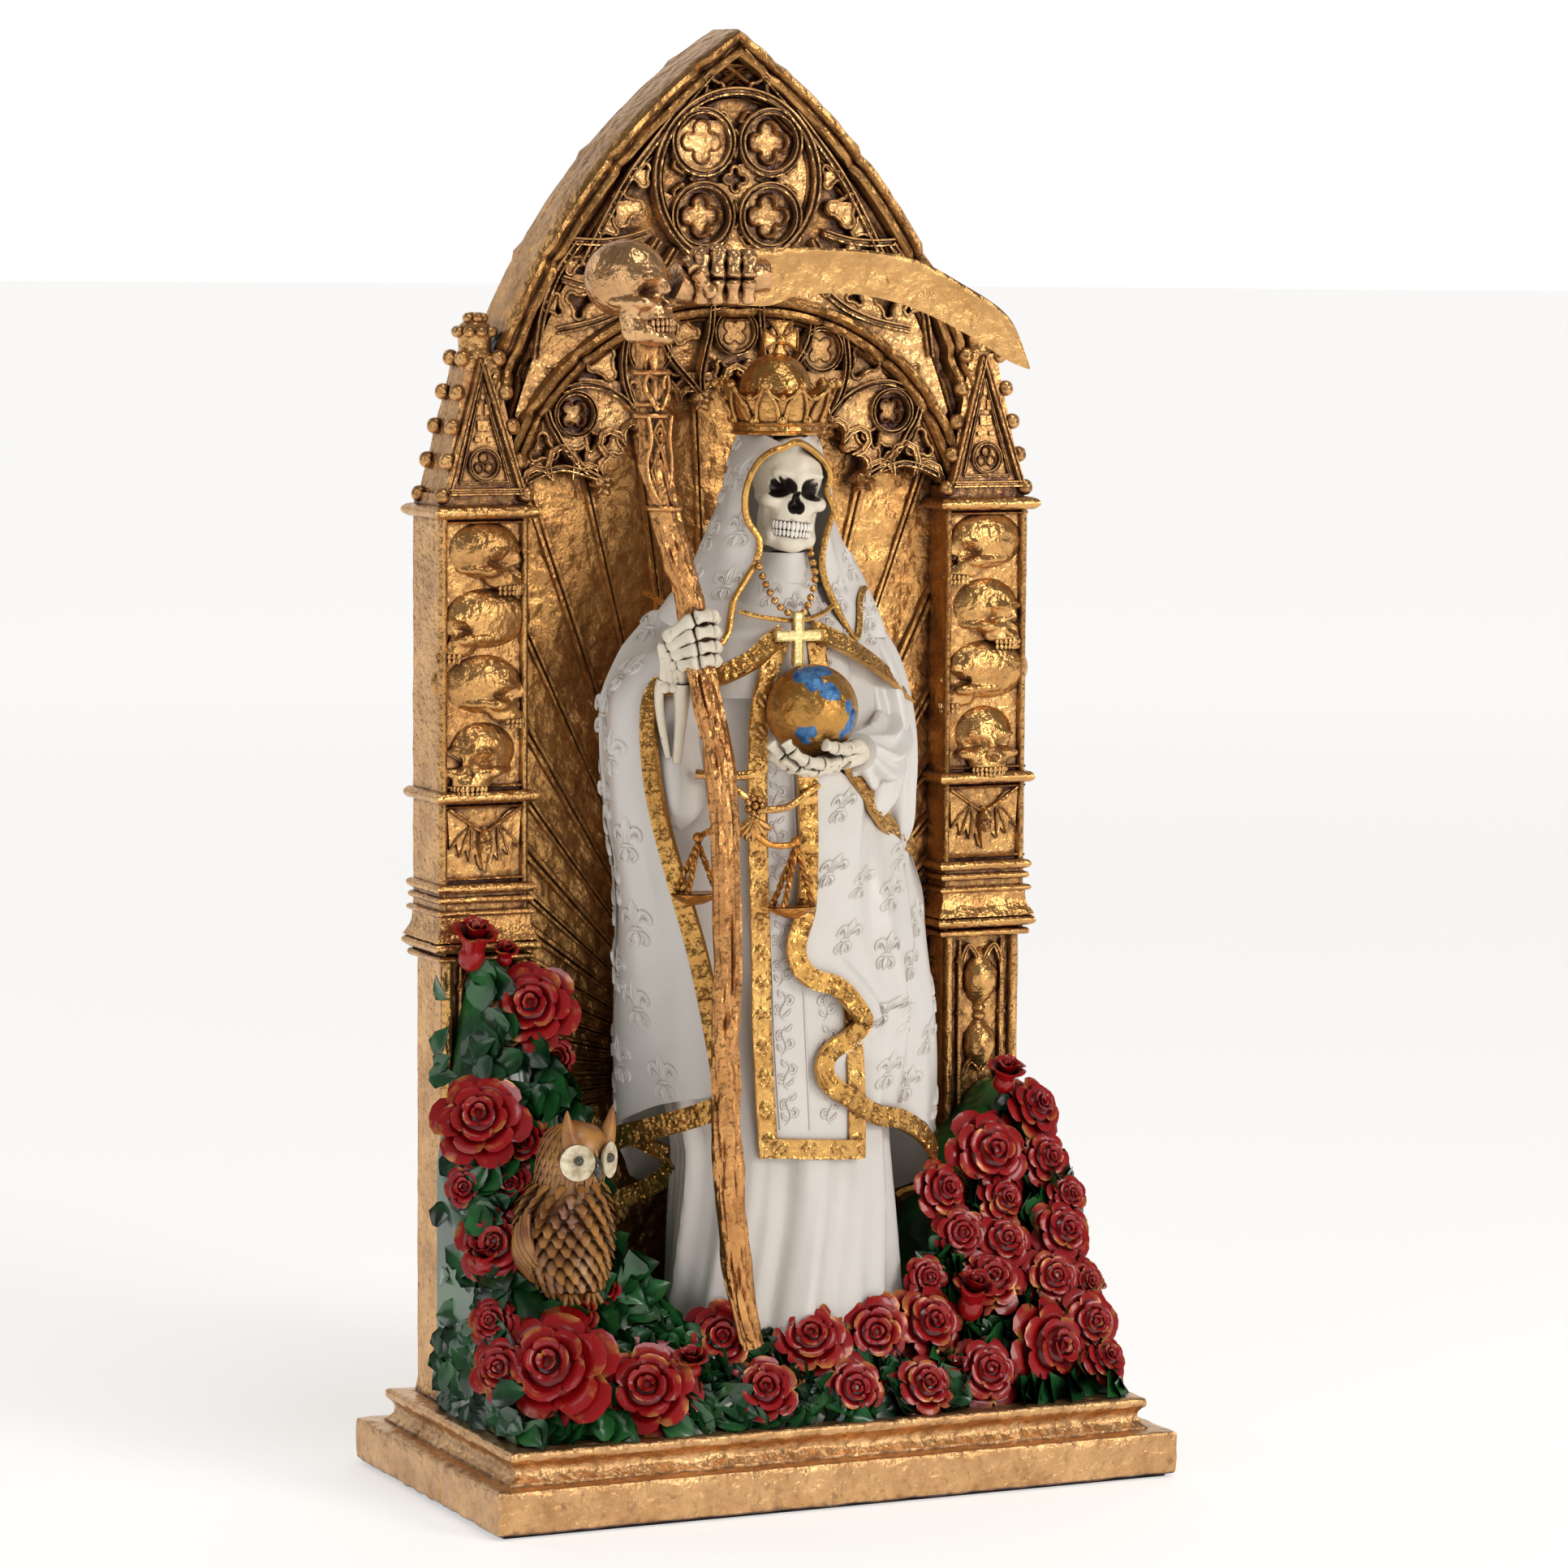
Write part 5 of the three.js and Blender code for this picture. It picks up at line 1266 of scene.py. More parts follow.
trims = [
    braid(left_fall, 7.4, pebbled, side=-1), braid(left_collar, 7, pebbled, side=-1, tilt=0.5),
    braid(right_collar, 7, pebbled, side=-1, tilt=0.4),
    braid(right_front, 7.2, pebbled, side=-0.9, forward=0.6),
    braid(right_arm, 7.2, pebbled, side=1, forward=0.2), braid(left_hem, 8, pebbled, side=1),
    braid([(-58, 2, 127), (-50, 6, 123.5), (-41, 9, 119.5), (-36, 6, 117.5)], 5.5, pebbled, forward=0.8),
    braid([(-36, 2, 114), (-38, 8, 107.5), (-45.3, 16, 101.5), (-52, 20, 99)], 7, pebbled, forward=0.8)]
veil_edge = [
    (-44, -14, 314.3), (-42.5, -22, 311.4), (-36.5, -34, 303.8), (-32, -34, 307), (-30.2, -33.5, 314),
    (-28.7, -33, 319.5), (-23.3, -32.5, 327.6), (-19.9, -32.5, 332.9), (-18.6, -31.5, 340),
    (-22.5, -31, 346), (-24.3, -31.5, 352), (-24, -33, 359.5), (-21.2, -34.5, 366.5), (-17, -36.5, 370.8),
    (-11.4, -37, 372.6), (-7.5, -36.5, 374.2), (-2.9, -34.5, 373.4), (3.5, -31.5, 369.8), (8.5, -28, 366),
    (10.8, -27, 361.7), (9.9, -26.5, 356), (12.3, -26.5, 349.8), (10, -27, 343), (8, -27.5, 336),
    (8.3, -27.5, 326.6), (14.6, -26.5, 313.7), (21.2, -25.5, 304), (25, -22, 307), (27.5, -17, 317),
    (31, -14, 321)]
trims += [
    cord(veil_edge, 1.25, 150), cord([(-44, -14, 314.3), (-45.7, -4, 317.9), (-47, 4, 320)], 1.1),
    cord([(-27.1, -33.5, 315.2), (-20.3, -36.5, 313.2), (-10.5, -38, 311.9), (-4.5, -38, 311.8),
          (4, -35, 313.6), (10, -31.5, 316.2)], 0.9)]
gilt_braid = gilt(
    "gilt_resin_braid", light="#E2AE60", deep="#A87438", wash_and_shade="#3A200C", rough=0.27, dent=1.6,
    reach=0.0016)
casting("figure_trims", trims, gilt_braid, "figure")

# Scapular: a long flat panel over the robe, cast in one with it. Its white middle is raised with
# two columns of scrolls beside a fine seam; a wide gold border frames it.
scapular_ribs = [
    [(121, -17.4, -35), (159, -19.8, -34.5), (188, -19.8, -33.5), (217, -20.6, -33.3), (245, -21.2, -33),
     (273, -20.6, -32.5), (293.4, -18.1, -32.5), (305, -12, -33)],
    [(120.5, -7, -37), (159, -9.5, -36.3), (217, -12, -35.2), (273, -13, -34.5), (305, -9, -34)],
    [(119.3, 8, -37), (159, 7, -36.3), (217, 4, -35.2), (273, -1, -34.5), (305, -2, -34)],
    [(118.4, 21.2, -35), (144, 21, -34.5), (200, 17, -33), (250, 12, -32.5), (290, 6, -32.5),
     (305, 3, -33)]]
panel_cloth = hung(scapular_ribs)
panel = [sheet(panel_cloth, 30, 60, 3.2)]
for row in range(13):
    for column, mirror in ((0.33, 1), (0.67, -1)):
        panel += raised(panel_cloth, column, 0.095 + 0.067 * row,
                        [(section, [(mirror * a * (-1) ** row, b) for a, b in knots], wide)
                         for section, knots, wide in scroll], 0.72)
for column in (0.235, 0.5):
    seam = [panel_cloth(column, 0.055 + 0.094 * k) + Vector((0, -0.15, 0)) for k in range(11)]
    panel.append(cord(seam, 0.45, 40, 6))
casting("figure_scapular", panel, pearl_raised, "figure")


def panel_side(u):
    return [panel_cloth(u, k / 8) + Vector((0, -0.4, 0)) for k in range(9)]


borders = [
    braid(panel_side(0.085), 7, quatrefoils, forward=2.6),
    braid(panel_side(0.915), 7, quatrefoils, forward=2.6),
    braid([panel_cloth(k / 4, 0) + Vector((0, -0.8, 3.4)) for k in range(5)], 7, quatrefoils, forward=2.6),
]
casting(
    "figure_borders", borders,
    gilt("gilt_resin_borders", light="#E6B468", deep="#B07A40", wash_and_shade="#4A260E", rough=0.27, dent=2.2,
         reach=0.0025, wash_and_shade_strength=0.85), "figure")

# Bones: the skull face and both hands are bare bone, painted ivory with a thin brown wash that
# stays in the sockets, between the teeth and round each joint, where painted shade darkens it too.


def bone_paint(name, pale, wash_and_shade):
    """Ivory paint with a brown wash, darkened further by painted shade in its hollows: satin, warm,
    nearly black in the deep sockets, where dark paint and painted shade meet.
    """
    material, shader, space = finish_named(
        name, Roughness=0.42, IOR=1.5, Coat_Weight=0.15, Coat_Roughness=0.3)
    # Painted shade: close ambient occlusion, made patchy by the stain noise, mixes the brown wash colour
    # into the ivory.
    near = node(material, "AmbientOcclusion", {"Distance": 0.0014}, samples=8)
    deep = node(material, "AmbientOcclusion", {"Distance": 0.009}, samples=8)
    stain_and_shade = node(material, "TexNoise", {"Vector": space, "Scale": 220, "Detail": 5, "Roughness": 0.65})
    shade_and_soil = node(material, "Math", {0: near.outputs["AO"], 1: stain_and_shade}, operation="MULTIPLY")
    brown = node(material, "MapRange", {"Value": shade_and_soil, "From Min": 0.14, "From Max": 0.4})
    ivory = node(material, "Mix", {"Factor": brown, "A": paint(wash_and_shade), "B": paint(pale)}, data_type="RGBA")
    # Painted shade in the deep hollows, joined with the dark paint that the attribute hollow marks round
    # the eyes and nose.
    dark = node(material, "MapRange", {"Value": deep.outputs["AO"], "From Min": 0.62, "From Max": 0.3})
    socket = node(material, "Attribute", attribute_name="hollow")
    inside = node(material, "MapRange", {"Value": socket.outputs["Fac"], "From Min": 3.25, "From Max": 3.5})
    depth = node(material, "Math", {0: dark, 1: inside}, operation="MAXIMUM")
    colour = node(material, "Mix", {"Factor": depth, "A": ivory, "B": paint("#1A0D07")}, data_type="RGBA")
    bump = node(material, "Bump", {"Height": stain_and_shade, "Strength": 0.25, "Distance": 0.0006})
    feed(shader, {"Base Color": colour, "Normal": bump})
    return material


face = bare_face(6)


def bone(start, end, size, sides=10):
    """A long bone with a knob at either end."""
    start, end = Vector(start), Vector(end)
    shape = [0.15, 0.85, 1.12, 1.1, 0.97, 0.88, 0.85, 0.88, 0.96, 1.08, 1.1, 0.85, 0.15]
    spots = [0, 0.03, 0.1, 0.2, 0.3, 0.42, 0.5, 0.58, 0.7, 0.8, 0.9, 0.97, 1]
    return limb([start.lerp(end, spot) for spot in spots],
                lambda t, turn: size * shape[round(t * 12)] * (1 + 0.06 * sin(3 * turn)), sides)


def finger(points, size):
    return [bone(a, b, size * (1 - 0.06 * k)) for k, (a, b) in enumerate(zip(points, points[1:]))]


bones = [set_down(face, (-2.2, -20.5, 357), -10, 0, 6)]
bones.append(limb([Vector((-4 + 0.06 * k, -23 + 0.5 * k, 322 + 1.5 * k)) for k in range(9)],
                  lambda t, turn: 6.2 + 0.9 * cos(4 * pi * t), 20))
for points in ([(-56.6, -36, 306.4), (-49.7, -45.5, 313.9), (-43.3, -46.5, 315), (-40.4, -42, 313)],
               [(-55.1, -36, 303.8), (-49.5, -46, 308.6), (-43, -47, 309.6), (-40, -42, 308)],
               [(-53.5, -36, 301), (-48.5, -46.5, 303.5), (-42.7, -47, 304.3), (-39.8, -42.5, 303)],
               [(-50.9, -36.5, 297.5), (-47.9, -46.5, 298.9), (-42.9, -47, 299.8), (-40, -43, 298.5)]):
    bones += finger(points, 2.5)
for start, end, size in (((-57, -35, 305.5), (-54.3, -31.5, 291), 2),
                         ((-55, -35.5, 302.5), (-52.4, -32, 290.5), 1.9),
                         ((-53, -36, 299.5), (-50.2, -32.5, 290), 1.9),
                         ((-50.5, -36.5, 297), (-48.2, -33, 289.5), 2.3)):
    bones.append(bone(start, end, size))
for knuckle in ((-54.6, -31.2, 289.3), (-51.4, -32.2, 289.4), (-48.6, -33, 288.6)):
    bones.append(bead(*knuckle, 2.6))
bones.append(limb(
    smooth_line([(-55.4, -31, 291.5), (-56.1, -30, 287), (-54.8, -28.5, 278), (-51, -26.5, 264)], 12),
    lambda t, turn: 2 - 0.7 * t, 10))
bones.append(limb(
    smooth_line([(-48.5, -33, 290.5), (-48.3, -32, 285), (-47.9, -30, 276), (-48.4, -28, 262)], 14),
    lambda t, turn: 3.7 - 2.2 * t, 12))
for points in ([(15, -39, 263.5), (5, -45, 261.6), (-5, -50, 259.6), (-13, -52.5, 261.3), (-19, -52.5, 265),
                (-22.8, -50.5, 270.3)],
               [(15, -37, 262), (6, -40, 259.8), (-5, -44, 258.8), (-14, -46, 261), (-20.5, -46, 266)],
               [(13, -42, 264.5), (4, -49.5, 263.5), (-4.5, -54.5, 262.5), (-11.5, -56.5, 263.4),
                (-17, -56.5, 267.3), (-19, -55.3, 271)],
               [(17, -40, 266.3), (12, -47, 267.6), (5.5, -54, 267.4), (-0.5, -57.6, 268),
                (-5.5, -58.3, 269.6)]):
    bones += finger(points, 2.5)
bones.append(limb(
    smooth_line([(24, -31, 262.5), (18, -36, 263.5), (10, -41, 262.4)], 8), lambda t, turn: 4.6 - 0.8 * t,
    14))
casting("figure_bones", bones, bone_paint("ivory_paint_washed_and_shaded", "#E9DEC8", "#7A5836"), "figure")
teeth = tooth_row(12, 7.2, 6.5, -12.5, 1.22) + tooth_row(12, 6.8, 6.1, -15, 1.08)
casting("figure_teeth", [set_down(form, (-2.2, -20.5, 357), -10, 0, 6) for form in teeth],
        bone_paint("white_enamel_washed_and_shaded", "#F4EEE2", "#5A3C22"), "figure")

# Globe: a resin ball painted gold, with land in glossy blue, that the right hand holds up.
globe_place, globe_size = Vector((-2.5, -42, 280.3)), 16.2
land = [
    (-0.36, -0.41, 0.83, 0.3), (0.01, -0.43, 0.9, 0.24), (-0.28, -0.69, 0.66, 0.22),
    (-0.02, -0.87, 0.49, 0.22), (0.14, -0.9, 0.41, 0.14), (0.45, -0.88, 0.13, 0.14),
    (0.6, -0.8, -0.08, 0.18), (0.54, -0.78, -0.31, 0.2), (0.36, -0.81, -0.46, 0.14),
    (-0.55, -0.71, -0.44, 0.18), (-0.41, -0.82, -0.4, 0.14), (-0.46, -0.64, -0.6, 0.11),
    (0.3, 0.8, 0.4, 0.4), (-0.6, 0.7, -0.2, 0.35), (0.8, 0.3, -0.5, 0.3)]


def globe_paint():
    """Gold paint outside the land, blue enamel on it; the edge follows the mesh attribute inland."""
    material = gilt(
        "gold_and_blue_paint", light="#CB9850", deep="#9C6C34", wash_and_shade="#6B3E16", rough=0.34, dent=3,
        wash_and_shade_strength=0.35)
    shader = material.node_tree.nodes["Principled BSDF"]
    gold = shader.inputs["Base Color"].links[0].from_socket
    shine = shader.inputs["Metallic"].links[0].from_socket
    inland = node(material, "Attribute", attribute_name="inland").outputs["Fac"]
    edge = node(material, "MapRange", {"Value": inland, "From Min": 0.49, "From Max": 0.52})
    space = node(material, "TexCoord").outputs["Object"]
    swirl = node(material, "TexNoise", {"Vector": space, "Scale": 260, "Detail": 5, "Roughness": 0.6})
    blue = node(material, "ValToRGB", {"Fac": swirl})
    stops(blue, (0.35, "#123A78"), (0.68, "#4C8CC0"))
    colour = node(material, "Mix", {"Factor": edge, "A": gold, "B": blue}, data_type="RGBA")
    metal = node(material, "Mix", {"Factor": edge, "A": shine, "B": 0.1})
    feed(shader, {"Base Color": colour, "Metallic": metal})
    return material


def inland_of(way):
    """How far inside the land a direction lies: 0.5 on the ragged coast, more inland."""
    coast = 0.045 * noise.noise(way * 9) + 0.03 * noise.noise(way * 21)
    return 0.5 + max(reach - (way - Vector(spot).normalized()).length for *spot, reach in land) + coast


ball = bead(0, 0, 0, 1, 6)
for corner in ball.verts:
    way = corner.co.normalized()
    corner.co = globe_place + way * (globe_size + 0.35 * max(0, min(1, (inland_of(way) - 0.48) * 12)))
globe = casting("figure_globe", [ball], globe_paint(), "figure")
inland_values = globe.data.attributes.new("inland", "FLOAT", "POINT").data
for corner, value in zip(globe.data.vertices, inland_values):
    value.value = inland_of((corner.co / millimetre - globe_place).normalized())

# Crown, necklace and scales: small gold parts cast with the figure. The crown is a band with ten
# flared, pointed frames round a ball that bears a cross; a belt holds a flower, a shell and scales.
crown_place = Vector((-2.4, -10, 376.6))


def round_crown(turn, radius, height):
    return crown_place + Vector((radius * sin(turn), -radius * cos(turn), height))


def crown():
    rim = [
        (14.5, -0.6), (16.2, -0.4), (16.6, 0.3), (16, 0.9), (15.6, 1.2), (15.5, 2.6), (16, 3),
        (16.4, 3.6), (16, 4.2), (14.6, 4.4)]
    forms = [limb([crown_place + Vector((0, 0, height)) for _, height in rim],
                  lambda t, turn: rim[round(t * (len(rim) - 1))][0], 60)]
    points = 10

    def flare(u, v):
        outer = v <= 0.5
        share = 2 * v if outer else 2 * (1 - v)
        turn = tau * u
        tip = abs(cos(points * turn / 2)) ** 1.6
        height = 4 + share * (8 + 4.6 * tip)
        return round_crown(turn, 15.3 + (height - 4) * 0.42 - (0 if outer else 0.7), height)
    forms.append(closed(grid(160, 20, flare)))
    for k in range(points):
        middle = tau * k / points
        for side in (-1, 1):
            line = [round_crown(middle + side * a, 15.9 + (h - 4) * 0.42, h)
                    for a, h in ((0.24, 4.2), (0.235, 7), (0.19, 10.2), (0.1, 13.6), (0, 17.2))]
            forms.append(limb(smooth_line(line, 10), 0.75, 7))
            spread = [round_crown(middle + side * a, 16 + (h - 4) * 0.42, h)
                      for a, h in ((0, 15.6), (0.13, 13.8), (0.27, 12.2))]
            forms.append(limb(smooth_line(spread, 6), 0.6, 6))
        forms.append(bead(*round_crown(middle, 22, 17.6), 1.7, 3))
        forms.append(bead(*round_crown(middle + pi / points, 19.6, 13), 1.25, 2))
        forms.append(bead(*round_crown(middle + pi / points, 16.3, 4.9), 1.75, 3))
    ball = bead(crown_place.x - 0.4, crown_place.y, crown_place.z + 15.6, 12.6, 5)
    forms.append(ball)
    middle = crown_place + Vector((0.8, -0.5, 33))
    for k in range(4):
        turn = pi / 2 * k
        arm = [Vector((middle.x + a * cos(turn) - b * sin(turn),
                       middle.z + a * sin(turn) + b * cos(turn)))
               for a, b in ((0.4, -0.8), (3, -1.5), (6.3, -3.8), (6.5, 0), (6.3, 3.8), (3, 1.5),
                            (0.4, 0.8))]
        forms += [
            plate(arm, middle.y - 1, middle.y + 1),
            moulding(arm, roll(0.9, 0.8), middle.y - 1, loop=True)]
    forms.append(bead(middle.x, middle.y - 1, middle.z, 1.9, 3))
    return forms


def scales():
    """The beam between its two pans, each hung from three twisted chains."""
    forms = [cord(
        [(-25.2, -41.5, 238.2), (-19.1, -42, 233.6), (-12, -42.5, 232.8), (-8.5, -42.5, 234)], 1.15, 20)]
    forms.append(cord(
        [(-25.2, -41.5, 238.2), (-32, -40, 239.5), (-38, -37, 239), (-43.4, -35, 236)], 1.15, 20))
    for top, pan in (((-8.6, -42.3, 234.2), Vector((-10.2, -42.5, 210.4))),
                     ((-43.3, -35.5, 236.2), Vector((-44.5, -36, 215.8)))):
        forms.append(bead(*top, 1.9, 3))
        for turn in (-2.2, -0.6, 1.2):
            end = pan + Vector((8.2 * sin(turn), -4.4 * cos(turn), 0.4))
            start = Vector(top) + Vector((0, 0, -2))
            for twist in (0, pi):
                turns = [twist + k * 0.9 for k in range(27)]
                line = [start.lerp(end, k / 26) + Vector((cos(swing), sin(swing), 0)) * 0.55
                        for k, swing in enumerate(turns)]
                forms.append(limb(line, 0.75, 6))
        profile = [
            (0.1, -3.4), (3, -3.1), (6.2, -1.9), (8.6, -0.2), (9.4, 0.7), (9, 1), (7.8, 0.2), (5, -1.2),
            (0.1, -1.9)]
        bowl = turned(profile, 0, 0, 28)
        bmesh.ops.transform(
            bowl, matrix=Matrix.Translation(pan) @ Matrix.Diagonal((1, 0.62, 1, 1)), verts=bowl.verts)
        forms.append(bowl)
    return forms


def belt():
    forms = [
        cord([(-33, -38, 255), (-30, -39.5, 252.5), (-25.5, -40.5, 249)], 1.3, 12),
        cord([(-22.5, -41.5, 245.6), (-12, -41.5, 246.2), (-3.7, -40.5, 250.8), (1.5, -39, 253.4)], 1.35,
             20),
        cord([(-42, -30, 258), (-36, -33, 257.6), (-29, -36.5, 257.5), (-23, -38, 258)], 1.7, 12)]
    flower = Vector((-24.3, -41.5, 247.3))
    forms.append(bead(*flower, 1.5, 3))
    for k in range(7):
        turn = tau * k / 7
        forms.append(bead(*(flower + Vector((2.7 * cos(turn), 0.3, 2.7 * sin(turn)))), 1.45, 2))
    shell = flower + Vector((-0.6, 0.2, -4.5))
    for k in range(7):
        turn = radians(-150 + 20 * k)
        way = Vector((cos(turn), 0, sin(turn)))
        flute = [shell + way * b + Vector((0, -0.5 * sin(pi * b / 8), 0)) for b in (0.5, 2.5, 5, 7, 8)]
        forms.append(limb(flute, lambda t, turn: 0.5 + 0.8 * sin(pi * min(1, 0.15 + 0.75 * t)), 7))
    return forms


def necklace():
    bar = [
        (-9.1, 296), (-5.9, 296), (-5.9, 304.9), (1.4, 304.9), (1.4, 308.3), (-5.9, 308.3), (-5.9, 314.8),
        (-9.1, 314.8), (-9.1, 308.3), (-16.2, 308.3), (-16.2, 304.9), (-9.1, 304.9)]
    return [plate(bar, -41.3, -38.2),
            moulding([Vector(corner) for corner in bar], roll(0.8, 0.6), -41.3, loop=True)]


def beads():
    forms = []
    for line in ([(-20.6, -34, 334), (-19.9, -34.5, 330.8), (-19.1, -35.5, 327.4), (-18.2, -36.5, 324.6),
                  (-17.1, -37.5, 321.8), (-15.7, -38.5, 319), (-13.9, -39.5, 316.7), (-11.5, -40.5, 314.9)],
                 [(2.9, -27.5, 336.5), (2.7, -28.5, 334.6), (3.2, -29.5, 331.4), (2.9, -31.5, 328.4),
                  (2, -33.5, 325.7), (0.5, -35.5, 322.7), (-1.4, -37.5, 319.7), (-2.8, -38.5, 317.2),
                  (-5.3, -40.5, 314.9)]):
        for x, y, z in line:
            forms.append(bead(x, y, z, 1.35, 3))
    return forms


gilt_fine = gilt(
    "gilt_resin_fine", light="#E4AE66", deep="#945E32", wash_and_shade="#3E160A", rough=0.22, dent=2.6,
    reach=0.0022)
casting("figure_crown", crown() + belt() + beads(), gilt_fine, "figure")
casting(
    "figure_scales", scales(),
    gilt("gilt_resin_scales", light="#DE9C4C", deep="#90501F", wash_and_shade="#4A150A", rough=0.3, dent=1.8,
         reach=0.003), "figure")
casting(
    "figure_cross", necklace(),
    gilt("pale_gilt_resin", light="#F3DC9C", deep="#DDBB70", wash_and_shade="#8A6228", rough=0.28, dent=2.4,
         reach=0.002, wash_and_shade_strength=0.6), "figure")

# Scythe: cast resin on its own, glued into the figure's left hand. The snath is a gnarled branch in
# pinkish gold bark, its top a carved socket with a skull over it; a bony hand grips the blade's root.
snath_line = [
    (-26.6, -47, 56), (-31.7, -48, 76.5), (-35.5, -49, 103), (-38.3, -50, 132), (-39, -50, 161),
    (-38.3, -50, 190), (-38.8, -49, 232), (-39.9, -47, 258), (-41.6, -45, 274.6), (-44.5, -43, 289),
    (-46.2, -41, 303), (-48.5, -39, 320), (-52.7, -38, 334), (-56.4, -37, 348), (-59.9, -35, 365),
    (-60.6, -33, 381.8), (-61, -32, 401.4), (-61.5, -31.5, 412)]
blade_upper = [
    (-40, 439), (-18.5, 441.9), (10.7, 442), (39.3, 438.9), (60.9, 429.5), (79.8, 417.6), (88.8, 399.6)]
blade_lower = [
    (-40, 424), (-17, 421.8), (-3, 425.5), (18, 426), (39.4, 421.7), (61, 412.8), (79.9, 402.3),
    (88.6, 399)]


def bark(t, turn):
    """Thickness of the gnarled branch: long grooves that wind a little, and knots."""
    around = Vector((cos(turn), sin(turn), 0)) * 1.6
    groove = noise.noise(around * 1.5 + Vector((0, 0, 13 * t)))
    fine = noise.noise(around * 3.2 + Vector((5, 0, 42 * t)))
    knot = max(0, noise.noise(around * 0.8 + Vector((2, 7, 24 * t))) - 0.15)
    foot = 1 - 0.25 * max(0, 1 - t / 0.06) - 0.1 * max(0, (t - 0.8) / 0.2)
    return 5.1 * foot - 1.5 * max(0, 0.22 - abs(groove)) * 3.2 + 0.55 * fine + 1.7 * knot


def socket():
    """The carved top of the snath: rolls, a lozenge and scrolls, up to the skull's neck."""
    forms = []
    for height, x, y, size in ((352, -57.4, -36.6, 5.6), (384, -60.7, -32.8, 6), (388, -60.7, -32.6, 5.4),
                               (399, -60.6, -32.1, 6.2)):
        ring = [Vector((x + size * cos(tau * k / 24), y + size * sin(tau * k / 24), height))
                for k in range(25)]
        forms.append(limb(ring, 1, 8))
    for low, high, wide in ((356, 374, 2.9), (373, 383, 2.2)):
        middle = Vector((-60.2, -39.6, (low + high) / 2))
        for size in (1, 0.45):
            loop = [middle + Vector((wide * size * a, 0.9 * abs(a), (high - low) / 2 * size * b))
                    for a, b in ((0, 1), (1, 0), (0, -1), (-1, 0), (0, 1))]
            edge = [loop[k].lerp(loop[k + 1], j / 4) for k in range(4) for j in range(4)]
            forms.append(limb([*edge, loop[4]], 0.65, 7))
    for side in (-1, 1):
        curl = [Vector((-60.4 + side * a, -39.2 + 0.12 * a * a, z))
                for a, z in ((0.4, 386), (2.8, 390), (4.4, 394), (3.6, 398), (1.6, 396.5), (2, 393.5))]
        forms.append(limb(smooth_line(curl, 18), lambda t, turn: 0.9 - 0.3 * t, 7))
        stem = [Vector((-59.8 + side * a, -40.2 + 0.1 * a * a, z))
                for a, z in ((0.4, 354), (3.6, 360), (4.6, 368), (3.4, 376), (4.4, 384))]
        forms.append(limb(smooth_line(stem, 18), 0.7, 7))
    return forms


def blade():
    """The curved blade: a thick back, a hollow-ground face and a thin edge below."""
    back, edge = smooth_line(blade_upper, 80), smooth_line(blade_lower, 80)
    section = [
        (0, 1.5), (0.05, 2.1), (0.14, 2), (0.18, 1.5), (0.5, 1.15), (0.8, 0.65), (1, 0.15), (1, -0.15),
        (0.8, -0.65), (0.5, -1.15), (0.18, -1.5), (0.14, -2), (0.05, -2.1), (0, -1.5)]

    def place(u, v):
        k = round(v * 80)
        share, thick = section[round(u * len(section)) % len(section)]
        at = back[k].lerp(edge[k], share)
        return Vector((at.x, -30 + 0.02 * at.x - thick * (1 - 0.7 * v ** 3), at.y))
    return closed(grid(len(section), 80, place))


branch = limb(smooth_line(snath_line, 230), bark, 40)
casting(
    "scythe_snath", [branch, *socket()],
    gilt("pink_gilt_resin", light="#DDA264", deep="#A06434", wash_and_shade="#3E160A", rough=0.27, dent=2.6,
         reach=0.004), "scythe")
grip = [limb(
    smooth_line([(-52, -31, 430), (-46, -30.5, 429), (-34, -30.5, 431.5), (-16, -30.5, 432.5)], 12),
    lambda t, turn: 6.8 - 1.2 * t + 0.3 * sin(4 * turn), 20)]
for k, x in enumerate((-43.5, -37.5, -31.5, -25.5)):
    lift = 1.2 * sin(k * 1.9)
    grip += finger(
        [(x + 2.5, -27, 439.5 + lift), (x + 0.5, -35.5, 439.8 + lift), (x - 0.8, -38.3, 431.5),
         (x + 0.4, -35, 422.8)], 2.75)
    grip.append(bead(x + 0.3, -35.2, 440 + lift, 2.5, 3))
grip += finger([(-47.5, -33, 438), (-46.5, -38, 434), (-40, -39.5, 425.5)], 2.4)
head = [bare_face(6), *tooth_row(10, 7.1, 6.4, -12.6, 1.35), *tooth_row(10, 6.7, 6.1, -15.1, 1.2)]
for form in head:
    bmesh.ops.scale(form, vec=(0.94, 0.94, 0.86), verts=form.verts)
    set_down(form, (-65.5, -31, 426.5), 36, -4, 0)
casting(
    "scythe_head", [*head, *grip],
    gilt("pink_gilt_bones", light="#E6B680", deep="#A57048", wash_and_shade="#3C140A", rough=0.23, dent=3,
         reach=0.006), "scythe")
casting(
    "scythe_blade", [blade()],
    gilt("brushed_gilt_resin", light="#D2A468", deep="#A87A48", wash_and_shade="#6A3A16", rough=0.22, dent=6,
         reach=0.003, wash_and_shade_strength=0.6), "scythe")

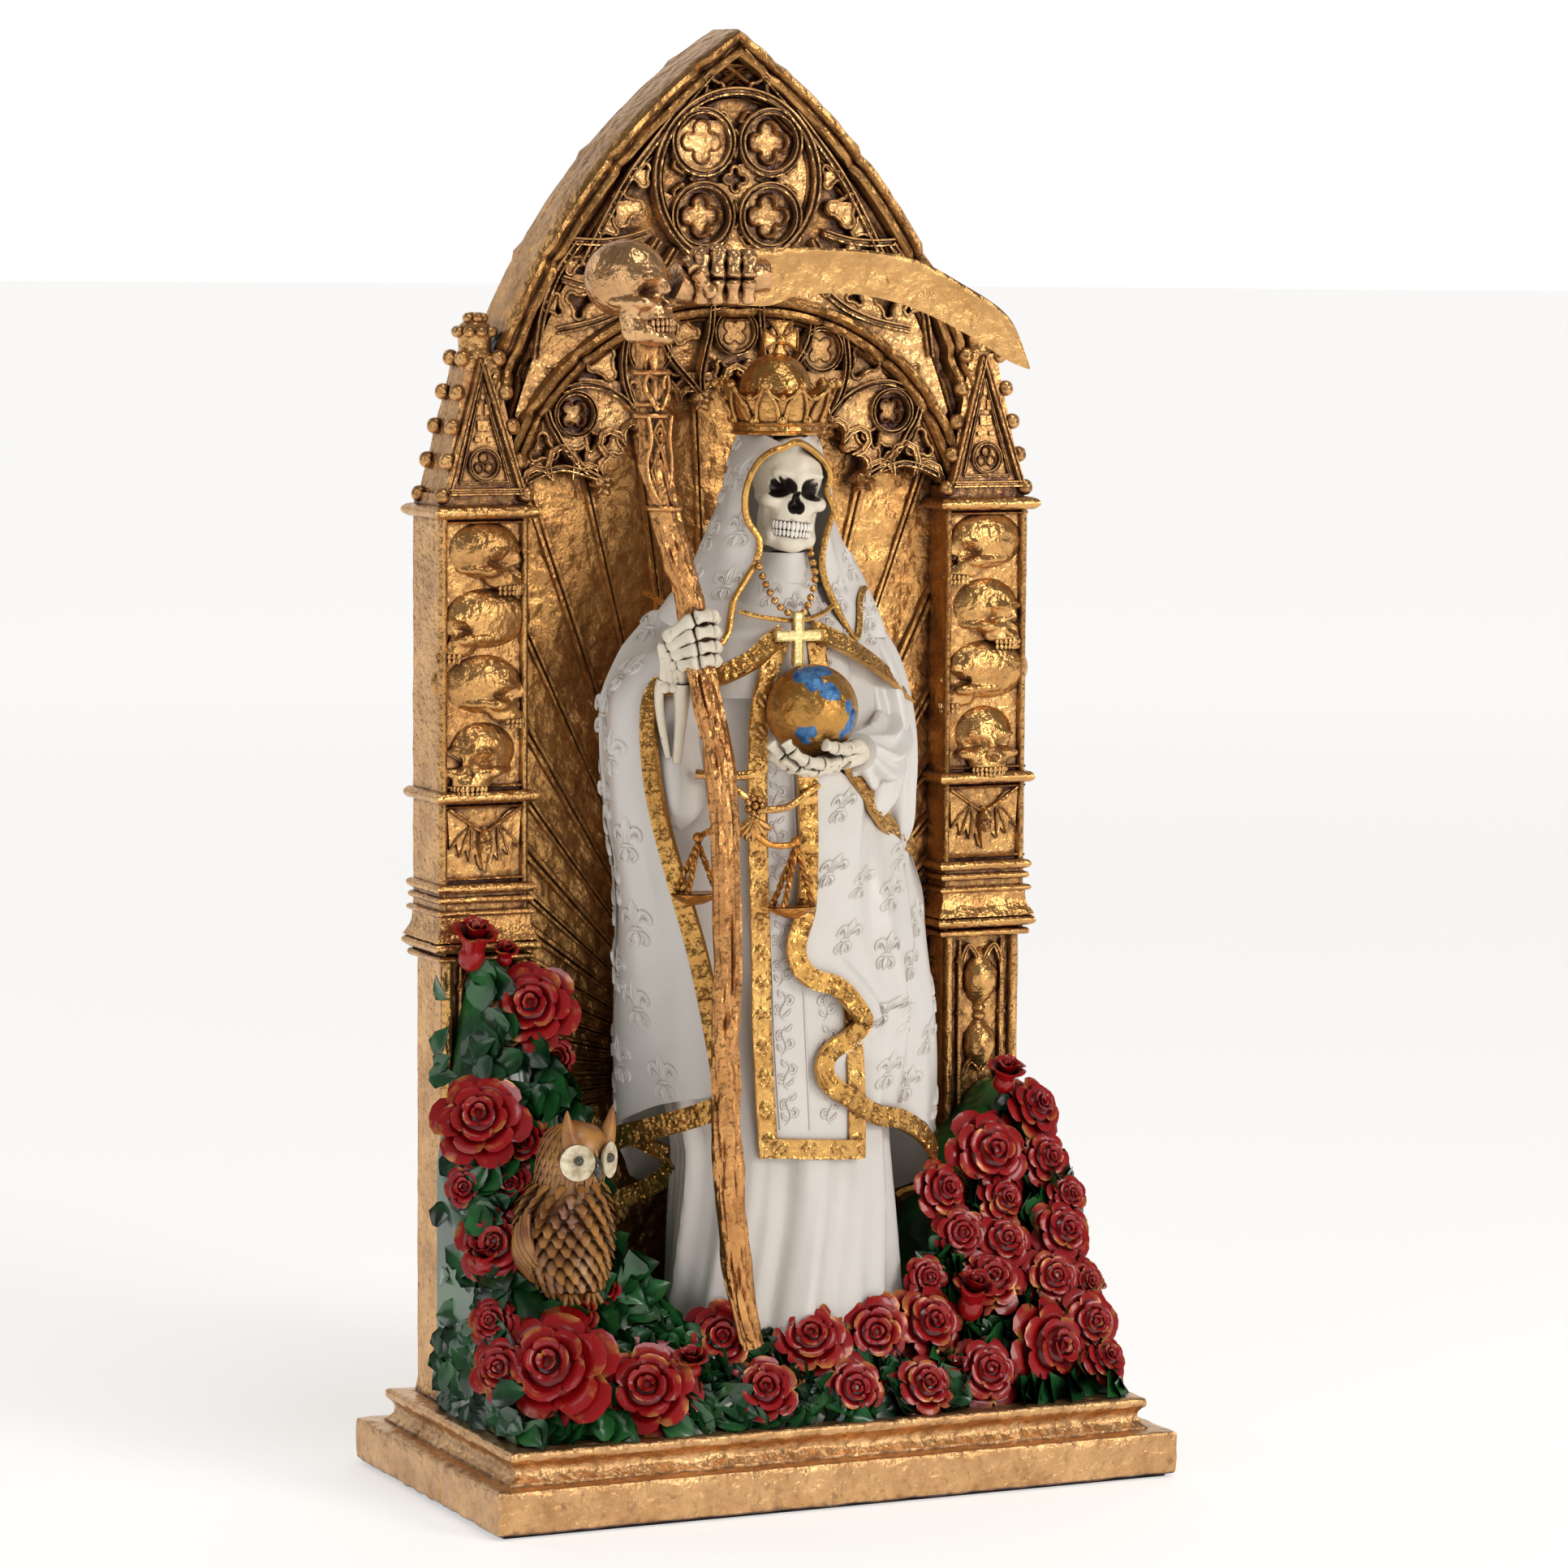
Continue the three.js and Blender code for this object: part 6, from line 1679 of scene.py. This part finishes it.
# Owl: a small resin casting glued on the roses at the figure's left foot. Rows of cupped feathers
# cover it; two tufts, pale discs round the eyes and a dark beak face right and forward.
owl_place = Vector((-91, -29, 76))
owl_levels = [
    (-1.5, 4, 4, 2, 0), (3, 9, 8.5, 2, -1), (9, 12.8, 10.8, 1, 0), (16, 15, 12.6, 0, 0),
    (24, 15.6, 13, -0.5, 0), (32, 14.4, 12.2, 0, 0), (39, 12, 11, 1, -0.5), (44, 12.6, 11.4, 2.2, -1),
    (50, 13, 11.8, 3, -2), (56, 11.4, 10.4, 3.2, -2), (60, 7.5, 7, 3.2, -2), (62, 0.5, 0.5, 3.2, -2)]


def owl_at(turn, height, off=0):
    """A place on the owl, off millimetres out from its body."""
    wide, deep, x, y = station(owl_levels, height)
    return owl_place + Vector((x + (wide + off) * sin(turn), y - (deep + off) * cos(turn), height))


def feather(turn, height, size, length, lift):
    """A cupped feather that hangs on the body, its round tip lifted off."""
    def place(u, v):
        share = 1 - abs(2 * v - 1)
        side = (u - 0.5) * 2
        wide = size * (0.55 + 0.45 * sin(pi * min(1, 0.2 + 0.75 * share)))
        cut = (1 - side * side) ** 0.5 if abs(side) < 1 else 0
        down = length * (share * (0.55 + 0.45 * cut) - 0.25)
        rim = min(1, 4 * min(u, 1 - u), 4 * min(share, 1 - share))
        off = -0.2 + lift * share + 0.8 * size * 0.5 * (1 - side * side) - (0 if v <= 0.5 else 0.75 * rim)
        return owl_at(turn + side * wide / 15, height - down, off)
    return closed(grid(4, 8, place))


def owl_body():
    def place(u, v):
        height = -1.5 + 63.5 * v
        return owl_at(tau * u, height)
    forms = [closed(grid(40, 36, place))]
    rows = [(39.5 - 3.3 * k, 12 + 2 * min(k, 4), 2.4 + 0.09 * k) for k in range(12)]
    for k, (height, count, size) in enumerate(rows):
        for j in range(count):
            turn = tau * (j + 0.5 * (k % 2)) / count + 0.05 * sin(5 * j + k)
            forms.append(feather(turn, height, size * 0.92, 4.3 + 0.1 * k, 2.9))
    for k in range(6):
        for j in range(22):
            turn = tau * (j + 0.5 * (k % 2)) / 22
            if k > 1 or abs((turn - 0.45 + pi) % tau - pi) > 0.95:
                forms.append(feather(turn, 58.5 - 3.1 * k if k else 59.5, 1.25, 4.2, 0.5))
    for k in range(7):
        turn = -1.25 - 0.12 * k
        line = [owl_at(turn + 0.28 * t, 32 - 2.6 * k - (19 - 1.3 * k) * t, 1.8 + 0.8 * sin(pi * t))
                for t in (0, 0.25, 0.5, 0.75, 1)]
        forms.append(limb(
            smooth_line(line, 8), lambda t, turn: 0.4 + 1.7 * sin(pi * min(1, 0.12 + 0.8 * t)), 8))
    for side, turn in ((-1, -0.45), (1, 1.3)):
        root = owl_at(turn, 53.5, -2)
        tip = root + Vector((side * 2.6 + 0.4, -0.5, 13.5))
        tuft = [root.lerp(tip, k / 8) + Vector((side * 0.6 * sin(pi * k / 8), 0, 0)) for k in range(9)]
        forms.append(limb(tuft, lambda t, turn: 0.25 + 3.6 * (1 - t) ** 0.8, 12))
    for x in (-2.5, 6):
        for toe in (-1, 0, 1):
            start = owl_place + Vector((x, -9, 1.5))
            forms.append(limb(
                [start, start + Vector((toe * 1.8, -2.5, -0.3)), start + Vector((toe * 2.8, -4.6, -2.6))],
                lambda t, turn: 1.6 - 0.9 * t, 8))
    return forms


def owl_paint():
    """Ochre paint, mottled; painted shade turns it dark brown in the hollows, so the open feather tips stay
    paler.
    """
    material, shader, space = finish_named(
        "ochre_feather_paint", Roughness=0.42, Coat_Weight=0.3, Coat_Roughness=0.25)
    cloud = node(material, "TexNoise", {"Vector": space, "Scale": 90, "Detail": 4})
    hue = node(material, "ValToRGB", {"Fac": cloud})
    stops(hue, (0.3, "#7E4416"), (0.66, "#C48A44"))
    # Painted shade: ambient occlusion mixes dark brown into the ochre in the hollows between feathers.
    hollow = node(material, "AmbientOcclusion", {"Distance": 0.003}, samples=8)
    depth = node(material, "MapRange", {"Value": hollow.outputs["AO"], "From Min": 0.35, "From Max": 0.95})
    colour = node(material, "Mix", {"Factor": depth, "A": paint("#2E1406"), "B": hue}, data_type="RGBA")
    bump = node(material, "Bump", {"Height": cloud, "Strength": 0.3, "Distance": 0.0008})
    feed(shader, {"Base Color": colour, "Normal": bump})
    return material


def speckled(name, pale, dark, low, high, rough=0.35, scale=300):
    """Enamel whose pale and dark tones run into each other in soft spots."""
    material, shader, space = finish_named(name, Roughness=rough, Coat_Weight=0.4, Coat_Roughness=0.15)
    spot = node(material, "TexNoise", {"Vector": space, "Scale": scale, "Detail": 3})
    mix = node(material, "MapRange", {"Value": spot, "From Min": low, "From Max": high})
    colour = node(material, "Mix", {"Factor": mix, "A": paint(dark), "B": paint(pale)}, data_type="RGBA")
    feed(shader, {"Base Color": colour})
    return material


def owl_disc(turn, wide):
    """A shallow dish round an eye."""
    middle = owl_at(turn, 49, 0.9)
    facing = (middle - owl_at(turn, 49, -3)).normalized()
    across = Vector((0, 0, 1)).cross(facing).normalized()
    up = facing.cross(across)

    def place(u, v):
        share = 1 - abs(2 * v - 1)
        way = across * cos(tau * u) * wide + up * sin(tau * u) * 6.4
        dish = 0.9 * share ** 2 if v <= 0.5 else -1.2 * (1 - share ** 4)
        return middle + way * share + facing * dish
    return closed(grid(28, 12, place)), middle + facing * 0.4 + across * 0.5 + up * 0.6


discs = [owl_disc(-0.28, 6.2), owl_disc(0.68, 5.2)]
casting("owl_body", owl_body(), owl_paint(), "owl", sharp=50)
casting("owl_discs", [form for form, _ in discs],
        speckled("cream_enamel", "#EFE3C4", "#B09A6E", 0.3, 0.6), "owl")
eyes = [bead(*middle, 1.75, 3) for _, middle in discs]
beak_root = owl_at(0.2, 46.5, 0.5)
hook = [beak_root + Vector((0.3 * k, -0.75 * k * (1 - 0.05 * k), 1.5 - 0.25 * k * k)) for k in range(6)]
beak = limb(hook, lambda t, turn: 3 * (1 - t) ** 0.7 + 0.1, 10)
casting(
    "owl_eyes_and_beak", [*eyes, beak], speckled("dark_enamel", "#5A5648", "#14120F", 0.35, 0.65, 0.22),
    "owl")

# Rose bank: a cast mound of leaves with roses pushed into it, along the step and up both pillars.
# Glossy red enamel with gold rubbed on the petals' edges; the leaves are painted in dark greens.
roses = [
    (-101, -43, 53, 21.5), (-67, -46, 43, 18.6), (-86, -29, 68, 7.4), (-74, -26, 76, 5.2),
    (-112, -19, 94, 14.5), (-113, -5, 136, 16), (-88, 9, 173, 15.5), (-97, -8, 126, 11),
    (-117, -36, 53, 11.5), (-104, -12, 113, 8.7), (-117, -27, 68, 8.7), (-80, 3, 155, 6),
    (-35, -38, 58, 12.7), (-23, -49, 40, 14), (-2, -41, 56, 15), (11, -50, 38, 12.7), (24, -40, 56, 14),
    (46, -39, 57, 15), (39, -51, 37, 12.7), (65, -49, 40, 12.7), (75, -32, 70, 12.7), (93, -45, 46, 16.7),
    (111, -41, 53, 12), (114, -47, 41, 9.6), (100, -32, 69, 11.4), (114, -31, 66, 8.7),
    (108, -24, 84, 12), (83, -25, 82, 12), (67, -23, 86, 10), (63, -16, 101, 10.7), (86, -19, 96, 10),
    (85, -10, 112, 16), (108, -11, 109, 10), (107, -3, 127, 11.5), (114, -17, 96, 8), (50, -31, 72, 8),
    (-118, -4, 112, 7), (-72, -6, 118, 6.5)]
rose_buds = [
    (63, -40, 63, 8.5, 0), (96, 0, 137, 7.4, 0), (-108, 16, 192, 8.6, 0), (-96, 15, 190, 5, 0),
    (-117, -20, 88, 7, -20), (-81, 4, 150, 4.2, 0), (52, -47, 40, 5.5, 10), (-50, -47, 50, 6.4, -10),
    (118, -28, 62, 5, 20)]
whorls = [
    (3, 0.17, 0.8, 2.3, 0.05), (4, 0.36, 0.84, 1.75, 0.1), (5, 0.6, 0.7, 1.45, 0.22),
    (6, 0.84, 0.5, 1.22, 0.34), (6, 1.04, 0.24, 1.15, 0.42)]
chance = random.Random(11)


def petal(size, turn, radius, top, span, curl, tall=1):
    """One petal of a rose that looks up: a cupped leaf with both faces, its rim rolled outwards."""
    wave = chance.uniform(0, tau)

    def place(u, v):
        share = 1 - abs(2 * v - 1)
        side = 2 * u - 1
        rise = share * (1 - 0.2 * side ** 4 * share)
        spread = radius * (0.3 + 0.7 * rise ** 0.8) + curl * max(0, rise - 0.72) ** 1.2 * 1.6
        height = (top * sin(0.5 * pi * rise ** 0.85) - curl * 1.1 * max(0, rise - 0.78)
                  + 0.03 * sin(3 * side + wave) * share) * tall
        inner = 0 if v <= 0.5 else 0.055 * min(1, 5 * min(u, 1 - u, share, 1 - share))
        angle = turn + side * span * (0.42 + 0.1 * rise)
        spread = spread * (1 - 0.1 * side * side) - inner
        return Vector((spread * sin(angle), -spread * cos(angle), height - 0.25 - inner * 0.5)) * size
    return closed(grid(6, 12, place))


def flower(x, y, z, size, count=5, tall=1, facing=None):
    """A rose: whorls of petals round a rolled heart, turned to face outwards."""
    forms = []
    for petals, radius, top, span, curl in whorls[:count]:
        start = chance.uniform(0, tau)
        scale = whorls[count - 1][1]
        for j in range(petals):
            forms.append(petal(
                size / scale * (0.97 + 0.06 * chance.random()), start + tau * j / petals, radius, top,
                span, curl, tall))
    cup = bead(0, 0, -0.12 * size, 0.62 * size, 3)
    bmesh.ops.scale(cup, vec=(1, 1, 0.8 * tall), verts=cup.verts)
    forms.append(cup)
    way = facing or Vector((
        0.0045 * x - 0.25 + chance.uniform(-0.22, 0.22), -1, 0.4 + chance.uniform(-0.2, 0.25)))
    turned_out = way.normalized().to_track_quat("Z", "Y").to_matrix().to_4x4()
    matrix = Matrix.Translation((x, y, z)) @ turned_out
    for form in forms:
        bmesh.ops.transform(form, matrix=matrix, verts=form.verts)
    return forms


blooms = []
for x, y, z, size in roses:
    blooms += flower(x, y, z, size, 5 if size > 7.4 else 4)
for x, y, z, size, lean in rose_buds:
    blooms += flower(
        x, y, z, size * 0.9, 3, 1.5 if size > 8 else 1.25, Vector((sin(radians(lean)), -0.45, 1)))


def petal_paint():
    """Glossy red enamel: painted shade makes it dark between the petals; gold rubbed on their edges."""
    material, shader, space = finish_named(
        "red_enamel_with_gilt_edges", Roughness=0.38, Coat_Weight=0.45, Coat_Roughness=0.09,
        Specular_IOR_Level=0.3)
    # Painted shade: ambient occlusion mixes near-black red into the enamel between the petals.
    hollow = node(material, "AmbientOcclusion", {"Distance": 0.005}, samples=8)
    depth = node(material, "MapRange", {"Value": hollow.outputs["AO"], "From Min": 0.15, "From Max": 0.8})
    red = node(
        material, "Mix", {"Factor": depth, "A": paint("#2C0104"), "B": paint("#A0090F")},
        data_type="RGBA")
    patch = node(material, "TexNoise", {"Vector": space, "Scale": 130, "Detail": 4})
    edge = node(material, "NewGeometry").outputs["Pointiness"]
    ridge = node(material, "MapRange", {"Value": edge, "From Min": 0.56, "From Max": 0.66})
    rubbed = node(material, "MapRange", {"Value": patch, "From Min": 0.52, "From Max": 0.62})
    gold = node(material, "Math", {0: ridge, 1: rubbed}, operation="MULTIPLY")
    colour = node(material, "Mix", {"Factor": gold, "A": red, "B": paint("#D69A50")}, data_type="RGBA")
    metal = node(material, "Math", {0: gold, 1: 0.7}, operation="MULTIPLY")
    bump = node(material, "Bump", {"Height": patch, "Strength": 0.3, "Distance": 0.001})
    feed(shader, {"Base Color": colour, "Metallic": metal, "Normal": bump})
    return material


def leaf_paint():
    """Dark green enamel, mottled, with painted shade that makes it nearly black deep down."""
    material, shader, space = finish_named(
        "green_enamel", Roughness=0.27, Coat_Weight=0.5, Coat_Roughness=0.15)
    patch = node(material, "TexNoise", {"Vector": space, "Scale": 55, "Detail": 3})
    hue = node(material, "ValToRGB", {"Fac": patch})
    stops(hue, (0.35, "#0B2A16"), (0.68, "#2A7034"))
    # Painted shade: ambient occlusion mixes near black into the green deep in the bank.
    hollow = node(material, "AmbientOcclusion", {"Distance": 0.007}, samples=8)
    depth = node(material, "MapRange", {"Value": hollow.outputs["AO"], "From Min": 0.12, "From Max": 0.7})
    colour = node(material, "Mix", {"Factor": depth, "A": paint("#040906"), "B": hue}, data_type="RGBA")
    feed(shader, {"Base Color": colour})
    return material


bank_line = [
    (-121, 92), (-112, 150), (-104, 186), (-96, 188), (-86, 168), (-74, 132), (-64, 88), (-52, 62),
    (-20, 54), (20, 54), (48, 60), (60, 82), (74, 106), (88, 122), (102, 134), (112, 124), (119, 80)]


def bank_crest(x):
    return station([(a, b, 0, 0) for a, b in bank_line], max(-121, min(119, x))).x


def bank_front(x, z):
    if z <= 60:
        return -55 + 0.72 * (z - step_top)
    return -32 + (0.38 if x < 0 else 0.5) * (z - 60)


def bank_mound():
    """The lumpy ground under the leaves."""
    def place(u, v):
        x = -117 + 233 * v
        crest = bank_crest(x)
        corner = round(u * 12)
        share = (0, 0.5, 1, 1, 0.86, 0.72, 0.56, 0.4, 0.28, 0.16, 0.06, 0)[corner % 12]
        z = step_top + 0.2 + (crest - step_top) * share
        rear = 27 if abs(x) > 70 else 20
        lump = 3.4 * noise.noise(Vector((x, z, 0)) / 6)
        if corner % 12 in (0, 1, 2):
            return Vector((x, rear, z))
        return Vector((x, bank_front(x, z) + (7 if corner == 3 else 4) + lump, z))
    return closed(grid(12, 110, place))


def leaf_form(x, y, z, size, way, roll):
    """A serrated leaf, folded along its midrib, with both faces."""
    def place(u, v):
        share = 1 - abs(2 * v - 1)
        side = 2 * u - 1
        teeth = 1 + 0.15 * (1 - 2 * ((share * 3) % 1))
        wide = 0.36 * sin(pi * min(1, 0.06 + 0.94 * share) ** 0.85) * teeth
        fold = 0.34 * abs(side) * wide + 0.05 * sin(share * 3 * tau) * abs(side)
        inner = 0 if v <= 0.5 else 0.06 * min(1, 5 * min(u, 1 - u, share, 1 - share))
        return Vector((side * wide, share - 0.45, fold - 0.22 * (share - 0.4) ** 2 - inner)) * size
    form = closed(grid(4, 12, place))
    matrix = (Matrix.Translation((x, y, z)) @ way.to_track_quat("Z", "Y").to_matrix().to_4x4()
              @ Matrix.Rotation(roll, 4, "Z"))
    bmesh.ops.transform(form, matrix=matrix, verts=form.verts)
    return form


leaves = []
while len(leaves) < 600:
    x = chance.uniform(-119, 118)
    z = step_top + 2 + (bank_crest(x) - step_top) * chance.random()
    y = bank_front(x, z) - 0.5 + chance.uniform(-2.5, 2)
    if any(dist((x, z), (a, c)) < 0.62 * size for a, b, c, size in roses):
        continue
    way = Vector((0.012 * x + chance.uniform(-0.8, 0.8), -1, 0.4 + chance.uniform(-0.6, 0.7))).normalized()
    size = chance.uniform(11, 18)
    if len(leaves) < 90:
        x, y = copysign(117.5, x), chance.uniform(y, 24)
        way = Vector((copysign(1, x), chance.uniform(-0.9, 0.2), chance.uniform(-0.2, 0.7))).normalized()
        size = chance.uniform(9, 14)
    leaves.append(leaf_form(x, y, z, size, way, chance.uniform(0, tau)))
casting("rose_flowers", blooms, petal_paint(), "rose_bank", sharp=60)
casting("rose_leaves", [bank_mound(), *leaves], leaf_paint(), "rose_bank", sharp=60)
